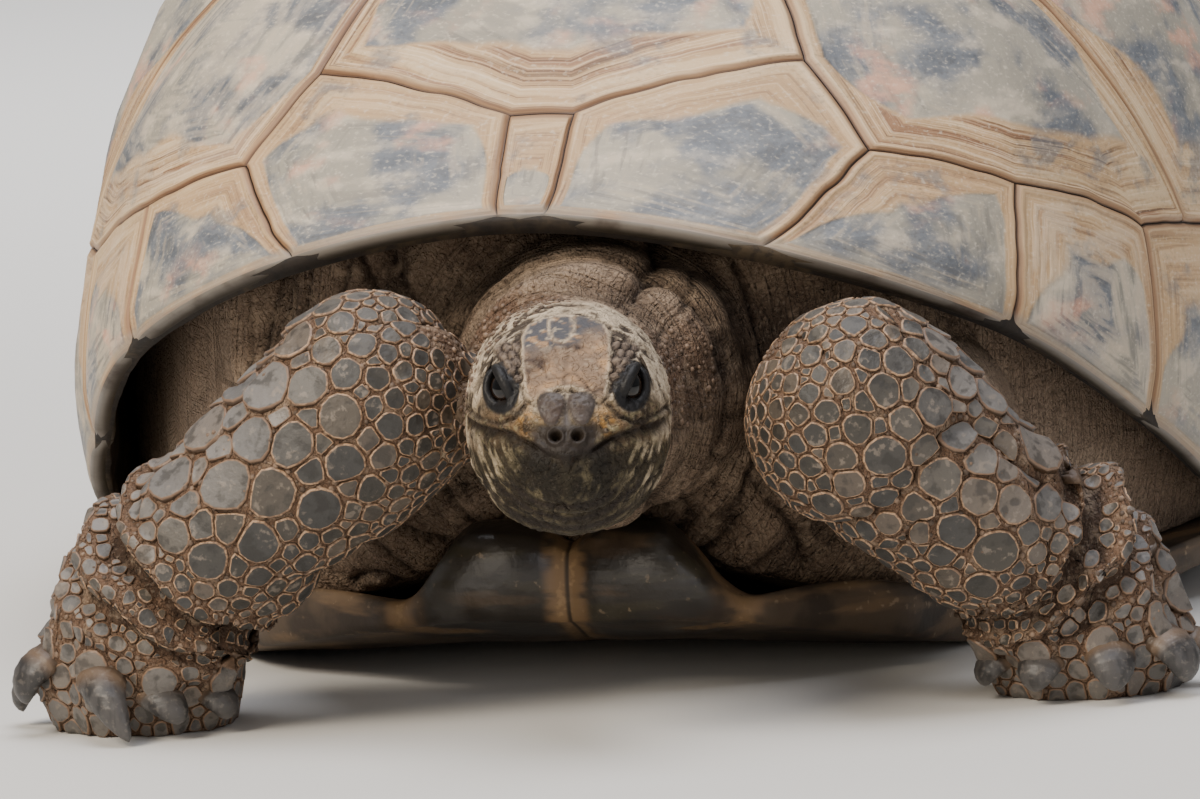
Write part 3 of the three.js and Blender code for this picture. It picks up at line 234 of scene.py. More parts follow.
class MeshBuilder:
    """Vertices, faces and point attributes gathered for one piece."""

    def __init__(self) -> None:
        """Starts with nothing."""
        self.points: list[Array] = []
        self.faces: list[Array] = []
        self.masks: dict[str, list[Array]] = {}
        self.chart: list[Array] = []  # flat places of the vertices, shape (n, 2), on pieces that have them
        self.count = 0

    def add(self, points: Array, **masks: Array) -> int:
        """Adds vertices.

        Args:
            points: places in millimetres, shape (..., 3).
            masks: one value for each vertex, by attribute name.

        Returns:
            Index of the first new vertex.
        """
        flat = points.reshape(-1, 3)
        start = self.count
        self.points.append(flat)
        for name, values in masks.items():
            self.masks.setdefault(name, []).append(np.broadcast_to(values, points.shape[:-1]).reshape(-1))
        self.count += len(flat)
        return start

    def barrels(self, stack: Array, low: Array, high: Array, turned: bool = False, **masks: Any) -> None:
        """Adds closed bodies, each of rows of vertices that close on themselves between two end points.

        Args:
            stack: places, shape (..., rows, columns, 3).
            low: the point before each body's first row, shape (..., 3).
            high: the point after each body's last row, shape (..., 3).
            turned: whether the faces point the other way.
            masks: for each attribute its values on the stack, at low and at high.
        """
        rows, columns = stack.shape[-3:-1]
        start = self.add(stack, **{name: values[0] for name, values in masks.items()})
        first = start + np.arange(stack[..., 0, 0, 0].size)[:, None, None] * rows * columns
        ring = np.arange(columns)
        after = np.roll(ring, -1)
        row = first + np.arange(rows - 1)[:, None] * columns
        a, b = row + ring, row + after
        quads = np.stack([a, b, b + columns, a + columns], -1).reshape(-1, 4)
        self.faces.append(quads[:, ::-1] if turned else quads)
        for which, place in enumerate((low, high)):
            marks = {name: values[1 + which] for name, values in masks.items()}
            tip = self.add(place.reshape(-1, 3), **marks)
            row = first[:, 0] + which * (rows - 1) * columns
            one, two = (row + after, row + ring) if (which == 0) != turned else (row + ring, row + after)
            tips = tip + np.arange(len(row))[:, None]
            self.faces.append(np.stack(np.broadcast_arrays(one, two, tips), -1).reshape(-1, 3))

    def volume(self) -> float:
        """Volume inside the faces, negative where they point inwards."""
        points = np.concatenate(self.points)
        points = points - points.mean(axis=0)
        total = 0.0
        for face in self.faces:
            for k in range(1, face.shape[1] - 1):
                a, b, c = points[face[:, 0]], points[face[:, k]], points[face[:, k + 1]]
                total += float(np.sum(np.cross(a, b) * c))
        return total / 6.0

    def piece(self, name: str, material: Optional[Material] = None) -> Piece:
        """Makes the piece.

        Args:
            name: the object's name.
            material: its finish.

        Returns:
            The new object, with its place in its mesh and its faces smooth.
        """
        mesh = bpy.data.meshes.new(name)
        points = np.concatenate(self.points) * 0.001
        if self.volume() < 0:
            self.faces = [face[:, ::-1] for face in self.faces]
        corners = [face.reshape(-1) for face in self.faces]
        sizes = np.concatenate([np.full(len(face), face.shape[1]) for face in self.faces])
        loops = np.concatenate(corners).astype(np.int32)
        mesh.vertices.add(len(points))
        mesh.vertices.foreach_set("co", points.astype(np.float32).ravel())
        mesh.loops.add(len(loops))
        mesh.loops.foreach_set("vertex_index", loops)
        mesh.polygons.add(len(sizes))
        starts = np.concatenate([[0], np.cumsum(sizes)[:-1]]).astype(np.int32)
        mesh.polygons.foreach_set("loop_start", starts)
        mesh.update(calc_edges=True)
        mesh.validate()
        for key, parts in self.masks.items():
            set_mask(mesh, key, np.concatenate(parts))
        if self.chart:
            set_chart(mesh, np.concatenate(self.chart))
        mesh.shade_smooth()
        piece = bpy.data.objects.new(name, mesh)
        bpy.context.scene.collection.objects.link(piece)
        if material is not None:
            mesh.materials.append(material)
        return piece


def set_mask(mesh: Mesh, name: str, values: Array) -> None:
    """Stores one number for each vertex under a name that materials read."""
    attribute = mesh.attributes.get(name) or mesh.attributes.new(name, "FLOAT", "POINT")
    attribute.data.foreach_set("value", values.astype(np.float32))


def read(items: Any, key: str, width: int = 1, kind: Any = np.int32) -> Array:
    """One property of all the items of a mesh, with a row for each where it has several numbers.

    Args:
        items: vertices, edges, loops or faces.
        key: name of the property.
        width: how many numbers each item has.
        kind: type of the numbers.

    Returns:
        The numbers.
    """
    flat = np.empty(len(items) * width, kind)
    items.foreach_get(key, flat)
    return flat.reshape(-1, width) if width > 1 else flat


def set_chart(mesh: Mesh, chart: Array) -> None:
    """Stores flat places as the map OFBake; a vertex with none takes the middle of its face's others.

    Args:
        mesh: the mesh.
        chart: a flat place for each vertex, not a number where it has none.
    """
    layer = mesh.uv_layers.new(name="OFBake")
    flat, sizes = chart[read(mesh.loops, "vertex_index")], read(mesh.polygons, "loop_total")
    face = np.repeat(np.arange(len(sizes)), sizes)
    known = ~np.isnan(flat[:, 0])
    number = np.maximum(np.bincount(face[known], minlength=len(sizes)), 1)
    for axis in range(2):
        middle = np.bincount(face[known], flat[known, axis], len(sizes)) / number
        flat[:, axis] = np.where(known, flat[:, axis], middle[face])
    layer.data.foreach_set("uv", flat.astype(np.float32).ravel())


def places_of(mesh: Mesh) -> Array:
    """Vertex places in millimetres, shape (n, 3)."""
    return read(mesh.vertices, "co", 3, np.float32).astype(float) * 1000.0


def normals_of(mesh: Mesh) -> Array:
    """Vertex normals, shape (n, 3)."""
    return read(mesh.vertex_normals, "vector", 3, np.float32).astype(float)


def place_points(mesh: Mesh, points: Array) -> None:
    """Moves the vertices of a mesh to places in millimetres."""
    mesh.vertices.foreach_set("co", (points * 0.001).astype(np.float32).ravel())
    mesh.update()


def relax(points: Array, edges: Array, strength: Array | float, rounds: int) -> Array:
    """Draws each point toward the middle of its neighbours.

    Args:
        points: places, shape (n, 3).
        edges: pairs of neighbours.
        strength: share of the way for each point, from 0 to 1.
        rounds: how many times.

    Returns:
        The new places.
    """
    degree = np.maximum(np.bincount(edges.ravel(), minlength=len(points)), 1.0)
    share = np.broadcast_to(strength, len(points))[:, None]
    for _ in range(rounds):
        total = np.zeros_like(points)
        for axis in range(3):
            total[:, axis] = np.bincount(edges[:, 0], points[edges[:, 1], axis], len(points))
            total[:, axis] += np.bincount(edges[:, 1], points[edges[:, 0], axis], len(points))
        points = points + share * (total / degree[:, None] - points)
    return points


def hollows(mesh: Mesh, points: Array, rounds: int = 2) -> Array:
    """How deep each point lies in a hollow of its surface, in millimetres."""
    even = relax(points, read(mesh.edges, "vertices", 2), 1, rounds)
    return np.sum((even - points) * normals_of(mesh), 1)


def apply_modifiers(piece: Piece) -> None:
    """Turns a piece and its modifiers into a plain mesh.

    Args:
        piece: the object.
    """
    graph = bpy.context.evaluated_depsgraph_get()
    ready = piece.evaluated_get(graph)
    mesh = bpy.data.meshes.new_from_object(ready, preserve_all_data_layers=True, depsgraph=graph)
    piece.modifiers.clear()
    old, piece.data = piece.data, mesh
    bpy.data.meshes.remove(old)


def finished(piece: Piece, slot: str, *nodes: str) -> Piece:
    """Puts a piece on the body.

    Args:
        piece: the object, with its place in its mesh.
        slot: not used.
        nodes: solids that it stands for.

    Returns:
        The same object.
    """
    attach(piece, "root")
    if nodes:
        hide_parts(*nodes)
    count = sum(len(face.vertices) - 2 for face in piece.data.polygons)
    LOG.info("%s: %d triangles", piece.name, count)
    return piece


# ---- carapace


@dataclass(frozen=True)
class Profile:
    """How a meridian of the carapace leaves the crown and reaches the rim, as shares of the way out."""

    crown: float
    rim: float
    rise: float


@dataclass
class ShellSurface:
    """Smooth surface of the carapace, on which the scutes are laid out.

    A place on it is a point of a flat disc: the crown is the middle and the rim is at radius 1.
    """

    crown: tuple[float, ...] = (0, 30, 505)
    rim: tuple[tuple[float, ...], ...] = (
        (0, -500, 270), (137, -488, 247), (251, -385, 190), (312, -250, 118), (344, -110, 54), (353, 40, 42),
        (348, 190, 54), (316, 325, 95), (245, 432, 140), (140, 507, 150), (0, 545, 112),
    )
    front: Profile = Profile(0.48, -0.2, 50)
    side: Profile = Profile(0.75, 0.13, 256)
    rear: Profile = Profile(0.62, -0.02, 215)

    def rim_point(self, angle: Array) -> Array:
        """Points of the rim at angles in degrees from the nape, positive to the left.

        Args:
            angle: angles, shape (...).

        Returns:
            Places, shape (..., 3).
        """
        stations = np.array(self.rim, float)
        mirror = np.array([-1, 1, 1])
        stations = np.vstack([stations[1] * mirror, stations, stations[-2] * mirror])
        place = np.abs(angle) / 18.0
        i = np.minimum(np.floor(place).astype(int), len(self.rim) - 2)
        t = (place - i)[..., None]
        before, a, b, after = (stations[i + k] for k in range(4))
        m0, m1 = (b - before) / 2, (after - a) / 2
        point = path(a, b, m0, m1, t)
        point[..., 0] *= np.where(angle < 0, -1, 1)
        return point

    def point(self, angle: Array, share: Array) -> Array:
        """Points at an angle and a share of the way from the crown to the rim.

        Args:
            angle: angles in degrees from the nape.
            share: 0 at the crown and 1 at the rim.

        Returns:
            Places, shape (..., 3).
        """
        rim, crown = self.rim_point(angle), np.array(self.crown, float)
        forward = np.cos(np.radians(angle))
        front, rear = np.maximum(0, forward) ** 2, np.maximum(0, -forward) ** 2

        def blend(key: str) -> Array:
            """One value of the three profiles, mixed by how far forward or back the points lie."""
            side = getattr(self.side, key) * (1 - front - rear)
            return getattr(self.front, key) * front + getattr(self.rear, key) * rear + side

        outward = (rim - crown) * np.array([1, 1, 0])
        near = crown + outward * blend("crown")[..., None]
        far = rim + outward * blend("rim")[..., None]
        far[..., 2] += blend("rise")
        t = share[..., None]
        return crown * (1 - t) ** 3 + near * 3 * t * (1 - t) ** 2 + far * 3 * t**2 * (1 - t) + rim * t**3

    def normal(self, angle: Array, share: Array) -> Array:
        """Outward directions of the surface.

        Args:
            angle: angles in degrees from the nape.
            share: 0 at the crown and 1 at the rim.

        Returns:
            Directions, shape (..., 3).
        """
        safe = np.clip(share, 0.02, 0.99)
        around = self.point(wrap(angle + 0.5), safe) - self.point(wrap(angle - 0.5), safe)
        outward = self.point(angle, safe + 0.01) - self.point(angle, safe - 0.01)
        return unit(np.cross(outward, around))

    def at(self, place: Array, lift: Array | float = 0.0) -> Array:
        """Points over places of the disc, lifted off the surface.

        Args:
            place: places of the disc, shape (..., 2).
            lift: distance off the surface.

        Returns:
            Places, shape (..., 3).
        """
        share = np.minimum(np.linalg.norm(place, axis=-1), 1.0)
        angle = np.degrees(np.arctan2(place[..., 0], -place[..., 1]))
        lift = np.broadcast_to(lift, share.shape)
        return self.point(angle, share) + self.normal(angle, share) * lift[..., None]


def wrap(angle: Array) -> Array:
    """Angles brought between -180 and 180 degrees."""
    return (angle + 180.0) % 360.0 - 180.0


def disc(angle: float, share: float) -> Array:
    """Place on the disc at an angle in degrees and a share of the radius."""
    return np.array([share * math.sin(math.radians(angle)), -share * math.cos(math.radians(angle))])


class Row(Enum):
    """The three kinds of horn scute."""

    VERTEBRAL = "vertebral"
    COSTAL = "costal"
    MARGINAL = "marginal"


@dataclass
class Scute:
    """One horn plate of the carapace."""

    row: Row
    corners: list[Array]
    dome: float


@dataclass
class ScuteLayout:
    """Where the seams between the scutes run, on the disc of the shell."""

    marginal_seams: tuple[tuple[float, ...], ...] = (
        (1.7, 2.7, 0.785), (17.4, 27, 0.79), (36.4, 40, 0.795), (54.2, 55.8, 0.797), (68, 69, 0.765),
        (81, 81.5, 0.755), (95, 95, 0.75), (109, 109, 0.755), (124, 123, 0.765), (139, 138, 0.78),
        (153, 152, 0.795), (167, 166, 0.82),
    )
    nape_peak: tuple[float, float] = (23.3, 0.672)
    costal_feet: tuple[tuple[float, ...], ...] = (
        (63, 0.775, 4), (89, 0.75, 6), (117, 0.757, 8), (146, 0.785, 10),
    )
    vertebral_corners: tuple[tuple[float, float], ...] = (
        (0.19, -0.47), (0.3, -0.33), (0.21, -0.16), (0.31, 0.01), (0.21, 0.18), (0.28, 0.34), (0.16, 0.47),
    )
    vertebral_dome: float = 10.0
    costal_dome: float = 9.0
    marginal_dome: float = 4.0

    @staticmethod
    def mirrored(loop: list[Array]) -> list[Array]:
        """The same corners on the other side of the middle, taken backwards."""
        return [point * np.array([-1, 1]) for point in reversed(loop)]

    def scutes(self) -> list[Scute]:
        """Corner loops of all the scutes, the left side and its mirror.

        Returns:
            The scutes of the five rows.
        """
        tops = [disc(top, share) for _, top, share in self.marginal_seams]
        rims = [disc(rim, 1.0) for rim, _, _ in self.marginal_seams]
        peak = disc(*self.nape_peak)
        feet = [disc(top, share) for top, share, _ in self.costal_feet]
        c = [np.array(corner, float) for corner in self.vertebral_corners]
        found: list[Scute] = []
        middle = [
            [tops[0], peak, c[0]], [c[0], c[1], c[2]], [c[2], c[3], c[4]], [c[4], c[5], c[6]],
            [c[6], feet[3], tops[10], tops[11]],
        ]
        for loop in middle:
            found.append(Scute(Row.VERTEBRAL, loop + self.mirrored(loop), self.vertebral_dome))
        sides = [
            [c[0], peak, tops[1], tops[2], tops[3], feet[0], c[1]],
            [c[1], feet[0], tops[4], tops[5], feet[1], c[3], c[2]],
            [c[3], feet[1], tops[6], tops[7], feet[2], c[5], c[4]],
            [c[5], feet[2], tops[8], tops[9], feet[3], c[6]],
        ]
        for loop in sides:
            found += [Scute(Row.COSTAL, half, self.costal_dome) for half in (loop, self.mirrored(loop))]
        for i in range(len(rims) - 1):
            loop = [rims[i], rims[i + 1], tops[i + 1]]
            loop += [feet[k] for k, foot in enumerate(self.costal_feet) if foot[2] == i + 1]
            loop += ([peak] if i == 0 else []) + [tops[i]]
            found += [Scute(Row.MARGINAL, half, self.marginal_dome) for half in (loop, self.mirrored(loop))]
        nape, tail = [rims[0], tops[0]], [tops[-1], rims[-1]]
        found.append(Scute(Row.MARGINAL, nape + self.mirrored(nape), self.marginal_dome * 0.6))
        found.append(Scute(Row.MARGINAL, tail + self.mirrored(tail), self.marginal_dome))
        return found


@dataclass
class Carapace:
    """The domed upper shell: horn scutes over a wall of bone, open in front and behind."""

    surface: ShellSurface
    layout: ScuteLayout
    grain: float = 0.0078  # spacing of the points along a seam, on the disc
    rings: tuple[float, ...] = (
        0, 1.0, 2.2, 3.6, 5.4, 7.6, 10, 12.6, 15.6, 19, 23, 27.5, 33, 39.5, 47, 56, 67, 81,
    )
    terraces: tuple[float, ...] = (10.5, 27, 46)
    terrace_rise: float = 0.9
    gap: float = 0.15
    seam_depth: float = 1.9
    ripple: float = 0.55
    ripple_length: float = 5.0
    notch: float = 4.0  # dip of the rim where two marginal scutes meet
    plate_depth: float = 5.5
    wall: float = 20.0
    lip: float = 13.0

    def seam(self, start: Array, end: Array) -> Array:
        """Points along a seam, the same for the scutes on both sides of it.

        Args:
            start: corner where it starts.
            end: corner where it ends.

        Returns:
            Places of the disc, shape (n, 2).
        """
        swap = (start[0] - end[0] or start[1] - end[1]) > 0
        a, b = (end, start) if swap else (start, end)
        on_rim = np.linalg.norm(a) > 0.999 and np.linalg.norm(b) > 0.999
        count = max(2, round(float(np.linalg.norm(b - a)) / self.grain))
        t = np.linspace(0, 1, count + 1)[:, None]
        line = a + (b - a) * t
        if on_rim:
            line = line / np.linalg.norm(line, axis=1, keepdims=True)
        else:
            flat = np.column_stack([line, np.zeros(len(line))])
            ease = np.sin(np.pi * t[:, 0]) ** 0.5 * min(1.0, float(np.linalg.norm(b - a)) * 5)
            sway = 0.006 * noise(flat, 0.16, 5, 2) + 0.0022 * noise(flat, 0.035, 6)
            across = np.array([-(b - a)[1], (b - a)[0]]) / np.linalg.norm(b - a)
            line = line + across * (sway * ease)[:, None]
        return line[::-1] if swap else line

    def outline(self, scute: Scute) -> Array:
        """Closed outline of a scute, in the sense that makes its faces point out.

        Args:
            scute: the plate.

        Returns:
            Places of the disc, shape (n, 2).
        """
        corners = scute.corners
        parts = [self.seam(a, b)[:-1] for a, b in zip(corners, corners[1:] + corners[:1])]
        line = np.concatenate(parts)
        after = np.roll(line, -1, axis=0)
        area = np.sum(line[:, 0] * after[:, 1] - line[:, 1] * after[:, 0])
        return line if area > 0 else line[::-1]

    def relief(self, ring: Array, share: Array, dome: float, places: Array) -> Array:
        """Height of a scute's face over the shell.

        Args:
            ring: distance in from the seam, in millimetres of growth.
            share: 1 at the seam and 0 at the middle.
            dome: how far the middle stands up.
            places: the points, for the wear of the rings.

        Returns:
            Heights in millimetres.
        """
        worn = smooth(-0.5, 0.6, noise(places, 90, 11, 2))
        height = -self.seam_depth * np.exp(-ring / 1.1)
        height += 1.3 * bump(ring, 3.8, 2.0)
        for terrace in self.terraces:
            height += self.terrace_rise * smooth(terrace - 1.4, terrace + 1.4, ring) * (0.1 + 0.9 * worn)
        fading = np.exp(-ring / 34.0)
        lines = noise(np.column_stack([ring / self.ripple_length, places[:, :2] / 110]), 1.0, 19, 2)
        height += self.ripple * lines * fading * (0.4 + worn)
        rest = dome - self.terrace_rise * len(self.terraces) * 0.75
        height += max(rest, 0.0) * smooth(0.0, 1.0, 1.0 - share)
        height += 0.5 * noise(places, 55, 13, 2) * smooth(4, 20, ring)
        return height

    def notch_shift(self, at: Array, points: Array) -> Array:
        """How far the rim draws in where two marginal scutes meet.

        Args:
            at: places of the disc.
            points: the points of the shell there.

        Returns:
            Shifts, shape (n, 3).
        """
        radius = np.linalg.norm(at, axis=1)
        angle = np.degrees(np.arctan2(np.abs(at[:, 0]), -at[:, 1]))
        nearest = np.min([np.abs(angle - seam[0]) for seam in self.layout.marginal_seams], axis=0)
        amount = self.notch * (bump(nearest, 0, 1.5) + 0.35 * bump(nearest, 0, 5.0))
        inward = unit((np.array(self.surface.crown) - points) * np.array([1, 1, 0]))
        return inward * (amount * smooth(0.94, 1.0, radius))[:, None]

    def add_scute(self, builder: MeshBuilder, scute: Scute, number: float) -> None:
        """Adds one closed plate to a mesh.

        Args:
            builder: the mesh that takes it.
            scute: the plate.
            number: random number that sets its tone.
        """
        outline = self.outline(scute)
        middle = outline.mean(axis=0)
        radius = np.linalg.norm(middle)
        if radius > 0.85:
            middle = middle / radius * 0.915
        if scute.row is Row.VERTEBRAL:
            middle = middle + np.array([0, 0.02])
        seam_points, heart = self.surface.at(outline), self.surface.at(middle[None])[0]
        reach = np.linalg.norm(seam_points - heart, axis=1)
        size = float(reach.mean())
        on_rim = (np.linalg.norm(outline, axis=1) > 0.999).astype(float)
        rows: list[Array] = []
        masks: dict[str, list[Array]] = {"ring": [], "band": [], "lip": []}
        steps = [ring for ring in self.rings if ring < size * 0.93] + [size * 0.96]
        for ring in steps:
            share = 1 - ring / size
            inset = (self.gap / reach) * (1 - on_rim) * share
            at = middle + (outline - middle) * (share - inset)[:, None]
            base = self.surface.at(at)
            shift = self.notch_shift(at, seam_points)
            local = np.full(len(outline), float(ring))
            local = local + 2.2 * noise(base, 70, 17, 2) * smooth(3, 16, local)
            lift = self.relief(local, share, scute.dome, base)
            edge = smooth(0.985, 1.0, np.linalg.norm(at, axis=1))
            lift = lift * (1 - edge) - 1.2 * edge
            rows.append(self.surface.at(at, lift) + shift)
            masks["ring"].append(np.maximum(local, 0))
            masks["band"].append(self.growth_band(scute, base, heart, local))
            # lip: rises to 1 at the rim's edge, where the finish greys the horn as painted shade
            masks["lip"].append(smooth(0.955, 1.0, np.linalg.norm(at, axis=1)))
        sides = [(1.6, 0.0, 1.2), (self.plate_depth, 0.0, 0.3), (self.plate_depth, 4.0, -2.0)]
        inset = self.gap / reach
        for number_of_side, (deep, inward, bulge) in enumerate(sides):
            depth = deep + on_rim * (1.6, 4.4, 6.0)[number_of_side]
            pull = inset + (inward / reach) - on_rim * (bulge / reach + inset)
            at = middle + (outline - middle) * (1 - pull)[:, None]
            rim_push = on_rim[:, None] * unit(seam_points - heart) * bulge
            rows.insert(0, self.surface.at(at, -depth) + rim_push + self.notch_shift(at, seam_points))
            masks["ring"].insert(0, np.zeros(len(outline)))
            masks["band"].insert(0, np.ones(len(outline)))
            # lip past 1 on the rim's underside, where the finish lays dark painted shade
            masks["lip"].insert(0, on_rim * (1 + 0.5 * number_of_side))
        rise = self.relief(np.array([size]), np.array([0.0]), scute.dome, heart[None])
        ends = (self.surface.at(middle, lift) for lift in (-self.plate_depth, float(rise[0])))
        ring, band, lip = (np.stack(masks[name]) for name in ("ring", "band", "lip"))
        builder.barrels(
            np.stack(rows), *ends, ring=(ring, 0, size), band=(band, 1, 0), lip=(lip, 0, 0), scute=(number,) * 3
        )

    @staticmethod
    def growth_band(scute: Scute, places: Array, heart: Array, ring: Array) -> Array:
        """1 on the young growth at a scute's lower edges, above on marginals, and 0 on its worn middle.

        Args:
            scute: the plate.
            places: its points.
            heart: its middle.
            ring: distance in from the seam.

        Returns:
            Values from 0 to 1.
        """
        rise = (places - heart)[:, 2] / np.maximum(np.linalg.norm(places - heart, axis=1), 1)
        if scute.row is Row.MARGINAL:
            wide, most = 11 + 34 * smooth(0.0, 0.8, rise), 0.74
        else:
            wide, most = 9 + 44 * smooth(0.1, -0.7, rise), 1.0
        return most * smooth(1.15, 0.75, ring / (wide * (1 + 0.35 * noise(places, 60, 31, 2))))

    def build_scutes(self, rows: Sequence[Row], name: str, horn: Material) -> Piece:
        """Makes the scutes of some rows as one piece.

        Args:
            rows: the rows.
            name: the piece's name.
            horn: its finish.

        Returns:
            The piece.
        """
        builder = MeshBuilder()
        for number, scute in enumerate(self.layout.scutes()):
            if scute.row in rows:
                self.add_scute(builder, scute, float(cell_random(np.array([number, 3, 7]), 2)))
        return finished(builder.piece(name, horn), "carapace_horn", "carapace")

    def build_wall(self, bone: Material) -> Piece:
        """Makes the wall under the scutes, with its inner face and its lip.

        Args:
            bone: its finish.

        Returns:
            The piece.
        """
        builder = MeshBuilder()
        angles = np.linspace(-180, 180, 360, endpoint=False)
        shares = np.concatenate([np.linspace(0.04, 0.88, 22), np.linspace(0.9, 1.0, 9)])
        cover = self.plate_depth - 1.2

        def row(share: float, lift: float, slip: float = 0.0) -> Array:
            """Ring of points round the shell, slipped inwards."""
            place = np.stack([disc(float(angle), share) for angle in angles])
            points = self.surface.at(place, lift)
            if slip:
                heart = np.array(self.surface.crown) * np.array([1, 1, 0])
                points = points + unit((heart - points) * np.array([1, 1, 0])) * slip
            return points

        def inner(share: float) -> Array:
            """Ring of points on the rough inner face."""
            depth = self.wall + (self.lip - self.wall) * float(smooth(0.93, 1.0, np.array(share)))
            points = row(share, -depth)
            rough = 0.9 * noise(points, 26, 23, 3) - 1.3 * crease(points, 60, 29, 0.05)
            return points + unit(np.array([0, 0, 150.0]) - points) * -rough[:, None]

        rows = [row(share, -cover) for share in shares] + [row(1.0, -cover - 3.5, 1.0)]
        rows += [inner(share) for share in shares[::-1]]
        ends = (self.surface.at(np.zeros(2), -depth) for depth in (cover, self.wall))
        builder.barrels(np.stack(rows), *ends)
        return finished(builder.piece("carapace_wall", bone), "carapace_horn", "carapace")


# ---- plastron


@dataclass
class Plastron:
    """The flat lower shell, with the two thick throat scutes in front."""

    outline: tuple[tuple[float, float], ...] = (
        (0, -452), (17, -458), (58, -462), (94, -446), (182, -384), (224, -283), (296, -208), (342, -108),
        (349, 40), (340, 160), (292, 222), (228, 246), (206, 334), (158, 392), (70, 438), (0, 424),
    )
    seams: tuple[tuple[tuple[float, float], ...], ...] = (
        ((0, -500), (0, 440)), ((94, -446), (0, -392)), ((224, -283), (0, -262)),
        ((342, -108), (130, -216), (0, -214)), ((228, 246), (0, 150)), ((158, 392), (0, 320)),
    )
    top: float = 24.7
    throat_top: float = 94.0
    throat_rise: float = 40.0
    throat_half: float = 50.0  # half width of the throat scutes, where their tops begin to fall away
    throat_dip: float = 7.0  # hollow between the two
    throat_lean: float = 10.0  # shift of the throat end to the animal's left
    bridge_rise: float = 27.0
    bridge: tuple[float, float] = (225.0, 346.0)

    def bridge_share(self, x: Array) -> Array:
        """0 on the flat part and 1 at the outer edge of the bridges."""
        return np.clip((np.abs(x) - self.bridge[0]) / (self.bridge[1] - self.bridge[0]), 0, 1) ** 1.3

    def underside(self, x: Array, y: Array) -> Array:
        """Height of the lower face."""
        front = np.clip((-290 - y) / 170, 0, 1) ** 1.4 * self.throat_rise
        return np.maximum(front, self.bridge_share(x) * self.bridge_rise)

    def upper(self, x: Array, y: Array) -> Array:
        """Height of the upper face.

        Args:
            x: distance from the middle, positive to the left.
            y: distance back.

        Returns:
            Heights in millimetres.
        """
        front = smooth(330, 445, -y)
        side = 1 - 0.6 * smooth(self.throat_half, self.throat_half + 52, np.abs(x))
        arch = 6.0 * np.minimum(((np.abs(x) - 34) / 36) ** 2, 1.6)
        dip = self.throat_dip * bump(x, 0, 13) + arch
        throat = (self.throat_top - self.top) * front * side - front * dip
        throat = throat + 15 * smooth(225, 350, -y) * bump(np.abs(x), 165, 70)
        return self.top + np.maximum(throat, self.bridge_share(x) * (self.bridge_rise - 10.4))

    def rounded_outline(self) -> Array:
        """Outline in plan, divided finely and with softened corners.

        Returns:
            Places, shape (n, 2).
        """
        left = np.array(self.outline, float)
        loop = np.vstack([left, (left * [-1, 1])[-2:0:-1]])
        after = np.roll(loop, -1, axis=0)
        steps = np.concatenate([[0], np.cumsum(np.linalg.norm(after - loop, axis=1))])
        places = np.arange(0, steps[-1], 4.5)
        closed = np.vstack([loop, loop[:1]])
        fine = np.stack([np.interp(places, steps, closed[:, axis]) for axis in range(2)], -1)
        for _ in range(14):
            fine = 0.5 * fine + 0.25 * (np.roll(fine, 1, axis=0) + np.roll(fine, -1, axis=0))
        return fine

    def build(self, horn: Material) -> Piece:
        """Makes the plastron as one closed piece.

        Args:
            horn: its finish.

        Returns:
            The piece.
        """
        outline = self.rounded_outline()
        x, y = outline[:, 0], outline[:, 1]
        outward = unit(np.stack([np.roll(y, -1) - np.roll(y, 1), np.roll(x, 1) - np.roll(x, -1)], -1))
        low, high = self.underside(x, y), self.upper(x, y)
        front = smooth(300, 420, -y)
        gular = smooth(96, 78, np.abs(x)) * smooth(395, 425, -y)
        rows: list[Array] = []
        for share in (0.3, 0.6, 0.85, 0.94, 0.98):
            rows.append(np.stack([x * share, y * share, self.underside(x * share, y * share)], -1))
        for turn in np.linspace(-90, 90, 15):
            out = math.cos(math.radians(turn)) ** 0.8
            rise = 0.5 + 0.5 * math.sin(math.radians(turn)) * (1 - 0.12 * gular * (turn > 0))
            bulge = (2.5 + 4.0 * front + gular * (1.0 + 5.0 * bump(np.abs(x), 38, 34))) * out
            edge = outline + outward * bulge[:, None]
            rows.append(np.column_stack([edge, low + (high - low) * rise]))
        for share in (0.985, 0.965, 0.94, 0.9, 0.84, 0.7, 0.4):
            rows.append(np.stack([x * share, y * share, self.upper(x * share, y * share)], -1))
        stack = np.stack(rows)
        flat = stack.reshape(-1, 3)
        distance = np.min([line_distance(flat[:, 0], flat[:, 1], seam) for seam in self.seams], axis=0)
        raised = smooth(2, 12, flat[:, 2])
        heart = np.column_stack([flat[:, 0] * 0.86, flat[:, 1] * 0.86, np.full(len(flat), 45.0)])
        inward = unit(heart - flat)
        throat = smooth(92, 70, np.abs(flat[:, 0])) * smooth(380, 410, -flat[:, 1])
        sunk = (4.2 - 2.6 * throat) * np.exp(-distance / 5.0)
        sunk -= 1.6 * bump(distance, 16, 8) * (1 - 0.7 * throat)
        sunk -= 1.4 * throat * bump(distance, 38, 26)
        sunk += 0.7 * noise(flat, 30, 41, 3) - 0.5 * crease(flat, 34, 43, 0.04, 2) * (1 - throat)
        flat = flat + inward * (sunk * raised)[:, None]
        flat[:, 0] += self.throat_lean * smooth(330, 445, -flat[:, 1])
        flat[:, 2] = np.maximum(flat[:, 2], 0.0)
        builder = MeshBuilder()
        shape = stack.shape[:2]
        builder.barrels(
            flat.reshape(stack.shape), np.zeros(3), np.array([0, 0, self.top]),
            seam=(distance.reshape(shape), 0, 0), throat=(throat.reshape(shape), 0, 0),
        )
        return finished(builder.piece("plastron_horn", horn), "plastron_horn", "plastron")


# ---- limbs


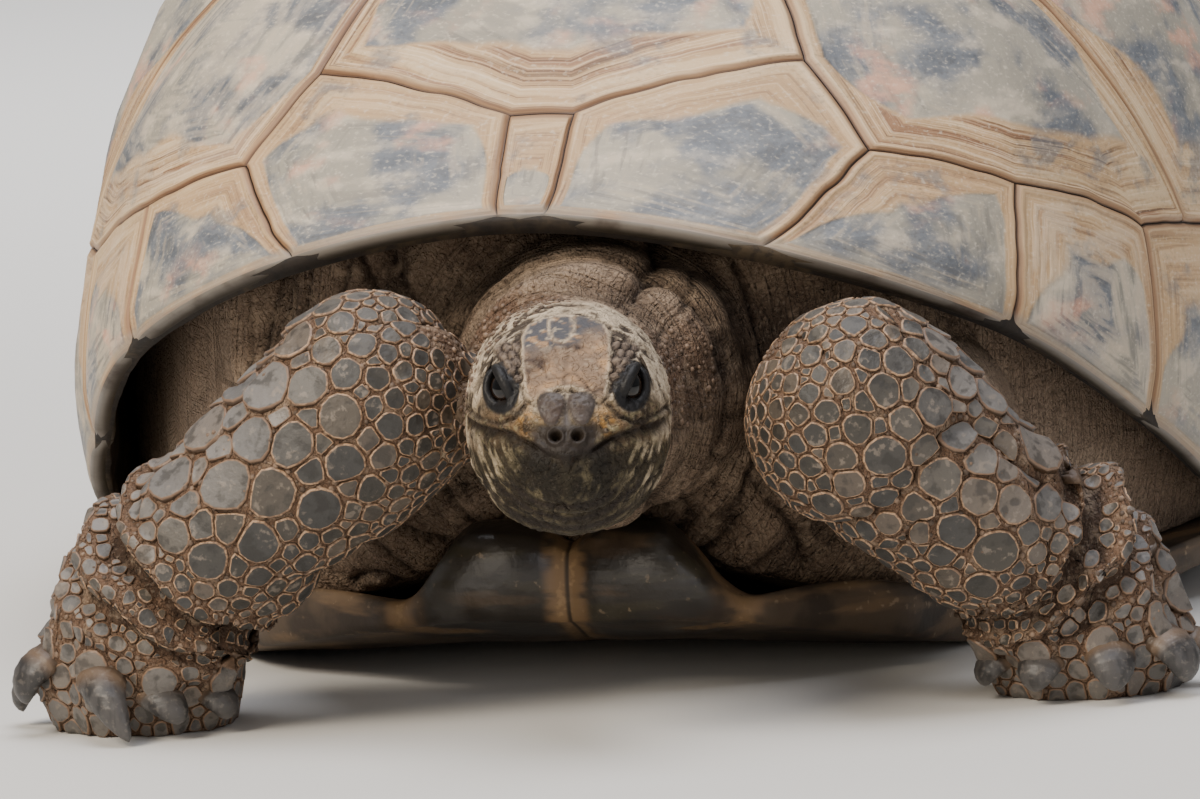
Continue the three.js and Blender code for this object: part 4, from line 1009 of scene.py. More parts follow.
@dataclass
class Limb:
    """A limb along a smooth line, oval across it.

    A surface place is a share u of the line and an angle: 90 degrees faces forward.
    """

    name: str
    line: tuple[tuple[float, ...], ...]
    across: tuple[float, ...]
    onward: tuple[float, ...]
    facing: tuple[float, ...]
    sole_from: float = 2.0
    dome: float = 0.0  # share of the line over which a rounded start opens out
    folds: tuple[tuple[float, float, float], ...] = ()  # share, depth and half width of each fold
    toes: tuple[float, ...] = ()  # turns of the toes from straight ahead
    toe_at: float = 0.9
    toe_size: float = 0.0
    grain: float = 3.4

    def __post_init__(self) -> None:
        """Works out the stations of the line and the ways across it."""
        points = np.array(self.line, float)
        dense = self.curve(points)
        lengths = np.concatenate([[0], np.cumsum(np.linalg.norm(np.diff(dense, axis=0), axis=1))])
        self.length = float(lengths[-1])
        self.table = np.linspace(0, 1, 601)
        gone = self.table * self.length
        self.centres = np.stack([np.interp(gone, lengths, dense[:, k]) for k in range(3)], -1)
        tangent = unit(np.gradient(self.centres, axis=0))
        ease = smooth(self.sole_from, 1.0, self.table)[:, None] if self.sole_from < 1 else 0.0
        normal = unit(tangent + (np.array([0, 0, -1.0]) - tangent) * ease)
        face = unit(np.array(self.facing, float))
        self.forward = unit(face - normal * (normal @ face)[:, None])
        self.sideways = np.cross(self.forward, normal)
        self.onward_at, self.across_at = spline(self.onward), spline(self.across)

    @staticmethod
    def curve(points: Array) -> Array:
        """Dense points of the centripetal curve through some points.

        Args:
            points: the points, shape (n, 3).

        Returns:
            Places close together, shape (m, 3).
        """
        ends = [2 * points[0] - points[1], *points, 2 * points[-1] - points[-2]]
        out: list[Array] = []
        for p0, p1, p2, p3 in zip(ends, ends[1:], ends[2:], ends[3:]):
            d0, d1, d2 = (np.linalg.norm(b - a) ** 0.5 for a, b in ((p0, p1), (p1, p2), (p2, p3)))
            m0 = ((p1 - p0) / d0 - (p2 - p0) / (d0 + d1) + (p2 - p1) / d1) * d1
            m1 = ((p2 - p1) / d1 - (p3 - p1) / (d1 + d2) + (p3 - p2) / d2) * d1
            t = np.linspace(0, 1, 60, endpoint=False)[:, None]
            out.append(path(p1, p2, m0, m1, t))
        return np.vstack([*out, points[-1:]])

    def point(self, u: Array, angle: Array) -> Array:
        """Points of the surface with its folds and toes, at angles in radians.

        Args:
            u: shares of the limb's line.
            angle: angles, 90 degrees forward.

        Returns:
            Places, shape (..., 3).
        """
        centre, sideways, forward = (
            np.stack([np.interp(np.clip(u, 0, 1), self.table, source[:, k]) for k in range(3)], -1)
            for source in (self.centres, self.sideways, self.forward)
        )
        extra = np.zeros(np.broadcast(u, angle).shape)
        sway = self.sway(angle)
        for share, depth, width in self.folds:
            extra = extra - depth * np.exp(-np.abs((u + sway - share) / width) ** 1.5)
            extra = extra + depth * 0.35 * bump(u + sway, share + 2.3 * width, 1.3 * width)
            extra = extra + depth * 0.2 * bump(u + sway, share - 2.3 * width, 1.3 * width)
        extra = extra + self.toe_size * self.toe_share(angle) * bump(u, self.toe_at, 0.1)
        opening = np.ones_like(extra)
        if self.dome:
            opening = np.sqrt(np.clip(1 - (1 - np.minimum(u / self.dome, 1.0)) ** 2, 0, 1))
        a = self.across_at(u) * opening + extra
        b = self.onward_at(u) * opening + extra
        return centre + sideways * (a * np.cos(angle))[..., None] + forward * (b * np.sin(angle))[..., None]

    @staticmethod
    def sway(angle: Array) -> Array:
        """How far the folds wander along the limb as they go round it, as a share of the line."""
        return 0.012 * np.sin(2 * angle + 1.0) + 0.007 * np.sin(5 * angle)

    def toe_share(self, angle: Array) -> Array:
        """1 along the middle of each toe and 0 between two toes."""
        lobes = [bump((np.degrees(angle) - (90 - turn) + 180) % 360 - 180, 0, 13) for turn in self.toes]
        return np.max(lobes, axis=0) if lobes else np.zeros_like(angle)

    def downward(self, u: Array) -> Array:
        """Ways that the limb's surface runs towards its end, at shares of the line.

        Args:
            u: shares of the limb's line.

        Returns:
            Change of place with the share, shape (n, 3).
        """
        before, after = np.clip(u - 0.006, 0, 1), np.clip(u + 0.006, 0, 1)
        angle = np.zeros(len(u))
        return (self.point(after, angle) - self.point(before, angle)) / (after - before)[:, None]

    def add_to(self, builder: MeshBuilder) -> None:
        """Adds the limb as one closed body.

        Args:
            builder: the mesh that takes it.
        """
        rows = max(int(self.length / self.grain), 8)
        columns = int(math.pi * (max(self.across) + max(self.onward)) / self.grain)
        u = np.linspace(0.004 if self.dome else 0.0, 1.0, rows)[:, None] ** (1.25 if self.dome else 1.0)
        points = self.point(*np.broadcast_arrays(u, turns(columns)))
        builder.barrels(points, points[0].mean(0), points[-1].mean(0))


def foreleg(side: Side) -> Limb:
    """The foreleg from the domed elbow to the sole.

    Args:
        side: side of the animal.

    Returns:
        The limb.
    """
    lines = {
        Side.RIGHT: (
            (-27, -576, 214), (-70, -568, 178), (-130, -574, 127), (-186, -562, 78), (-207, -548, 38),
            (-210, -542, 0),
        ),
        Side.LEFT: (
            (147, -556, 202), (186, -546, 166), (236, -522, 118), (281, -486, 72), (294, -466, 34),
            (296, -460, 0),
        ),
    }
    return Limb(
        name=f"foreleg_{side.label}",
        line=lines[side],
        across=(51, 56, 61, 59, 56, 55, 57, 59, 57, 55, 49),
        onward=(49, 54, 59, 57, 54, 53, 54, 55, 53, 51, 45),
        facing={Side.RIGHT: (-0.3, -1, 0.1), Side.LEFT: (0.35, -1, 0.1)}[side],
        sole_from=0.72,
        dome=0.13,
        folds=((0.595, 6.0, 0.014), (0.66, 16.0, 0.021), (0.735, 14.0, 0.019), (0.79, 6.0, 0.014)),
        toes=(-72, -36, 0, 36, 72),
        toe_size=9.5,
    )


def upper_arm(side: Side) -> Limb:
    """The upper arm from inside the shell to the elbow.

    Args:
        side: side of the animal.

    Returns:
        The limb.
    """
    lines = {
        Side.RIGHT: ((-156, -330, 142), (-120, -440, 150), (-84, -556, 174)),
        Side.LEFT: ((196, -330, 128), (192, -430, 136), (190, -536, 160)),
    }
    return Limb(f"upper_arm_{side.label}", lines[side], (50, 54, 50), (55, 54, 48), (0, 0, 1), grain=6)


def thigh(side: Side) -> Limb:
    """The thigh, folded under the shell.

    Args:
        side: side of the animal.

    Returns:
        The limb.
    """
    s = side.value
    line = ((s * 118, 300, 88), (s * 160, 344, 86), (s * 198, 384, 84))
    return Limb(f"thigh_{side.label}", line, (50, 52, 50), (46, 46, 42), (0, 0, 1), grain=6)


def hind_leg(side: Side) -> Limb:
    """The hind leg from the knee to the sole.

    Args:
        side: side of the animal.

    Returns:
        The limb.
    """
    s = side.value
    return Limb(
        name=f"hind_leg_{side.label}",
        line=((s * 186, 370, 98), (s * 204, 392, 82), (s * 224, 418, 48), (s * 232, 430, 0)),
        across=(44, 50, 54, 55, 57, 60, 56),
        onward=(38, 44, 48, 50, 54, 57, 53),
        facing=(s * 0.5, 1, 0),
        sole_from=0.45,
        dome=0.22,
        folds=((0.5, 4.0, 0.03),),
        toes=(-48, -16, 16, 48),
        toe_size=5.5,
    )


def tail() -> Limb:
    """The short tapered tail."""
    line = ((0, 420, 78), (4, 470, 74), (18, 512, 50), (34, 538, 24))
    return Limb("tail", line, (38, 31, 22, 14, 5), (30, 25, 19, 12, 5), (0, 0, 1), grain=3)


# ---- head


@dataclass
class Head:
    """The head in its own frame (x to its left, y back, z up), with the chart of its features.

    The chart is the head's face seen from in front and a little above: (x, height).
    """

    at: tuple[float, float, float] = (48, -628, 181)
    pitch: float = 12.0
    roll: float = 1.5
    yaw: float = 10.0
    # y, half width, top, bottom and the level of the greatest width, from the neck to the snout
    sections: tuple[tuple[float, ...], ...] = (
        (62, 49, 38, -70, -16), (42, 53, 44, -75, -14), (20, 54.5, 46, -77, -12), (0, 54, 44, -74, -10),
        (-16, 51.5, 41, -68.5, -8), (-30, 47, 36.5, -62, -7), (-42, 41, 30, -55, -7),
        (-52, 34.5, 23, -50, -8), (-60, 28, 16, -44, -9), (-67, 21, 9.5, -38, -10),
        (-72, 14.5, 4, -32, -12), (-75.5, 7, -2, -24, -13),
    )
    upper_squareness: float = 2.25
    lower_squareness: float = 2.1
    eye_radius: float = 12.5
    eye_at: tuple[float, float, float] = (28.0, -26.0, 18.6)
    eye_facing: tuple[float, float, float] = (0.6, -0.74, 0.32)
    eye_long: float = 25.0
    eye_above: float = 3.8  # rise of the upper lid's edge over the line between the corners of the eye
    eye_below: float = 8.5
    eye_tilt: float = 44.0
    lid_radius: float = 15.7
    brow_step: float = 4.7  # spacing of the brow scales along the lid
    # the line of the mouth on the chart, from the corner to the tip of the beak
    mouth: tuple[tuple[float, float], ...] = (
        (53, -7), (46, -10.5), (36, -13), (27, -15.5), (19, -20), (12.5, -24.5), (6, -27.6), (0, -28.4),
    )
    columns: int = 258
    rows: int = 140

    def __post_init__(self) -> None:
        """Works out the turn of the head."""
        pitch, roll, yaw = (math.radians(value) for value in (self.pitch, self.roll, self.yaw))
        turn = Matrix.Rotation(yaw, 3, "Z") @ Matrix.Rotation(pitch, 3, "X") @ Matrix.Rotation(roll, 3, "Y")
        self.turn = np.array(turn)
        self.tracks = spline(self.sections)

    def to_body(self, points: Array) -> Array:
        """Places in the body's frame."""
        return points @ self.turn.T + np.array(self.at, float)

    def to_head(self, points: Array) -> Array:
        """Places in the head's own frame."""
        return (points - np.array(self.at, float)) @ self.turn

    @staticmethod
    def chart(points: Array) -> tuple[Array, Array]:
        """Places on the chart: x and height."""
        return points[..., 0], points[..., 2] * 0.946 + points[..., 1] * 0.326

    def surface(self, share: Array, angle: Array) -> Array:
        """Points of the plain head at shares of its length and angles in radians.

        Args:
            share: 0 at the neck and 1 at the snout.
            angle: angles round it.

        Returns:
            Places, shape (..., 3).
        """
        section = self.tracks(share)
        y, wide, top, low, level = (section[..., k] for k in range(5))
        c, s = np.cos(angle), np.sin(angle)
        power = 2 / np.where(s > 0, self.upper_squareness, self.lower_squareness)
        height = np.where(s > 0, top - level, level - low)
        x = np.sign(c) * np.abs(c) ** power * wide
        return np.stack([x, y, level + np.sign(s) * np.abs(s) ** power * height], -1)

    def mouth_distance(self, x: Array, h: Array) -> tuple[Array, Array]:
        """Distance to the line of the mouth on the chart, and height above it."""
        line = np.array(self.mouth[::-1], float)
        return line_distance(x, h, self.mouth), h - np.interp(np.abs(x), line[:, 0], line[:, 1])

    @staticmethod
    def shield_edge(x: Array, h: Array) -> Array:
        """Distance inside the edge of the shield of the forehead, negative outside it.

        Args:
            x: distance from the middle, positive to the left.
            h: height on the chart.

        Returns:
            Distances in millimetres.
        """
        half = np.interp(h, [-2, 4, 10, 24, 36, 42, 46, 48.5], [13, 20.5, 22, 23.5, 23.5, 20.5, 12, 0])
        floor = np.interp(np.abs(x), [0, 4, 9, 14, 18, 22], [8.6, 8.8, 6.6, 3.4, 1.8, 3.4])
        return np.minimum(half - np.abs(x), np.minimum(48 - h, h - floor))

    @staticmethod
    def nasal_field(x: Array, h: Array) -> Array:
        """1 in the middle of each rounded plate of the nose, 0 at its edge and outside."""
        across = (np.abs(x) - 7.9) / (7.7 - 3.0 * smooth(3, -10, h))
        return np.clip(1 - np.abs(across) ** 3 - np.abs((h + 1.6) / 9.0) ** 3, 0, 1)

    def brow_places(self) -> Array:
        """Chart places of the brow scales over the left upper lid.

        Returns:
            Places on the chart, shape (n, 2).
        """
        along, up = np.meshgrid(np.arange(6) * self.brow_step - 1.5, np.arange(3) * 4.3 + 4.6)
        along = along + np.array([[0.0], [0.5], [0.0]]) * self.brow_step
        x = 27.2 + 0.59 * along - 0.81 * up
        h = 9.7 + 0.81 * along + 0.59 * up
        places = np.stack([x.ravel(), h.ravel()], -1)
        places += 0.5 * (cell_random(np.round(places[:, [0, 1, 0]] * 3), 5)[:, None] - 0.5)
        return places[(places[:, 0] > 25.2) & (places[:, 1] < 35)]

    def brow_field(self, x: Array, h: Array) -> tuple[Array, Array]:
        """Where the brow scales lie over the upper lid, and 1 in the middle of each of them.

        Args:
            x: distance from the middle, positive to the left.
            h: height on the chart.

        Returns:
            Two sets of values from 0 to 1.
        """
        nearest = np.full(x.shape, 1e9)
        for place in self.brow_places():
            nearest = np.minimum(nearest, np.hypot(np.abs(x) - place[0], h - place[1]))
        return smooth(3.6, 2.6, nearest), smooth(2.5, 1.7, nearest)

    def relief(self, points: Array) -> Array:
        """How far the surface stands out from the plain head.

        Args:
            points: places in the head's frame, shape (n, 3).

        Returns:
            Heights in millimetres, shape (n,).
        """
        x, h = self.chart(points)
        front = smooth(32, 6, points[:, 1])
        face = smooth(-20, -46, points[:, 1])
        edge = self.shield_edge(x, h)
        out = 0.9 * smooth(-0.8, 1.0, edge) * smooth(14, 2, edge) * front
        out -= 0.9 * bump(edge, -1.6, 1.1) * front
        inside = smooth(0, 2, edge) * front
        out += inside * (-0.7 * bump(x + 0.8 * noise(points, 12, 3), 0, 0.9) * smooth(31, 24, h))
        cell = np.sqrt(((x + 0.5) / 5.6) ** 2 + ((h - 36) / 9.0) ** 2)
        out += inside * (0.5 * bump(cell, 1.0, 0.14) - 0.5 * bump(cell, 1.25, 0.1))
        out -= inside * 0.45 * crease(points, 17, 61, 0.06, 2)
        nasal = self.nasal_field(x, h)
        out += face * (2.3 * np.sqrt(nasal) * smooth(0, 0.2, nasal) - 1.2 * bump(x, 0, 0.8) * bump(h, -2, 9))
        out -= face * 6.0 * np.exp(-(((np.abs(x) - 5.7) / 2.4) ** 2 + ((h + 16.2) / 2.0) ** 2) ** 2)
        out += face * 1.1 * bump(np.hypot(np.abs(x) - 5.7, h + 16.2), 4.0, 1.2)
        distance, above = self.mouth_distance(x, h)
        ragged = np.clip(0.65 + 0.9 * noise(points, 9, 63, 2), 0.15, 1.2)
        gape = smooth(-2, -12, points[:, 1]) * smooth(-46, -40, points[:, 2])
        out += gape * (1.2 * bump(above, 3.4, 2.6) * ragged - 2.8 * bump(distance, 0, 1.1) * ragged)
        out += gape * (1.1 * bump(above, -6.0, 4.0) - 1.3 * bump(above, -2.6, 2.2))
        out += face * 1.5 * bump(x, 0, 7) * bump(h, -25, 4.5)
        brow, scale = self.brow_field(x, h)
        lids = smooth(8, -6, points[:, 1])
        out += lids * brow * (1.9 * scale - 1.1)
        out += 1.4 * bump(np.abs(x), 30, 10) * bump(h, -9.5, 5.5) * face
        cheek = bump(h, -8, 9) * smooth(20, 32, np.abs(x)) * face
        out -= 1.2 * crease(points * [0.6, 1, 1.3], 12, 65, 0.08, 2) * cheek
        low = smooth(-36, -48, h)
        bow = np.hypot(x, (h + 12) * 0.98) + 1.9 * noise(points, 26, 67, 2)
        for reach, depth in ((41.0, 1.6), (46.5, 2.8), (52.0, 2.3), (57.5, 2.6)):
            out -= low * depth * 1.2 * np.exp(-np.abs(bow - reach) / 1.5)
            out += low * depth * 0.5 * bump(bow, reach + 2.6, 2.2)
        throat = smooth(-20, -34, h)
        out -= throat * 1.2 * crease(points * [1, 1, 0.55], 13, 71, 0.06, 2)
        out -= throat * 0.6 * crease(points, 6.5, 72, 0.08, 2)
        cheek = smooth(34, 42, np.abs(x)) * smooth(6, -10, h)
        out -= cheek * 1.3 * crease(points * [1, 0.6, 1], 13, 73, 0.07, 2)
        behind = smooth(20, 46, points[:, 1])
        out -= behind * 1.8 * crease(points * [0.5, 1.6, 0.5], 17, 79, 0.1, 2)
        pebbles = noise(points, 4.0, 83) * smooth(0.5, -2.5, edge)
        out += 0.5 * pebbles + 0.35 * noise(points, 14, 89, 2)
        out -= 0.7 * smooth(0.05, 0.3, self.dashes(points)) * smooth(0.4, -0.6, edge) * smooth(-14, 4, h)
        lip = smooth(12, 22, np.abs(x)) * smooth(-2, -8, h)
        out -= face * 1.1 * crease(points * [0.7, 1, 1.6], 9, 91, 0.1, 2) * lip
        under = line_distance(x, h, ((22, 0), (27, -6), (35, -9.5), (46, -6), (54, -1)))
        out -= 2.2 * np.exp(-((under / 1.5) ** 2)) * smooth(14, 2, points[:, 1])
        return out

    def dashes(self, points: Array) -> Array:
        """Field of short dashes that run round the outline of the head.

        Args:
            points: places in the head's frame, shape (n, 3).

        Returns:
            Values from about -1 to 1.
        """
        x, h = self.chart(points)
        turn = np.arctan2(h, x)
        return noise(np.column_stack([np.hypot(x, h) * 1.5, turn * 20, points[:, 1] * 0.6]), 3.6, 235, 2)

    def with_lids(self, points: Array) -> Array:
        """Swells the plain head over each eyeball and opens it where the eyeball shows.

        Args:
            points: places of the plain head.

        Returns:
            The new places.
        """
        for side in Side:
            centre, long, short, gaze = self.eye_frame(side)
            away = points - centre
            far = np.linalg.norm(away, axis=-1)
            ahead = smooth(-2.0, 3.0, away @ gaze)
            rounded = np.log(np.exp(far / 1.2) + np.exp(self.lid_radius / 1.2)) * 1.2
            t = np.clip((away @ long) / (self.eye_long / 2), -1, 1)
            span = 1 - np.abs(t) ** 2.2
            inside = np.minimum(self.eye_above * span - away @ short, away @ short + self.eye_below * span)
            rounded = mix(rounded, 9.5, smooth(-0.2, 0.9, inside))
            reach = mix(far, rounded, ahead * (far < self.lid_radius + 4))
            points = centre + away * (reach / np.maximum(far, 1e-6))[..., None]
        return points

    def build_core(self) -> Piece:
        """Makes the head's closed body, ready to be joined to the neck.

        Returns:
            The piece, with no finish.
        """
        share = np.linspace(0, 1, self.rows)
        share = (0.62 * share + 0.38 * share**0.62)[:, None]
        share, angle = np.broadcast_arrays(share, turns(self.columns))
        base = self.with_lids(self.surface(share, angle))
        along = np.gradient(base, axis=0)
        around = np.roll(base, -1, axis=1) - np.roll(base, 1, axis=1)
        normal = unit(np.cross(along, around))
        heart = np.array([0, 20, -20.0])
        if float(np.mean(np.sum(normal * (base - heart), -1))) < 0:
            normal = -normal
        tip = smooth(0.965, 1.0, share)[..., None]
        normal = unit(normal * (1 - tip) + np.array([0, -1.0, 0]) * tip)
        flat = base.reshape(-1, 3)
        out = self.relief(flat) * smooth(62, 50, flat[:, 1])
        points = base + normal * out.reshape(share.shape)[..., None]
        builder = MeshBuilder()
        back = points[0].mean(0) + (points[0] - points[0].mean(0)) * 0.93 + np.array([0, 13.0, 0])
        nose = points[-1].mean(0) + np.array([0, -0.8, 0])
        rows = self.to_body(np.concatenate([back[None], points]))
        builder.barrels(rows, self.to_body(back.mean(0)), self.to_body(nose))
        return builder.piece("head_core")

    # ---- eyes and lids

    def eye_frame(self, side: Side) -> tuple[Array, Array, Array, Array]:
        """Centre of an eye, the long and short ways across its opening, and its gaze.

        Args:
            side: side of the animal.

        Returns:
            The centre and three directions.
        """
        mirror = np.array([side.value, 1, 1])
        centre, gaze = np.array(self.eye_at) * mirror, unit(np.array(self.eye_facing) * mirror)
        level = unit(np.cross(np.array([0, 0, 1.0]), gaze)) * side.value
        lift = unit(np.cross(gaze, level)) * side.value
        tilt = math.radians(self.eye_tilt)
        long = level * math.cos(tilt) + lift * math.sin(tilt)
        short = -level * math.sin(tilt) + lift * math.cos(tilt)
        return centre, long, short, gaze

    def lid_line(self, side: Side, grow: float, rise: float, upper: bool, count: int = 33) -> Array:
        """Points along one lid, from the inner corner of the eye to the outer one.

        Args:
            side: side of the animal.
            grow: distance outside the eye's opening.
            rise: distance off the eyeball.
            upper: whether it is the upper lid.
            count: number of points.

        Returns:
            Places in the head's frame.
        """
        centre, long, short, gaze = self.eye_frame(side)
        t = np.linspace(-1, 1, count)
        a = t * (self.eye_long / 2 + grow)
        b = (1 - np.abs(t) ** 2.2) * (self.eye_above + grow if upper else -self.eye_below - grow)
        depth = np.sqrt(np.maximum((self.eye_radius + rise) ** 2 - a**2 - b**2, 9.0))
        return centre + a[:, None] * long + b[:, None] * short + depth[:, None] * gaze

    def add_tube(self, builder: MeshBuilder, line: Array, radius: Array, sides: int = 12) -> None:
        """Adds a closed round rope along a line in the head's frame.

        Args:
            builder: the mesh that takes it.
            line: points along its middle.
            radius: radius at each of them.
            sides: corners round it.
        """
        tangent = unit(np.gradient(line, axis=0))
        first = unit(np.cross(tangent, np.array([0.31, 0.2, 0.93])))
        second = np.cross(tangent, first)
        c, s = (wave(turns(sides))[:, None] for wave in (np.cos, np.sin))
        ring = first[:, None] * c + second[:, None] * s
        points = line[:, None] + ring * radius[:, None, None]
        builder.barrels(*(self.to_body(part) for part in (points, line[0], line[-1])))

    def build_lids(self, side: Side) -> list[Piece]:
        """Makes the thick upper lid, the lower lid and the folds under it.

        Args:
            side: side of the animal.

        Returns:
            The pieces, with no finish.
        """
        t = np.linspace(-1, 1, 33)
        swell = np.sqrt(np.clip(1 - np.abs(t) ** 3.5, 0.02, 1))
        ropes = (
            ("upper_lid", 1.4, 2.0, True, 3.1), ("lower_lid", 0.6, 1.6, False, 2.2),
            ("under_fold", 4.4, 2.6, False, 1.9), ("outer_fold", 7.8, 2.6, False, 1.6),
        )
        made: list[Piece] = []
        for name, grow, rise, upper, radius in ropes:
            builder = MeshBuilder()
            self.add_tube(builder, self.lid_line(side, grow, rise, upper), radius * swell)
            made.append(builder.piece(f"{name}_{side.label}"))
        return made

    def build_eye(self, side: Side, material: Material) -> Piece:
        """Makes an eyeball with the bulge of its cornea.

        Args:
            side: side of the animal.
            material: its finish.

        Returns:
            The piece.
        """
        centre, long, short, gaze = self.eye_frame(side)
        rows, columns = 28, 48
        polar = np.linspace(0, math.pi, rows + 2)[1:-1][:, None]
        turn = turns(columns)[None, :]
        out = self.eye_radius - 0.5 + 0.9 * np.exp(-((polar / 0.62) ** 4))
        points = gaze * (np.cos(polar) * out)[..., None] * np.ones_like(turn)[..., None]
        points = points + long * (np.sin(polar) * np.cos(turn) * out)[..., None]
        points = points + short * (np.sin(polar) * np.sin(turn) * out)[..., None] + centre
        builder = MeshBuilder()
        ends = (centre + gaze * float(out[0, 0]), centre - gaze * float(out[-1, 0]))
        builder.barrels(*(self.to_body(part) for part in (points, *ends)), gaze=(np.cos(polar), 1, -1))
        return finished(builder.piece(f"eyeball_{side.label}", material), "eye", f"eye_{side.label}")


# ---- skin


def linear(code: str) -> Array:
    """Linear red, green and blue of an sRGB hex value."""
    values = np.array([int(code.lstrip("#")[k : k + 2], 16) for k in (0, 2, 4)]) / 255.0
    return np.where(values <= 0.04045, values / 12.92, ((values + 0.055) / 1.055) ** 2.4)


@dataclass(frozen=True)
class HidePalette:
    """Colours of the hide of the body and of the head."""

    body: str = "#8a7562"
    # painted shade laid in the folds and hollows of the hide
    body_dark: str = "#261a12"
    # pale tone of the hide, also used as painted top light where the hide faces up
    body_light: str = "#a8937c"
    groove: str = "#6a5240"
    shield: str = "#806a56"
    shield_dark: str = "#43342a"
    shield_edge: str = "#b68f66"
    crown: str = "#49484b"
    pale: str = "#c9b79d"
    fleck: str = "#2a2019"
    brow: str = "#64574c"
    nasal: str = "#4d4642"
    # dark brown of the beak, also painted shade in the mouth, the throat folds and the groove under the eye
    beak: str = "#211a15"
    cheek: str = "#63503a"
    jaw: str = "#2a2417"
    # dark olive of the jaw's patches, also painted shade under the beak, under the lip and in the throat
    # creases
    jaw_deep: str = "#171208"
    # pale mottle of the jaw, also the painted highlight on the upper lip
    jaw_light: str = "#807457"
    stain: str = "#a87a3a"
    lid: str = "#1b1a1a"


def limb_share(
    limbs: Sequence[Limb], points: Array, names: tuple[str, ...], far: float, fade: float = 10.0,
    start: int = 0, step: int = 24,
) -> Array:
    """Nearness to the lines of some limbs.

    Args:
        limbs: all the limbs.
        points: places in the body's frame.
        names: how the names of the chosen limbs begin.
        far: distance beyond which the value is 0.
        fade: width over which it rises to 1.
        start: first station of each line that counts.
        step: how many stations lie between two that are looked at.

    Returns:
        Values from 0 to 1.
    """
    nearest = np.full(len(points), 1e9)
    for limb in limbs:
        if limb.name.startswith(names):
            for centre in limb.centres[start::step]:
                nearest = np.minimum(nearest, np.linalg.norm(points - centre, axis=1))
    return smooth(far, far - fade, nearest)


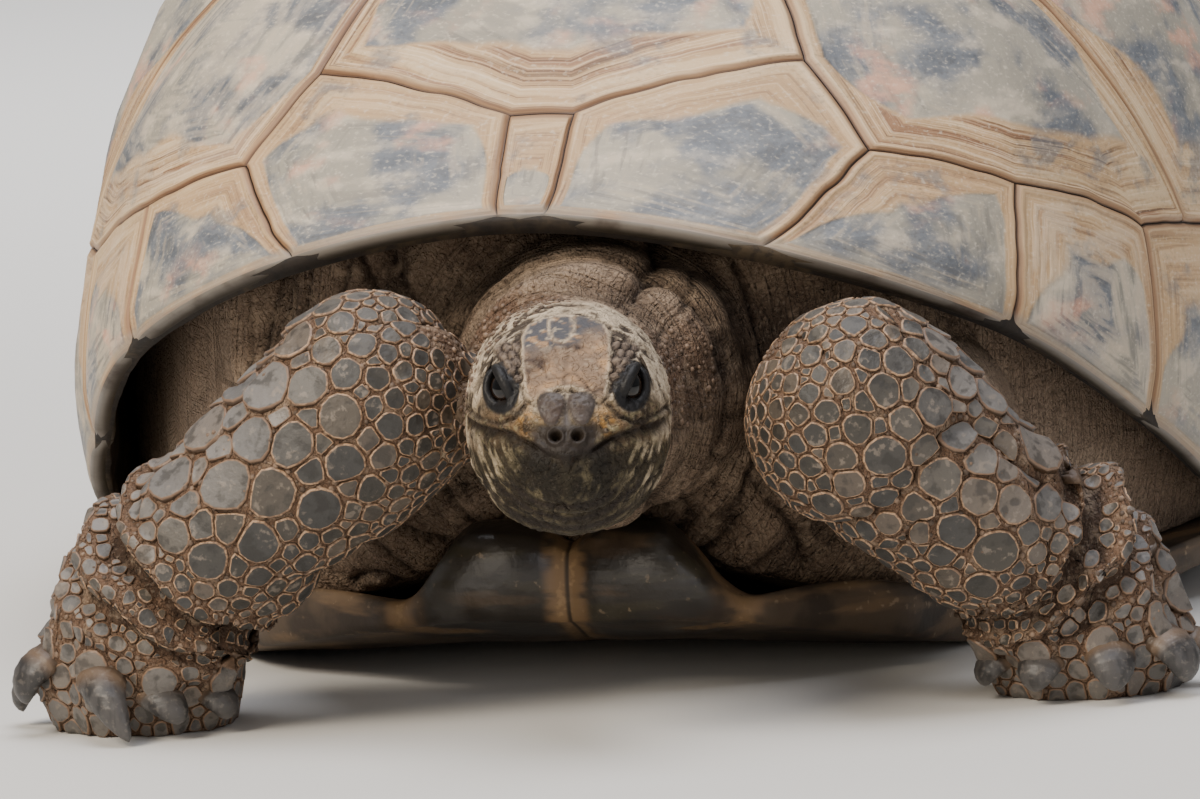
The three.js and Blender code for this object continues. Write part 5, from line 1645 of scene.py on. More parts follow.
@dataclass
class Skin:
    """The one hide that covers the trunk, neck, head and limbs, with its folds and its colouring, which holds
    painted shade in folds and hollows.
    """

    head: Head
    limbs: list[Limb]
    trunk: Piece  # the solid between the shells
    palette: HidePalette = HidePalette()
    voxel: float = 3.2
    fold_depth: float = 8.5
    # centre, half width and half height of the neck from the head back to its root
    neck: tuple[tuple[float, ...], ...] = (
        (37, -572, 168, 46, 50), (37, -544, 165, 60, 65), (37, -529, 167, 62, 66), (36, -511, 170, 73, 73),
        (36, -494, 171, 72, 73), (34, -474, 173, 82, 77), (32, -455, 174, 84, 77), (28, -430, 175, 98, 80),
        (22, -402, 172, 106, 80), (12, -350, 166, 84, 70),
    )

    def add_neck(self, builder: MeshBuilder) -> None:
        """Adds the neck from inside the head to inside the trunk.

        Args:
            builder: the mesh that takes it.
        """
        rows, columns = 70, 124
        share = np.linspace(0, 1, rows)
        stations = spline(self.neck)(share)
        lean = np.radians(self.head.yaw * (1 - share))
        side = np.stack([np.cos(lean), np.sin(lean), 0 * lean], -1)
        c, s = np.cos(turns(columns)), np.sin(turns(columns))
        points = stations[:, None, :3] + side[:, None] * (stations[:, 3:4] * c)[..., None]
        points = points + np.array([0, 0, 1.0]) * (stations[:, 4:5] * s)[..., None]
        builder.barrels(points, points[0].mean(0), points[-1].mean(0), turned=True)

    def add_trunk(self, builder: MeshBuilder) -> None:
        """Adds the body between the shells, as the solid of the part has it.

        Args:
            builder: the mesh that takes it.
        """
        mesh = self.trunk.data
        mesh.calc_loop_triangles()
        places = places_of(mesh)
        _, first, merged = np.unique(np.round(places, 2), axis=0, return_index=True, return_inverse=True)
        corners = read(mesh.loop_triangles, "vertices", 3)
        builder.faces.append(merged.reshape(-1)[corners] + builder.add(places[first]))

    def folds(self, points: Array) -> tuple[Array, Array]:
        """Folds of the loose skin of the neck and chest.

        Args:
            points: places in the body's frame.

        Returns:
            Heights of the folds, and how deep in a fold each point lies, from 0 to 1, which sets the painted
            shade in the folds.
        """
        spread, turn = self.neck_chart(points)
        y = points[:, 1]
        warp = noise(points, 150, 201, 2)
        around = np.column_stack([(spread + 24 * warp) / 26, turn * 0.5, 0.3 * warp])
        along = np.column_stack([turn * 3.2 + 1.8 * warp, spread / 170, y / 200])
        finer = np.column_stack([(spread + 12 * warp) / 12, turn * 1.3, y / 80])
        across = np.column_stack([turn * 8 + 4 * warp, spread / 60, y / 70])
        loose = smooth(-350, -420, y) * smooth(-640, -560, y)
        rings, rays = crease(around, 1.0, 205, 0.15, 1), crease(along, 1.0, 207, 0.1, 1)
        lines, fans = crease(finer, 1.0, 213, 0.16, 1), crease(across, 1.0, 217, 0.12, 1)
        chest = smooth(80, 150, np.hypot(points[:, 0] - 26, points[:, 2] - 166))
        height = -loose * self.fold_depth * rings * (1 - 0.55 * chest)
        height -= loose * self.fold_depth * rays * (0.3 + 0.7 * chest)
        height -= loose * (1.0 * lines + 0.8 * fans)
        height += loose * 3.0 * noise(around * 0.7, 1.0, 211, 2)
        depth = np.clip(loose * np.maximum(np.maximum(rings, rays), 0.5 * np.maximum(lines, fans)), 0, 1)
        return height, depth

    @staticmethod
    def neck_chart(points: Array) -> tuple[Array, Array]:
        """Distance out and back from the head along the neck and chest, and the turn round the neck."""
        x, y, z = points.T
        return np.hypot(x - 26, (z - 166) * 0.95) + 0.75 * (y + 480), np.arctan2(z - 166, x - 26)

    def body_object(self) -> Piece:
        """Joins trunk, neck and limbs into one even surface.

        Returns:
            The skin without the head.
        """
        builder = MeshBuilder()
        self.add_trunk(builder)
        self.add_neck(builder)
        for limb in self.limbs:
            limb.add_to(builder)
        body = builder.piece("skin")
        remesh = body.modifiers.new("even", "REMESH")
        remesh.mode, remesh.voxel_size, remesh.adaptivity = "VOXEL", self.voxel * 0.001, 0.0
        apply_modifiers(body)
        edges = read(body.data.edges, "vertices", 2)
        points = relax(places_of(body.data), edges, 0.5, 2)
        for _ in range(2):
            place_points(body.data, points)
            hollow = hollows(body.data, points, 1) * (1 - self.near_legs(points, 330, ("foreleg",)))
            spread = relax(smooth(0.12, 0.5, hollow)[:, None].repeat(3, 1), edges, 0.6, 3)
            points = relax(points, edges, np.clip(spread[:, 0] * 1.6, 0, 0.75), 6)
        place_points(body.data, points)
        normals = normals_of(body.data)
        height, _ = self.folds(points)
        keep_feet = smooth(18, 50, points[:, 2])
        clear = np.where(points[:, 1] > -400, smooth(-395, -410, points[:, 1]), 1.0)
        points = points + normals * (height * keep_feet * np.maximum(clear, 0.15))[:, None]
        place_points(body.data, points)
        self.thin_hidden(body)
        return body

    def thin_hidden(self, body: Piece) -> None:
        """Leaves few faces where the shells cover the skin.

        Args:
            body: the skin so far.
        """
        points = places_of(body.data)
        x, y, z = points.T
        hidden = (y > -372) & (y < 300) & ((np.abs(x) < 340) | (y > -300)) & (z > 6)
        self.thin(body, hidden, 0.05)
        points = places_of(body.data)
        self.thin(body, (self.near_legs(points) > 0.3) | (points[:, 1] > 290), 0.24)

    def near_legs(
        self, points: Array, start: int = 0, names: tuple[str, ...] = ("foreleg", "hind_leg")
    ) -> Array:
        """1 on the legs from a station of their lines on, and 0 away from them."""
        return limb_share(self.limbs, points, names, 78, 18, start, 30)

    @staticmethod
    def thin(body: Piece, chosen: Array, share: float) -> None:
        """Keeps only a share of the faces round the chosen points.

        Args:
            body: the skin so far.
            chosen: whether each point is chosen.
            share: how many faces stay there.
        """
        group = body.vertex_groups.new(name="chosen")
        group.add(np.nonzero(chosen)[0].tolist(), 1.0, "REPLACE")
        faces = sum(len(face.vertices) - 2 for face in body.data.polygons)
        covered = faces * float(chosen.mean())
        fewer = body.modifiers.new("thin", "DECIMATE")
        fewer.vertex_group = "chosen"
        fewer.ratio = (faces - (1 - share) * covered) / faces
        apply_modifiers(body)
        body.vertex_groups.clear()

    def build(self, hide: Material) -> Piece:
        """Makes the whole skin as one closed piece.

        Args:
            hide: its finish.

        Returns:
            The piece.
        """
        body = self.body_object()
        parts = [self.head.build_core()]
        for side in Side:
            parts += self.head.build_lids(side)
        join = body.modifiers.new("join", "BOOLEAN")
        group = bpy.data.collections.new("join")
        bpy.context.scene.collection.children.link(group)
        for part in parts:
            group.objects.link(part)
        join.operation, join.solver = "UNION", "MANIFOLD"
        join.operand_type, join.collection = "COLLECTION", group
        apply_modifiers(body)
        for part in parts:
            bpy.data.objects.remove(part)
        bpy.data.collections.remove(group)
        points = places_of(body.data)
        local = self.head.to_head(points)
        seam = bump(local[:, 1], 58, 12) * smooth(-690, -640, points[:, 1] - 40)
        seam *= (np.abs(local[:, 0]) < 90) & (points[:, 1] > -610) & (points[:, 1] < -540)
        points = relax(points, read(body.data.edges, "vertices", 2), np.clip(seam, 0, 0.6), 8)
        place_points(body.data, points)
        body.data.materials.clear()
        body.data.materials.append(hide)
        body.data.shade_smooth()
        self.paint(body.data)
        nodes = ["torso", "neck", "head", "lower_jaw", "tail"]
        for side in Side:
            for part in ("upper_arm", "forearm", "forefoot", "thigh", "shank", "hind_foot"):
                nodes.append(f"{part}_{side.label}")
        return finished(body, "hide", *nodes)

    def paint(self, mesh: Mesh) -> None:
        """Colours the skin by region, with the shine of each region and painted shade in its hollows.

        Args:
            mesh: the mesh.
        """
        points, normals = places_of(mesh), normals_of(mesh)
        colour = self.body_colour(points, normals)
        gloss = np.full(len(points), 0.25)
        local = self.head.to_head(points)
        x, h = self.head.chart(local)
        on_head = smooth(66, 50, local[:, 1]) * smooth(75, 66, np.abs(local[:, 0]))
        on_head *= smooth(-90, -86, local[:, 2]) * (points[:, 1] < -548)
        face, shine = self.face_colour(local, x, h)
        share = on_head[:, None]
        colour = colour * (1 - share) + face * share
        gloss = gloss * (1 - on_head) + shine * on_head
        # painted shade: darker the deeper the skin lies in a hollow
        hollow_shade = smooth(0.12, 0.9, hollows(mesh, points))
        colour = mix(colour, linear(self.palette.body_dark), (0.75 * hollow_shade)[:, None])
        layer = mesh.color_attributes.new("paint", "FLOAT_COLOR", "POINT")
        opaque = np.column_stack([colour, np.ones(len(points))])
        layer.data.foreach_set("color", opaque.astype(np.float32).ravel())
        set_mask(mesh, "gloss", gloss)
        set_mask(mesh, "head", on_head)
        spread, turn = self.neck_chart(points)
        warp = noise(points, 60, 251, 2)
        set_mask(mesh, "spread", spread + 9 * warp)
        set_mask(mesh, "turn", np.degrees(np.abs(turn + math.pi / 2)) + 9 * noise(points, 45, 253, 2))

    def body_colour(self, points: Array, normals: Array) -> Array:
        """Colour of the hide away from the head, with painted top light and painted shade in its folds.

        Args:
            points: places in the body's frame.
            normals: outward directions.

        Returns:
            Linear colours, shape (n, 3).
        """
        p = self.palette
        _, depth = self.folds(points)
        tone = noise(points, 60, 221, 3)
        colour = mix(linear(p.body), linear(p.body_light), smooth(-0.1, 0.9, tone)[:, None] * 0.7)
        # painted top light: lighter where the hide faces up
        colour = mix(colour, linear(p.body_light), (smooth(0.2, 1.0, normals[:, 2]) * 0.35)[:, None])
        # painted shade: the deeper a point lies in a fold, the darker
        colour = mix(colour, linear(p.body_dark), (0.8 * depth**0.8)[:, None])
        return mix(colour, linear(p.groove), self.near_legs(points)[:, None])

    def face_colour(self, local: Array, x: Array, h: Array) -> tuple[Array, Array]:
        """Colour and shine of the head, from the chart of its features, with painted shade in its grooves and
        folds and a painted highlight on the upper lip.

        Args:
            local: places in the head's frame.
            x: distance from the middle, positive to the left.
            h: height on the chart.

        Returns:
            Linear colours, shape (n, 3), and shine from 0 to 1.
        """
        p, head = self.palette, self.head
        edge = head.shield_edge(x, h)
        grain, blotch = noise(local, 2.6, 231, 2), noise(local, 16, 233, 3)
        dashes = head.dashes(local)
        bow = np.hypot(x, (h + 12) * 0.98) + 1.9 * noise(local, 26, 67, 2)
        radial = np.column_stack([bow * 1.7, np.arctan2(h + 12, x) * 16, local[:, 1] * 0.5])
        streaks = noise(radial, 4.2, 237, 2)
        colour = mix(linear(p.cheek), linear(p.jaw_light), (0.6 * smooth(-0.2, 0.7, blotch))[:, None])
        gloss = np.full(len(x), 0.3)
        outside, wide = smooth(0.4, -0.6, edge), np.abs(x)

        def lay(code: str, amount: Array, shine: float = 0.3) -> None:
            """Lays a colour with its shine over what is there."""
            nonlocal colour, gloss
            amount = np.clip(amount, 0, 1)
            colour = mix(colour, linear(code), amount[:, None])
            gloss = gloss * (1 - amount) + shine * amount

        temple = smooth(-8, 8, h + 5 * blotch) * outside
        lay(p.pale, temple * 0.85, 0.2)
        lay(p.cheek, temple * 0.55 * smooth(0.0, 0.5, noise(local, 9, 241, 2)), 0.2)
        lay(p.fleck, smooth(0.03, 0.2, dashes) * 0.92 * smooth(-14, 4, h) * outside, 0.25)
        lay(p.fleck, outside * smooth(0.2, 0.45, grain) * 0.55 * smooth(-20, 0, h))
        cheek = smooth(14, 22, wide) * smooth(6, -2, h) * smooth(-34, -24, h)
        lay(p.cheek, cheek * 0.75)
        lay(p.jaw_deep, cheek * 0.8 * smooth(0.15, -0.25, noise(local * [0.7, 1, 1.6], 7, 247, 3)))
        lay(p.jaw_light, cheek * 0.7 * smooth(0.1, 0.4, grain))
        jaw = smooth(-12, -30, h + 5 * blotch)
        lay(p.jaw, jaw * 0.92, 0.4)
        lay(p.jaw_light, jaw * smooth(0.0, 0.3, streaks) * (0.1 + 0.8 * smooth(16, 40, wide)), 0.25)
        lay(p.pale, jaw * smooth(0.12, 0.34, streaks) * 0.6 * smooth(26, 46, wide), 0.25)
        lay(p.pale, smooth(42, 52, wide) * smooth(-62, -40, h) * smooth(-0.15, 0.2, streaks) * 0.6, 0.2)
        lay(p.body_light, smooth(28, 48, local[:, 1]) * 0.8, 0.25)
        crack = crease(local, 17, 61, 0.05, 2)
        inside = smooth(-0.4, 0.8, edge)
        lay(p.shield, inside, 0.42)
        tan = smooth(0.0, 0.6, noise(local, 11, 243, 3)) * (0.35 + 0.5 * smooth(10, 3, edge))
        lay(p.shield_edge, inside * tan, 0.4)
        lay(p.shield_dark, inside * (0.95 * crack + 0.55 * smooth(0.0, 0.6, blotch)), 0.42)
        lay(p.pale, inside * 0.2 * smooth(0.25, 0.6, grain), 0.42)
        cell = np.hypot((x + 2.5) / 5.8, (h - 41.5) / 8.0)
        top = inside * smooth(-4, 4, h + 7 * blotch - 34 - 0.22 * x) * smooth(0.5, 2.0, edge)
        lay(p.crown, top * (1 - bump(cell, 1.12, 0.13)), 0.55)
        lay(p.shield_edge, top * 0.75 * smooth(0.12, 0.4, noise(local, 6.0, 239, 3)), 0.35)
        lay(p.pale, top * 0.6 * smooth(0.3, 0.5, noise(local, 3.2, 255, 2)), 0.35)
        lay(p.pale, inside * 0.85 * bump(cell, 1.12, 0.12) * smooth(32, 36, h), 0.35)
        parting = bump(x + 0.8 * noise(local, 12, 3), 0, 0.8) * smooth(31, 24, h)
        lay(p.shield_dark, inside * 0.8 * parting, 0.4)
        lay(p.pale, 0.7 * bump(edge, 0.7, 0.8) * smooth(0, 8, h), 0.35)
        lay(p.fleck, 0.8 * bump(edge, -1.7, 0.9), 0.3)
        around_nose = smooth(-46, -58, local[:, 1])
        spots = smooth(-0.1, 0.4, noise(local, 4, 245, 3))
        lay(p.stain, 0.85 * around_nose * bump(wide, 20, 6) * bump(h, -6, 9) * spots, 0.35)
        snout = smooth(25, 16, wide + 0.25 * (h + 25)) * smooth(-7, -12, h) * smooth(-40, -30, h)
        lay(p.beak, around_nose * snout * 0.96, 0.55)
        # painted shade in the middle of the jaw under the beak
        lay(p.jaw_deep, smooth(36, 14, wide) * smooth(-22, -28, h) * smooth(-60, -42, h) * 0.92, 0.4)
        nasal = head.nasal_field(x, h) * around_nose
        lay(p.pale, 0.35 * bump(nasal, 0.03, 0.05) * smooth(-8, -2, h) * around_nose, 0.4)
        lay(p.nasal, smooth(0.0, 0.1, nasal), 0.66)
        lay(p.nasal, around_nose * bump(x, 0, 3) * smooth(9, 5, h) * smooth(-14, -9, h), 0.6)
        lay(p.shield_dark, smooth(0.1, 0.3, nasal) * smooth(0.1, 0.6, blotch) * 0.6, 0.6)
        distance, above = head.mouth_distance(x, h)
        front = smooth(0, -14, local[:, 1])
        # painted highlight along the swelling of the upper lip
        rim = bump(above, 3.2, 1.8) * smooth(12, 20, wide)
        lay(p.jaw_light, front * rim * smooth(-0.1, 0.4, grain) * 0.7)
        # painted shade just under the upper lip, along the mouth
        under_lip_shade = smooth(-9, -1, above) * smooth(1.5, -1, above)
        lay(p.jaw_deep, front * 0.75 * under_lip_shade * smooth(60, 46, wide), 0.4)
        # painted shade in the groove of the mouth
        lay(p.beak, front * np.exp(-((distance / 1.9) ** 2)) * (0.8 + 0.3 * blotch), 0.5)
        rubbed = smooth(0.1, 0.5, noise(local * [1, 1, 0.6], 8, 73, 3))
        lay(p.jaw_light, 0.5 * smooth(-24, -40, h) * rubbed, 0.35)
        # painted shade in the creases of the throat
        lay(p.jaw_deep, 0.95 * crease(local * [1, 1, 0.55], 13, 71, 0.07, 2) * smooth(-22, -36, h), 0.4)
        lay(p.jaw_deep, 0.7 * crease(local, 6.5, 72, 0.08, 2) * smooth(-22, -36, h), 0.4)
        # painted shade in the grooves of the throat folds
        for reach in (41.0, 46.5, 52.0, 57.5):
            lay(p.beak, 0.95 * smooth(-34, -46, h) * np.exp(-((bow - reach) / 1.5) ** 2), 0.4)
        brow, scale = head.brow_field(x, h)
        brow = brow * smooth(8, -6, local[:, 1])
        lay(p.brow, brow, 0.4)
        lay(p.body_light, brow * 0.35 * smooth(0.0, 0.5, grain), 0.4)
        lay(p.fleck, 0.97 * brow * smooth(0.85, 0.35, scale), 0.35)
        # painted shade in the groove under the eye
        under = line_distance(x, h, ((22, 0), (27, -6), (35, -9.5), (46, -6), (54, -1)))
        lay(p.beak, 0.8 * np.exp(-((under / 1.4) ** 2)) * smooth(14, 2, local[:, 1]), 0.4)
        socket = np.hypot((wide - 34.2) / 9.9, (h - 9.3) / 13.4)
        lay(p.lid, smooth(1.1, 0.95, socket) * (1 - brow * scale) * smooth(20, 0, local[:, 1]), 0.6)
        return colour, gloss


def mix(a: Array, b: Array, share: Array) -> Array:
    """Colour a blended to colour b."""
    return a * (1 - share) + b * share


# ---- scales of the legs


@dataclass
class ScaleCoat:
    """Horny scales over a leg, each one a closed plate with a raised rim and a flat middle."""

    limb: Limb
    outer: tuple[float, float, float]  # the way the outer ridge of the leg faces
    largest: float = 27.0
    smallest: float = 7.6
    gap: float = 0.6
    corners: int = 14
    tries: int = 9000
    cap: float = 12.5  # half width of the scale over each claw
    patch: float = 0.0016  # half width of a scale's place on the map of the coat
    start: float = 0.01
    seed: int = 1

    def width_at(self, u: Array, angle: Array, normal: Array) -> Array:
        """Usual width of a scale at places of the leg.

        Args:
            u: shares of the limb's line.
            angle: angles round it.
            normal: outward directions.

        Returns:
            Widths in millimetres.
        """
        ridge = smooth(-0.45, 0.6, normal @ unit(np.array(self.outer, float)))
        front = smooth(-0.6, 0.4, np.sin(angle))
        shaft = (0.3 + 0.7 * smooth(0.03, 0.3, u)) * smooth(0.66, 0.5, u)
        share = shaft * (0.3 + 0.7 * ridge) * (0.35 + 0.65 * front)
        wide = self.smallest + (self.largest - self.smallest) * share
        wide = wide + 5.0 * smooth(0.56, 0.66, u)
        for share, _, width in self.limb.folds:
            wide = wide * (1 - 0.25 * bump(u, share, 1.5 * width))
        foot = bump(u, self.limb.toe_at - 0.05, 0.05)
        return wide + foot * self.limb.toe_share(angle) * (self.largest * 0.88 - wide)

    def scatter(self, skin: "SkinProbe") -> tuple[Array, ...]:
        """Spreads scales over the leg so that each has room for its width.

        Args:
            skin: finds the skin under a point.

        Returns:
            Places, normals, half widths, shares of the line and angles.
        """
        random = np.random.default_rng(self.seed)
        places = np.zeros((0, 3))
        kept: list[tuple[Array, ...]] = []
        halves = np.zeros(0)
        toes = np.radians(90 - np.array(self.limb.toes))
        batches = [(np.full(len(toes), self.limb.toe_at - 0.06), toes, np.full(len(toes), self.cap), 0.9)]
        for factor, room in ((1.1, 0.9), (0.92, 0.88), (0.76, 0.86), (0.6, 0.84), (0.48, 0.84)):
            u = random.uniform(self.start, 0.985, self.tries)
            angle = random.uniform(0, 2 * math.pi, self.tries)
            batches.append((u, angle, 0.5 * factor * random.uniform(0.82, 1.12, self.tries), room))
        for number, (u, angle, half, room) in enumerate(batches):
            place, normal, far = skin.nearest(self.limb.point(u, angle))
            if number:
                half = half * self.width_at(u, angle, normal)
            good = (far < 6.0) & (half > 2.0) & (place[:, 2] > 2.5)
            for share, depth, width in self.limb.folds:
                good &= (depth < 10) | (np.abs(u + self.limb.sway(angle) - share) > 0.5 * width)
            for i in np.nonzero(good)[0]:
                apart = np.sum((places - place[i]) ** 2, 1)
                if np.any(apart < (room * (halves + half[i])) ** 2):
                    continue
                places = np.vstack([places, place[i]])
                halves = np.append(halves, half[i])
                kept.append((place[i], normal[i], half[i], u[i], angle[i]))
        return tuple(np.array(column) for column in zip(*kept))

    def build(self, skin: "SkinProbe", horn: Material) -> Piece:
        """Makes all the scales of the leg as one piece.

        Args:
            skin: finds the skin under a point.
            horn: its finish.

        Returns:
            The piece.
        """
        place, normal, half, u, angle = self.scatter(skin)
        along = self.limb.downward(u)
        first = unit(along - normal * np.sum(along * normal, 1)[:, None])
        second = np.cross(normal, first)
        offsets = place[None] - place[:, None]
        flat = np.stack([np.einsum("ijk,ik->ij", offsets, axis) for axis in (first, second)], -1)
        apart = np.linalg.norm(flat, axis=-1)
        near = (np.linalg.norm(offsets, axis=-1) < 2.6 * (half[:, None] + half[None])) & (apart > 0.5)
        lead = (half[:, None] ** 2 - half[None] ** 2) / np.maximum(apart, 1)
        border = np.where(near, 0.5 * (apart + lead), 1e9)
        border = np.maximum(border, 0.45 * half[:, None])
        towards = np.arctan2(flat[..., 1], flat[..., 0])
        cells = np.stack([np.arange(len(u))] * 3, -1)
        turn = turns(self.corners)[None] + cell_random(cells, 4)[:, None] * 0.5
        power = 11.0
        facing = np.maximum(np.cos(turn[:, :, None] - towards[:, None, :]), 0)
        reach = np.sum((facing / border[:, None, :]) ** power, -1) + (1 / (1.6 * half[:, None])) ** power
        reach = reach ** (-1 / power) - self.gap * 0.5
        spread = np.stack([np.cos(turn), np.sin(turn)], -1) * reach[..., None]
        ridge = smooth(0.1, 0.9, normal @ unit(np.array(self.outer, float)))
        width = np.clip(half, 2, 12)
        height = 0.8 + 0.09 * width
        lip = np.clip(0.5 + 0.05 * width, 0.6, 1.1)
        share_in = np.maximum(1 - lip / half, 0.4)
        share_flat = np.maximum(1 - 1.8 * lip / half, 0.25)
        rings = (
            (np.full(len(u), 1.04), np.full(len(u), -1.5), 1.0), (np.full(len(u), 1.0), 0.25 * height, 0.9),
            (share_in * 0.5 + 0.5, height * 0.8, 0.6), (share_in, height, 0.4),
            (share_flat, height * 0.93, 0.0),
        )
        tilt = (0.05 + 0.17 * ridge) * smooth(0.05, 0.3, u)
        rows: list[Array] = []
        for share, lift, _ in rings:
            plane = place[:, None] + first[:, None] * (spread[..., :1] * share[:, None, None])
            plane = plane + second[:, None] * (spread[..., 1:] * share[:, None, None])
            down, out, _ = skin.nearest(plane.reshape(-1, 3))
            down, out = down.reshape(plane.shape), out.reshape(plane.shape)
            up = unit(out + normal[:, None])
            overlap = tilt[:, None] * np.maximum(spread[..., 0] * share[:, None], -0.3 * half[:, None])
            rise = lift[:, None] + np.where(lift[:, None] > 0, np.maximum(overlap, -0.4 * lift[:, None]), 0)
            rows.append(down + up * rise[..., None])
        stack = np.stack(rows, 1)
        stack[..., 2] = np.maximum(stack[..., 2], 0.2)
        chance = cell_random(cells, self.seed)
        rim = np.array([ring[2] for ring in rings])[:, None]
        # pale: painted top light where a scale faces up and out, and the paler scales of the foot
        pale = np.clip(0.55 * smooth(-0.2, 0.9, normal[:, 2]) + 0.65 * ridge * smooth(0.12, 0.3, u), 0, 1)
        pale = np.maximum(pale, 0.82 * smooth(0.66, 0.78, u))
        builder = MeshBuilder()
        crown = place + normal * (height * 0.9 + 0.02 * half)[:, None]
        builder.barrels(
            stack, place - normal * 1.6, crown, rim=(rim, 1, 0),
            tone=(chance[:, None, None], chance, chance), pale=(pale[:, None, None], pale, pale),
        )
        root = np.stack([(angle / (2 * math.pi)) % 1, u], -1) * 0.98 + 0.01
        patch = np.array([1.0, 0.94, 0.82, 0.64, 0.42])[None, :, None, None] * self.patch
        around = np.stack([np.cos(turn), np.sin(turn)], -1)[:, None]
        plates = (root[:, None, None] + around * patch).reshape(-1, 2)
        builder.chart += [plates, np.full((len(u), 2), np.nan), root]
        LOG.info("%s: %d scales", self.limb.name, len(u))
        return finished(builder.piece(f"scales_{self.limb.name}", horn), "scaly_hide")


class SkinProbe:
    """Finds the skin nearest to any point."""

    def __init__(self, skin: Piece) -> None:
        """Sorts the faces of the skin for the search."""
        mesh = skin.data
        points = places_of(mesh)
        faces = [tuple(face.vertices) for face in mesh.polygons]
        self.tree = BVHTree.FromPolygons(points.tolist(), faces)

    def nearest(self, points: Array) -> tuple[Array, Array, Array]:
        """Nearest places of the skin, its directions there and the distances.

        Args:
            points: places in the body's frame, shape (n, 3).

        Returns:
            Places, directions and distances.
        """
        found = [self.tree.find_nearest(point) for point in points.tolist()]
        place = np.array([tuple(hit[0]) for hit in found])
        normal = np.array([tuple(hit[1]) for hit in found])
        return place, normal, np.array([hit[3] for hit in found])


# ---- claws


@dataclass
class Claw:
    """One claw: where it leaves the foot and how it bends to the ground."""

    turn: float
    long: float
    wide: float
    rise: float = 34.0
    slant: float = 0.0
    tip: float = 3.0
    blunt: float = 3.0


@dataclass
class ClawSet:
    """The claws of one foot."""

    side: Side
    limb: Limb
    claws: tuple[Claw, ...]
    reach: float
    label: str

    def path(self, claw: Claw) -> tuple[Array, Array]:
        """Points along a claw and its sideways direction.

        Args:
            claw: the claw.

        Returns:
            The points, shape (n, 3), and the direction.
        """
        sole = self.limb.centres[-1]
        heading = unit(np.array(self.limb.facing, float) * [1, 1, 0])
        turn = math.radians(claw.turn)
        ahead = np.array([
            heading[0] * math.cos(turn) - heading[1] * math.sin(turn),
            heading[0] * math.sin(turn) + heading[1] * math.cos(turn), 0.0,
        ])
        across = np.array([-ahead[1], ahead[0], 0.0])
        ground = sole * [1, 1, 0]
        root = ground + ahead * (self.reach - 13) + [0, 0, claw.rise]
        bend = ground + ahead * (self.reach + claw.long * 0.42) + across * claw.slant * 0.3
        bend[2] += claw.rise * 0.92
        tip = ground + ahead * (self.reach + claw.long * 0.36) + [0, 0, claw.tip] + across * claw.slant
        t = np.linspace(0, 1, 26)[:, None]
        return root * (1 - t) ** 2 + bend * 2 * t * (1 - t) + tip * t**2, across

    def build(self, horn: Material) -> list[Piece]:
        """Makes each claw as a piece of its own.

        Args:
            horn: its finish.

        Returns:
            The pieces.
        """
        made: list[Piece] = []
        for number, claw in enumerate(self.claws, start=1):
            line, across = self.path(claw)
            t = np.linspace(0, 1, len(line))
            tangent = unit(np.gradient(line, axis=0))
            lift = unit(np.cross(across, tangent))
            if lift[0][2] < 0:
                lift = -lift
            angle = turns(30)
            radius = claw.wide * np.clip(1 - t**claw.blunt, 0.004, 1) ** 0.62 * (1 + 0.02 * np.sin(t * 46))
            ring = across * (radius[:, None] * np.cos(angle))[..., None]
            flat = np.where(np.sin(angle) > 0, 0.7, 0.42)
            ring = ring + lift[:, None] * (radius[:, None] * np.sin(angle) * flat)[..., None]
            clear = [0.8 if axis == 2 else -np.inf for axis in range(3)]
            rows, tip = np.maximum(line[:, None] + ring, clear), np.maximum(line[-1], clear)
            builder = MeshBuilder()
            builder.barrels(rows, line[0], tip, length=(t[:, None], 0, 1))
            node = f"{self.label}_{self.side.label}_{number}"
            made.append(finished(builder.piece(f"horn_{node}", horn), "claw", node))
        return made


# ---- beads of the skin


def add_node(tree: Tree, kind: str, inputs: Optional[dict[Any, Any]] = None, **settings: Any) -> Any:
    """Adds a node with its settings and links.

    Args:
        tree: the tree it goes into.
        kind: the node's type.
        inputs: a socket to link from, or a value, for each input by name or number.
        settings: properties of the node.

    Returns:
        The new node.
    """
    made = tree.nodes.new(kind)
    for key, value in settings.items():
        setattr(made, key, value)
    for key, value in (inputs or {}).items():
        if isinstance(value, bpy.types.NodeSocket):
            tree.links.new(value, made.inputs[key])
        else:
            made.inputs[key].default_value = value
    return made


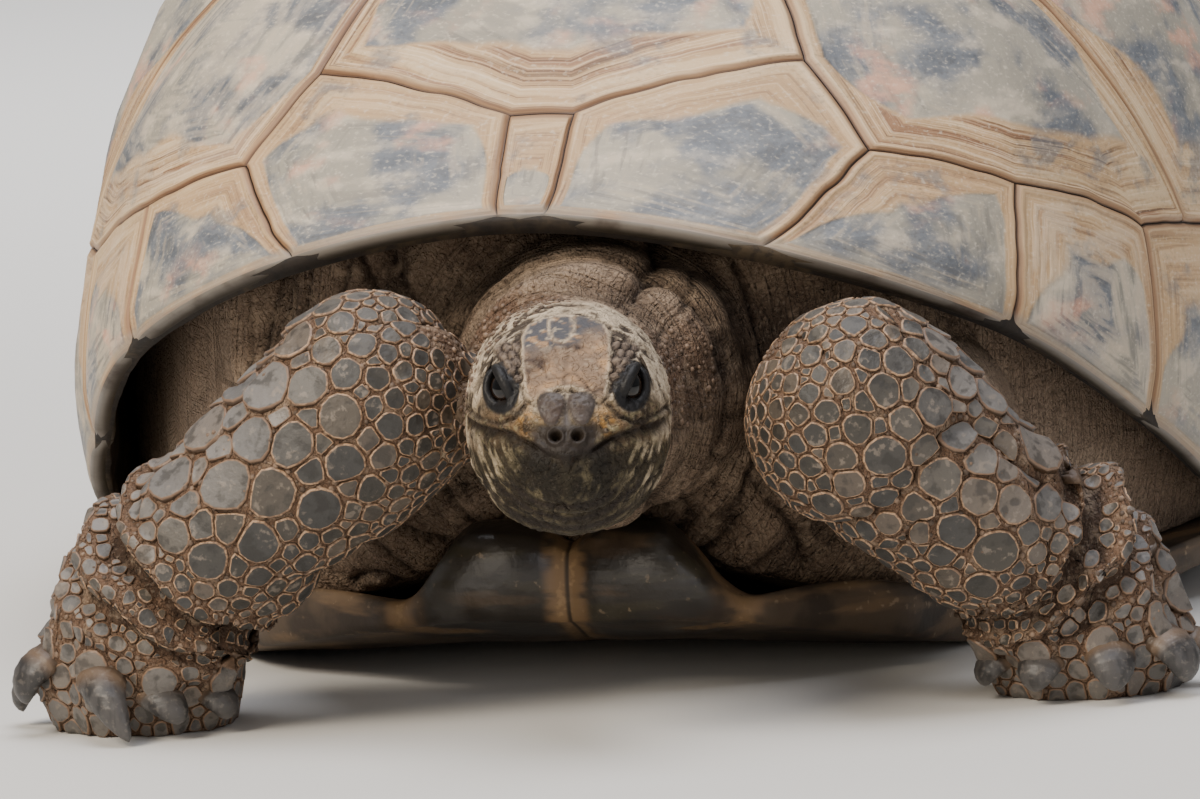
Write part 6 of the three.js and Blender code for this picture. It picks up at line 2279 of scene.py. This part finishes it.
@dataclass
class BeadCoat:
    """Small rounded scales strewn over the skin between the large ones."""

    spacing: float = 4.0
    width: float = 3.5
    seed: int = 7
    density: float = 60000.0
    corners: int = 12  # corners of one bead
    patch: float = 0.0015  # half width of a bead's place on the map of the coat

    def tree(self) -> Tree:
        """Node tree that strews beads over a surface where its mask allows them.

        Returns:
            The tree, with a named input for each size.
        """
        tree = bpy.data.node_groups.new("beads", "GeometryNodeTree")
        face = tree.interface
        face.new_socket("Geometry", in_out="INPUT", socket_type="NodeSocketGeometry")
        for name in ("Spacing", "Width", "Density"):
            face.new_socket(name, in_out="INPUT", socket_type="NodeSocketFloat")
        face.new_socket("Horn", in_out="INPUT", socket_type="NodeSocketMaterial")
        face.new_socket("Geometry", in_out="OUTPUT", socket_type="NodeSocketGeometry")
        given = add_node(tree, "NodeGroupInput").outputs
        mask = add_node(tree, "GeometryNodeInputNamedAttribute", {"Name": "beads"}, data_type="FLOAT")
        strewn = add_node(
            tree, "GeometryNodeDistributePointsOnFaces",
            {"Mesh": given["Geometry"], "Distance Min": given["Spacing"], "Density Max": given["Density"],
             "Density Factor": mask.outputs["Attribute"], "Seed": self.seed},
            distribute_method="POISSON",
        )
        bead = add_node(tree, "GeometryNodeMeshIcoSphere", {"Radius": 0.5, "Subdivisions": 1})
        flat = add_node(
            tree, "GeometryNodeTransform", {"Geometry": bead.outputs["Mesh"], "Scale": (1.0, 1.0, 0.62)}
        )
        size = add_node(
            tree, "FunctionNodeRandomValue", {2: 0.6, 3: 1.25, "Seed": self.seed + 1}, data_type="FLOAT"
        ).outputs[1]
        scale = add_node(tree, "ShaderNodeMath", {0: size, 1: given["Width"]}, operation="MULTIPLY")
        placed = add_node(
            tree, "GeometryNodeInstanceOnPoints",
            {"Points": strewn.outputs["Points"], "Instance": flat.outputs["Geometry"],
             "Rotation": strewn.outputs["Rotation"], "Scale": scale.outputs[0]},
        )
        real = add_node(tree, "GeometryNodeRealizeInstances", {"Geometry": placed.outputs["Instances"]})
        whole = {"Geometry": real.outputs["Geometry"], "Material": given["Horn"]}
        dressed = add_node(tree, "GeometryNodeSetMaterial", whole)
        add_node(tree, "NodeGroupOutput", {"Geometry": dressed.outputs["Geometry"]})
        return tree

    def build(self, name: str, skin: Piece, allowed: Array, horn: Material) -> Piece:
        """Makes the beads of one region.

        Args:
            name: the piece's name.
            skin: the surface they lie on.
            allowed: share of beads at each vertex of the skin.
            horn: their finish.

        Returns:
            The piece.
        """
        host = bpy.data.objects.new(name, skin.data.copy())
        bpy.context.scene.collection.objects.link(host)
        set_mask(host.data, "beads", allowed)
        tree = self.tree()
        strew = host.modifiers.new("beads", "NODES")
        strew.node_group = tree
        values = {"Spacing": self.spacing * 0.001, "Width": self.width * 0.001}
        values |= {"Density": self.density, "Horn": horn}
        for item in tree.interface.items_tree:
            if item.item_type == "SOCKET" and item.in_out == "INPUT" and item.name in values:
                strew[item.identifier] = values[item.name]
        apply_modifiers(host)
        mesh = host.data
        points = places_of(mesh).reshape(-1, self.corners, 3)
        points[..., 2] = np.maximum(points[..., 2], 0.2)
        place_points(mesh, points.reshape(-1, 3))
        set_chart(mesh, self.chart(points))
        mesh.shade_smooth()
        return finished(host, "scaly_hide")

    def chart(self, points: Array) -> Array:
        """Flat places of the beads' corners, round each bead's place on an unwrap of the body.

        Args:
            points: corners of each bead, shape (beads, corners, 3).

        Returns:
            Flat places, shape (n, 2).
        """
        roots = points.mean(axis=1)
        turn = np.arctan2(roots[:, 0], roots[:, 2] - 150) / (2 * math.pi) + 0.5
        root = 0.01 + 0.98 * np.stack([turn, np.clip((roots[:, 1] + 720) / 1320, 0, 1)], -1)
        offset = (points - roots[:, None])[..., [0, 2]]
        reach = np.linalg.norm(points - roots[:, None], axis=-1).max(axis=1)
        return (root[:, None] + offset / reach[:, None, None] * self.patch).reshape(-1, 2)


# ---- finishes


class Pattern(Enum):
    """Where the values of a field come from."""

    CLOUDS = "soft blotches"
    CELLS = "distance to the borders of small cells"
    CREASES = "0 in a net of fine creases and 1 between them"
    BANDS = "streaks that keep to the lines of a stored number"


@dataclass(frozen=True)
class Field:
    """Values over a surface, from 0 to 1."""

    pattern: Pattern = Pattern.CLOUDS
    source: str = ""  # the stored number whose lines it follows
    size: float = 10.0  # millimetres
    detail: float = 2.0
    stretch: tuple[float, float, float] = (1.0, 1.0, 1.0)
    seed: float = 0.0


Bounds = tuple[str, float, float]  # a field and the values over which it rises


@dataclass(frozen=True)
class Layer:
    """A colour that shows where all its fields are high."""

    code: str
    share: float
    masks: tuple[Bounds, ...]


@dataclass(frozen=True)
class Relief:
    """Height too fine for the mesh, in millimetres, where its fields are high."""

    field: str
    height: float
    masks: tuple[Bounds, ...] = ()


@dataclass(frozen=True)
class Finish:
    """One material, laid up in layers over a ground colour."""

    name: str
    ground: str  # a colour, or the name of a colour stored on the piece
    marks: tuple[str, ...] = ()  # numbers stored on the piece
    fields: tuple[tuple[str, Field], ...] = ()
    layers: tuple[Layer, ...] = ()
    reliefs: tuple[Relief, ...] = ()
    roughness: float = 0.6
    shine: tuple[tuple[float, tuple[Bounds, ...]], ...] = ()  # fall in roughness where fields are high
    settings: tuple[tuple[str, float], ...] = ()

    def material(self) -> Material:
        """Builds the material.

        Returns:
            The material.
        """
        made = bpy.data.materials.new(self.name)
        made.use_nodes = True
        tree = made.node_tree
        tree.nodes.clear()
        values = {name: self.value(tree, field) for name, field in self.fields}
        for name in self.marks:
            values[name] = add_node(tree, "ShaderNodeAttribute", attribute_name=name).outputs["Fac"]

        def amount(masks: tuple[Bounds, ...], share: float) -> Any:
            """A share of 1, or the socket of it, where all the fields are high."""
            result: Any = share
            for name, low, high in masks:
                rise = add_node(
                    tree, "ShaderNodeMapRange", {"Value": values[name], "From Min": low, "From Max": high},
                    interpolation_type="SMOOTHSTEP",
                )
                parts = {0: rise.outputs[0], 1: result}
                result = add_node(tree, "ShaderNodeMath", parts, operation="MULTIPLY").outputs[0]
            return result

        colour: Any
        if self.ground.startswith("#"):
            colour = (*linear(self.ground), 1)
        else:
            colour = add_node(tree, "ShaderNodeVertexColor", layer_name=self.ground).outputs["Color"]
        for layer in self.layers:
            parts = {0: amount(layer.masks, layer.share), 6: colour, 7: (*linear(layer.code), 1)}
            colour = add_node(tree, "ShaderNodeMix", parts, data_type="RGBA").outputs[2]
        rough: Any = self.roughness
        for fall, masks in self.shine:
            parts = {0: rough, 1: amount(masks, fall)}
            rough = add_node(tree, "ShaderNodeMath", parts, operation="SUBTRACT").outputs[0]
        under: dict[Any, Any] = {}
        for relief in self.reliefs:
            parts = {0: values[relief.field], 1: amount(relief.masks, 1.0)}
            height = add_node(tree, "ShaderNodeMath", parts, operation="MULTIPLY").outputs[0]
            inputs = {"Height": height, "Distance": relief.height * 0.001} | under
            under = {"Normal": add_node(tree, "ShaderNodeBump", inputs).outputs[0]}
        inputs = {"Base Color": colour, "Roughness": rough} | dict(self.settings) | under
        shader = add_node(tree, "ShaderNodeBsdfPrincipled", inputs)
        add_node(tree, "ShaderNodeOutputMaterial", {"Surface": shader.outputs[0]})
        return made

    @staticmethod
    def creased(tree: Tree, clouds: Any) -> Any:
        """Socket that is 0 along the middle heights of a noise and 1 a little away from them.

        Args:
            tree: the node tree.
            clouds: the noise node.

        Returns:
            The socket.
        """
        away = add_node(tree, "ShaderNodeMath", {0: clouds.outputs[0], 1: 0.5}, operation="SUBTRACT")
        far = add_node(tree, "ShaderNodeMath", {0: away.outputs[0]}, operation="ABSOLUTE")
        return add_node(
            tree, "ShaderNodeMath", {0: far.outputs[0], 1: 14.0}, operation="MULTIPLY", use_clamp=True
        ).outputs[0]

    @classmethod
    def value(cls, tree: Tree, field: Field) -> Any:
        """Adds the nodes of one field and gives the socket of its values.

        Args:
            tree: the node tree.
            field: the field.

        Returns:
            The socket.
        """
        stretch, scale = field.stretch, 1000 / field.size
        if field.source:
            stretch, scale = tuple(1000 / length for length in stretch), 1.0
        place = add_node(tree, "ShaderNodeTexCoord").outputs["Object"]
        mapped = {"Vector": place, "Location": (field.seed,) * 3, "Scale": stretch}
        at = add_node(tree, "ShaderNodeMapping", mapped).outputs[0]
        if field.source:
            stored = add_node(tree, "ShaderNodeAttribute", attribute_name=field.source).outputs["Fac"]
            lines = {0: stored, 1: 1 / field.size}
            across = add_node(tree, "ShaderNodeMath", lines, operation="MULTIPLY").outputs[0]
            offset = add_node(tree, "ShaderNodeCombineXYZ", {"X": across}).outputs[0]
            at = add_node(tree, "ShaderNodeVectorMath", {0: at, 1: offset}, operation="ADD").outputs[0]
        inputs = {"Vector": at, "Scale": scale}
        if field.pattern is Pattern.CELLS:
            cells = add_node(tree, "ShaderNodeTexVoronoi", inputs, feature="DISTANCE_TO_EDGE")
            return cells.outputs["Distance"]
        clouds = add_node(tree, "ShaderNodeTexNoise", inputs | {"Detail": field.detail})
        return cls.creased(tree, clouds) if field.pattern is Pattern.CREASES else clouds.outputs[0]


# Old weathered keratin, worn by rain and sand: dull grey in the middle of each scute, buff growth rings
# toward its seams, with dark dirt held in the seams, and painted shade greying the rim and darkening its
# underside.
CARAPACE_HORN = Finish(
    name="weathered_keratin",
    ground="#a59d8d",
    marks=("ring", "lip", "scute", "band"),
    fields=(
        ("lines", Field(Pattern.BANDS, "ring", size=1.5, detail=3, stretch=(90, 90, 90))),
        ("bands", Field(Pattern.BANDS, "ring", size=9, detail=4, stretch=(110, 110, 110), seed=4.0)),
        ("brush", Field(Pattern.BANDS, "ring", size=6, detail=6, stretch=(30, 30, 30), seed=9.0)),
        ("smear", Field(size=17, detail=6, stretch=(0.6, 0.6, 1.3), seed=6.0)),
        ("wide", Field(size=130, detail=3)),
        ("blotch", Field(size=48, detail=6, seed=3.0)),
        ("patch", Field(size=60, detail=5, seed=8.0)),
        ("fleck", Field(size=5, detail=4, seed=5.0)),
        ("speck", Field(size=2.6, detail=3, stretch=(0.8, 0.8, 1.3), seed=11.0)),
    ),
    layers=(
        Layer("#8f897b", 0.6, (("wide", 0.56, 0.4),)),
        Layer("#686e76", 0.88, (("blotch", 0.44, 0.59),)),
        Layer("#cdbfa9", 0.6, (("smear", 0.5, 0.68),)),
        Layer("#4d5259", 0.6, (("smear", 0.5, 0.34), ("blotch", 0.44, 0.6))),
        Layer("#bfae95", 0.4, (("brush", 0.52, 0.66), ("ring", 70, 40))),
        Layer("#5d5a57", 0.4, (("brush", 0.48, 0.34), ("ring", 70, 40))),
        Layer("#d29577", 0.6, (("patch", 0.54, 0.66), ("smear", 0.42, 0.6), ("ring", 5, 12))),
        Layer("#bd9b71", 0.93, (("band", 0.2, 0.7),)),
        Layer("#dcc39c", 0.6, (("bands", 0.52, 0.62), ("band", 0.4, 0.9))),
        Layer("#c4946c", 0.18, (("patch", 0.5, 0.6), ("bands", 0.44, 0.56), ("band", 0.4, 0.9))),
        Layer("#875f45", 0.75, (("bands", 0.47, 0.37), ("band", 0.55, 0.95))),
        Layer("#59402f", 0.8, (("lines", 0.54, 0.63), ("band", 0.55, 0.95), ("bands", 0.58, 0.46))),
        Layer("#ecd3b2", 0.45, (("lines", 0.46, 0.36), ("band", 0.5, 0.95))),
        Layer("#6e7276", 0.6, (("blotch", 0.53, 0.62), ("smear", 0.44, 0.56), ("ring", 4, 12))),
        Layer("#e3d6c0", 0.34, (("speck", 0.54, 0.74), ("ring", 2, 8))),
        Layer("#4a4640", 0.34, (("speck", 0.46, 0.3), ("blotch", 0.4, 0.6))),
        Layer("#866348", 0.7, (("ring", 4.2, 1.8),)),
        Layer("#4a3325", 0.8, (("ring", 1.2, 0.5),)),
        Layer("#1f150e", 0.8, (("ring", 0.4, 0.05),)),
        Layer("#dbc8ae", 0.35, (("scute", 0.5, 1.0), ("ring", 3, 12), ("brush", 0.4, 0.55))),
        # painted shade: greyer at the rim's edge and dark on the rim's underside
        Layer("#8c867c", 0.6, (("lip", 0.25, 0.9), ("blotch", 0.3, 0.5))),
        Layer("#3a3429", 0.93, (("lip", 1.04, 1.45),)),
    ),
    reliefs=(
        Relief("lines", 0.4, (("band", 0.1, 0.8),)), Relief("bands", 1.2, (("band", 0.0, 0.8),)),
        Relief("brush", 0.5, (("ring", 60, 20),)), Relief("smear", 0.6), Relief("blotch", 1.0),
        Relief("fleck", 0.45, (("ring", 2, 10),)),
    ),
    roughness=0.68,
    shine=((0.16, (("blotch", 0.4, 0.6),)),),
)
# Bone and thin horn inside the shell: brown-black and dull.
SHELL_WALL = Finish(
    name="stained_shell_bone",
    ground="#231b13",
    fields=(
        ("blotch", Field(size=45, detail=5)),
        ("fine", Field(size=7, detail=4)),
    ),
    layers=(
        Layer("#51432f", 0.75, (("blotch", 0.46, 0.62),)),
        Layer("#120d09", 0.6, (("fine", 0.5, 0.38),)),
    ),
    reliefs=(Relief("fine", 0.8),),
    roughness=0.8,
)
# Keratin polished by dragging over the ground: dark, smooth and a little glossy, buff beside the seams.
PLASTRON_HORN = Finish(
    name="ground_polished_keratin",
    ground="#4d3f30",
    marks=("seam", "throat"),
    fields=(
        ("blotch", Field(size=38, detail=5)),
        ("fine", Field(size=5, detail=4, seed=2.0)),
        ("streak", Field(size=26, detail=5, stretch=(0.35, 0.35, 1.6), seed=5.0)),
    ),
    layers=(
        Layer("#2b2118", 0.8, (("blotch", 0.56, 0.4),)),
        Layer("#7a6145", 0.55, (("streak", 0.52, 0.66),)),
        Layer("#2a2621", 0.93, (("throat", 0.3, 0.8), ("streak", 0.36, 0.46))),
        Layer("#5d5a56", 0.5, (("throat", 0.4, 0.9), ("blotch", 0.5, 0.66))),
        Layer("#3b3626", 0.5, (("throat", 0.4, 0.9), ("streak", 0.5, 0.6))),
        Layer("#7c6245", 0.9, (("seam", 15, 8), ("streak", 0.4, 0.5))),
        Layer("#806647", 0.85, (("seam", 9.5, 4.5),)),
        Layer("#a88a63", 0.4, (("seam", 8, 4), ("fine", 0.5, 0.62))),
        Layer("#1c140d", 0.85, (("seam", 2.2, 0.8),)),
        Layer("#b49b7c", 0.35, (("fine", 0.6, 0.7), ("streak", 0.5, 0.62))),
    ),
    reliefs=(Relief("fine", 0.35), Relief("streak", 0.8)),
    roughness=0.62,
    shine=((0.34, (("throat", 0.4, 0.9), ("seam", 4, 12))),),
)
# Dry reptile hide, grown as fine pebbles with creases between them: matt on the body and waxy on the
# shields of the head, with painted shade in the grooves between the pebbles and in the creases.
LIVING_HIDE = Finish(
    name="pebbled_hide",
    ground="paint",
    marks=("gloss", "head"),
    fields=(
        ("pebble", Field(Pattern.CELLS, size=3.0)), ("grain", Field(size=2.0, detail=4)),
        ("mottle", Field(size=14, detail=4, seed=4.0)),
        ("crease", Field(Pattern.CREASES, "spread", size=9, detail=2, stretch=(55, 55, 55), seed=7.0)),
        ("fan", Field(Pattern.CREASES, "turn", size=5, detail=2, stretch=(70, 70, 70), seed=3.0)),
        ("wrinkle", Field(Pattern.CREASES, size=5, detail=2, seed=1.0)),
    ),
    layers=(
        # painted shade: the grooves between the pebbles and the creases darkened
        Layer("#1d150f", 0.4, (("pebble", 0.09, 0.0), ("head", 0.9, 0.1))),
        Layer("#a8937c", 0.35, (("mottle", 0.52, 0.66), ("head", 0.9, 0.1))),
        Layer("#2f2319", 0.42, (("crease", 0.22, 0.0), ("head", 0.9, 0.1))),
        Layer("#2f2319", 0.26, (("fan", 0.2, 0.0), ("head", 0.9, 0.1), ("mottle", 0.4, 0.56))),
        Layer("#2a1f16", 0.4, (("wrinkle", 0.3, 0.0), ("gloss", 0.6, 0.35))),
        Layer("#1a140f", 0.25, (("grain", 0.46, 0.3),)),
        Layer("#d9c8b2", 0.12, (("grain", 0.54, 0.7), ("gloss", 0.45, 0.3))),
    ),
    reliefs=(
        Relief("crease", 1.0, (("head", 0.9, 0.1),)), Relief("fan", 0.5, (("head", 0.9, 0.1),)),
        Relief("wrinkle", 0.5, (("gloss", 0.6, 0.35),)),
        Relief("pebble", 1.0, (("head", 0.9, 0.1),)), Relief("pebble", 0.25, (("head", 0.1, 0.9),)),
        Relief("grain", 0.35),
    ),
    roughness=0.82,
    shine=((0.62, (("gloss", 0.1, 1.0),)),),
    settings=(("Specular IOR Level", 0.24),),
)
# Thick horny scales, rubbed by the ground: slate grey plates with paler buff rims, lighter where they face up
# and out as painted top light and darker where they face down as painted shade.
SCALE_HORN = Finish(
    name="horny_scale",
    ground="#4f4a42",
    marks=("rim", "tone", "pale"),
    fields=(
        ("grain", Field(size=2.4, detail=4)),
        ("mottle", Field(size=9, detail=5, seed=6.0)),
        ("scratch", Field(size=4, detail=3, stretch=(1.0, 0.35, 1.0), seed=2.0)),
    ),
    layers=(
        # painted shade on scales that face down and painted top light on those that face up and out
        Layer("#2b2822", 0.85, (("pale", 0.6, 0.15),)),
        Layer("#7a7570", 0.8, (("pale", 0.5, 1.0),)),
        Layer("#3d3d3d", 0.5, (("tone", 0.5, 0.2),)),
        Layer("#6c5f52", 0.5, (("tone", 0.6, 0.9),)),
        Layer("#24211d", 0.6, (("mottle", 0.5, 0.38),)),
        Layer("#8f8274", 0.45, (("mottle", 0.54, 0.64), ("scratch", 0.48, 0.58))),
        Layer("#7a5f49", 0.9, (("rim", 0.14, 0.42),)),
        Layer("#c6a27e", 0.6, (("rim", 0.25, 0.42), ("grain", 0.42, 0.58), ("pale", 0.95, 0.5))),
        Layer("#453425", 0.93, (("rim", 0.62, 0.9),)),
    ),
    reliefs=(Relief("grain", 0.3), Relief("mottle", 0.9), Relief("scratch", 0.5)),
    roughness=0.56,
    shine=((0.14, (("tone", 0.3, 0.9),)),),
)
# Small granules of horn between the large scales, full of dust: brown and matt.
GRANULE_HORN = Finish(
    name="granular_scale",
    ground="#665343",
    fields=(
        ("tone", Field(size=11, detail=3, seed=2.0)),
        ("grain", Field(size=2)),
    ),
    layers=(Layer("#3d3025", 0.7, (("tone", 0.52, 0.38),)), Layer("#9a8069", 0.6, (("tone", 0.52, 0.64),))),
    reliefs=(Relief("grain", 0.2),),
    roughness=0.66,
)
# Solid keratin ground down by walking: grey and faintly lined along its length, tan at the root.
CLAW_HORN = Finish(
    name="worn_claw_keratin",
    ground="#454240",
    marks=("length",),
    fields=(
        ("grain", Field(size=3, detail=4)),
        ("streak", Field(size=12, detail=5, stretch=(1.6, 1.6, 0.3))),
        ("rings", Field(Pattern.BANDS, "length", size=0.05, detail=2, stretch=(40, 40, 40))),
    ),
    layers=(
        Layer("#262423", 0.8, (("streak", 0.44, 0.58),)),
        Layer("#6f5a46", 0.85, (("length", 0.52, 0.3),)),
        Layer("#6a6765", 0.35, (("length", 0.8, 1.0),)),
        Layer("#3a2d22", 0.7, (("length", 0.36, 0.24),)),
        Layer("#8d8378", 0.2, (("grain", 0.54, 0.66),)),
    ),
    reliefs=(Relief("grain", 0.3), Relief("rings", 0.3)),
    roughness=0.46,
)
# Tear film over a clear cornea, with a nearly black iris behind it: mirror-bright highlights on a dark ball.
WET_EYE = Finish(
    name="wet_eye",
    ground="#0d0906",
    marks=("gaze",),
    fields=(("fibre", Field(size=1.2, detail=4)),),
    layers=(
        Layer("#2c1b0e", 0.8, (("gaze", 0.8, 0.86), ("fibre", 0.4, 0.6))),
        Layer("#040303", 1.0, (("gaze", 0.93, 0.945),)),
    ),
    roughness=0.06,
    settings=(("IOR", 1.38), ("Coat Weight", 0.35), ("Coat Roughness", 0.02)),
)
# Matt studio paper: even and pale, with no pattern to see.
STUDIO_PAPER = Finish(name="studio_paper", ground="#d8d6d1", roughness=0.95)


# ---- studio


@dataclass
class Studio:
    """Pale floor, soft lamps and the camera."""

    floor_radius: float = 24.0
    azimuth: float = 11.0
    elevation: float = 7.0
    roll: float = -2.5
    distance: float = 4.2
    target: tuple[float, float, float] = (0.060, -0.60, 0.18)
    focal_pixels: float = 7933.0
    frame_width: float = 1200.0
    # name, place, size, power and tint of each lamp, and where it aims if not at the animal
    lamps: tuple[tuple[Any, ...], ...] = (
        ("key", (-2.2, -3.6, 3.4), 2.0, 245, "#fff3e2"), ("top", (0.2, -0.5, 4.6), 3.4, 205, "#f6f7ff"),
        ("fill", (3.4, -3.2, 1.6), 2.6, 34, "#f2f4ff"), ("low", (-0.5, -4.6, 0.9), 2.0, 32, "#fff2e0"),
        ("floor", (-0.5, 3.4, 4.5), 4.0, 420, "#fbfbff", (-1.2, 7.5, 0.0)),
    )

    def build_floor(self) -> Piece:
        """Makes the wide flat floor.

        Returns:
            The floor.
        """
        angle = turns(96)
        rim = np.column_stack([np.cos(angle), np.sin(angle), np.zeros(len(angle))]) * self.floor_radius
        mesh = bpy.data.meshes.new("floor")
        mesh.from_pydata(rim.tolist(), [], [tuple(range(len(angle)))])
        mesh.materials.append(STUDIO_PAPER.material())
        floor = bpy.data.objects.new("floor", mesh)
        bpy.context.scene.collection.objects.link(floor)
        floor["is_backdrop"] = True
        return floor

    def add_lamp(
        self, name: str, place: tuple[float, ...], size: float, power: float, tint: str,
        aim_at: tuple[float, ...] = (0.0, -0.1, 0.2),
    ) -> None:
        """Hangs a square soft lamp, aimed at the animal if nothing else is given.

        Args:
            name: the lamp's name.
            place: where it hangs, in metres.
            size: its width.
            power: its power in watts.
            tint: its colour.
            aim_at: where it points.
        """
        lamp = bpy.data.lights.new(name, "AREA")
        lamp.shape, lamp.size, lamp.energy = "SQUARE", size, power
        lamp.color = linear(tint)
        holder = bpy.data.objects.new(name, lamp)
        aim = Vector(aim_at) - Vector(place)
        holder.location = place
        holder.rotation_euler = aim.to_track_quat("-Z", "Y").to_euler()
        bpy.context.scene.collection.objects.link(holder)

    def light(self) -> None:
        """Sets the lamps and the soft surround."""
        for lamp in self.lamps:
            self.add_lamp(*lamp)
        world = bpy.data.worlds.new("surround")
        bpy.context.scene.world = world
        world.use_nodes = True
        world.node_tree.nodes.clear()
        grey = (*linear("#e2e4e6"), 1)
        sky = add_node(world.node_tree, "ShaderNodeBackground", {"Color": grey, "Strength": 0.27})
        add_node(world.node_tree, "ShaderNodeOutputWorld", {"Surface": sky.outputs[0]})

    def add_camera(self) -> None:
        """Sets the camera: its place on a ball round the target, and its tilt."""
        turn, rise, roll = (math.radians(value) for value in (self.azimuth, self.elevation, self.roll))
        back = Vector((math.sin(turn) * math.cos(rise), -math.cos(turn) * math.cos(rise), math.sin(rise)))
        level = Vector((math.cos(turn), math.sin(turn), 0))
        above = back.cross(level)
        right = level * math.cos(roll) + above * math.sin(roll)
        up = above * math.cos(roll) - level * math.sin(roll)
        lens = bpy.data.cameras.new("camera")
        lens.sensor_width = 36.0
        lens.lens = self.focal_pixels * lens.sensor_width / self.frame_width
        holder = bpy.data.objects.new("camera", lens)
        holder.matrix_world = Matrix((right, up, back)).transposed().to_4x4()
        holder.location = Vector(self.target) + back * self.distance
        bpy.context.scene.collection.objects.link(holder)
        bpy.context.scene.camera = holder


# ---- the whole animal


FORE_CLAWS = {
    Side.RIGHT: (
        Claw(-68, 24, 14, 28, tip=8), Claw(-36, 30, 15, 42, tip=18), Claw(3, 44, 16, 36, slant=28, blunt=2.0),
        Claw(36, 24, 13, 24, slant=10, tip=9), Claw(70, 20, 12, 22, tip=8),
    ),
    Side.LEFT: (
        Claw(-68, 18, 12, 22, tip=8), Claw(-36, 24, 13, 24, tip=8), Claw(0, 28, 14, 28, tip=8),
        Claw(36, 30, 15, 30, tip=8), Claw(70, 24, 13, 26, tip=8),
    ),
}
HIND_CLAWS = (Claw(-48, 28, 11, 24), Claw(-16, 34, 12, 26), Claw(16, 34, 12, 26), Claw(48, 28, 11, 24))
CLAW_REACH = 60.0  # from the middle of the sole to where a claw leaves the foot


def build_shell() -> None:
    """Makes the carapace and the plastron."""
    carapace = Carapace(ShellSurface(), ScuteLayout())
    horn = CARAPACE_HORN.material()
    carapace.build_scutes((Row.VERTEBRAL,), "vertebral_scutes", horn)
    carapace.build_scutes((Row.COSTAL,), "costal_scutes", horn)
    carapace.build_scutes((Row.MARGINAL,), "marginal_scutes", horn)
    carapace.build_wall(SHELL_WALL.material())
    Plastron().build(PLASTRON_HORN.material())


def build_animal(trunk: Piece) -> None:
    """Makes the skin with everything that grows on it.

    Args:
        trunk: the solid between the shells.
    """
    head = Head()
    forelegs = {side: foreleg(side) for side in Side}
    hind_legs = {side: hind_leg(side) for side in Side}
    limbs = [*forelegs.values(), *hind_legs.values(), tail()]
    limbs += [make(side) for side in Side for make in (upper_arm, thigh)]
    skin = Skin(head, limbs, trunk).build(LIVING_HIDE.material())
    probe = SkinProbe(skin)
    points, granule = places_of(skin.data), GRANULE_HORN.material()
    open_skin = smooth(4, 8, points[:, 2]) * smooth(0.5, 0.1, hollows(skin.data, points))

    def near(name: str, far: float) -> Array:
        """Nearness of the skin to the limbs with a name."""
        return limb_share(limbs, points, (name,), far)

    behind = np.maximum(np.maximum(near("tail", 52), near("thigh", 52)), near("hind_leg", 72))
    front = np.maximum(near("foreleg", 78), near("upper_arm", 70))
    beads = BeadCoat()
    beads.build("beads_forelegs", skin, front * open_skin * (points[:, 1] < -410), granule)
    beads.build("beads_behind", skin, behind * open_skin * (points[:, 1] > 330), granule)
    horn, claw_horn, wet = SCALE_HORN.material(), CLAW_HORN.material(), WET_EYE.material()
    for side in Side:
        head.build_eye(side, wet)
        outer, largest = (side.value * 0.75, -0.55, 0.6), 27 if side is Side.RIGHT else 23
        ScaleCoat(forelegs[side], outer, largest, seed=3 + side.value).build(probe, horn)
        ScaleCoat(
            hind_legs[side], (side.value * 0.6, 0.7, 0.4), largest=20, smallest=9, tries=2200, start=0.12,
            seed=8 + side.value,
        ).build(probe, horn)
        ClawSet(side, forelegs[side], FORE_CLAWS[side], CLAW_REACH, "fore_claw").build(claw_horn)
        ClawSet(side, hind_legs[side], HIND_CLAWS, CLAW_REACH, "hind_claw").build(claw_horn)


def main() -> None:
    """Builds the animal and its studio, and works out how large it came out."""
    logging.basicConfig(level=logging.INFO, format="%(name)s %(message)s")
    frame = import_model()
    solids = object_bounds()
    build_shell()
    build_animal(frame["nodes"]["torso"])
    studio = Studio()
    studio.build_floor()
    studio.light()
    studio.add_camera()
    {"solids": listed(solids), "dressed": listed(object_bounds())}


def listed(value: Any) -> Any:
    """Vectors and tuples turned to plain lists.

    Args:
        value: any nest of them.

    Returns:
        The same as lists, numbers and words.
    """
    if isinstance(value, dict):
        return {key: listed(item) for key, item in value.items()}
    if isinstance(value, (str, int, float)):
        return value
    return [listed(item) for item in value]


if __name__ == "__main__":
    main()
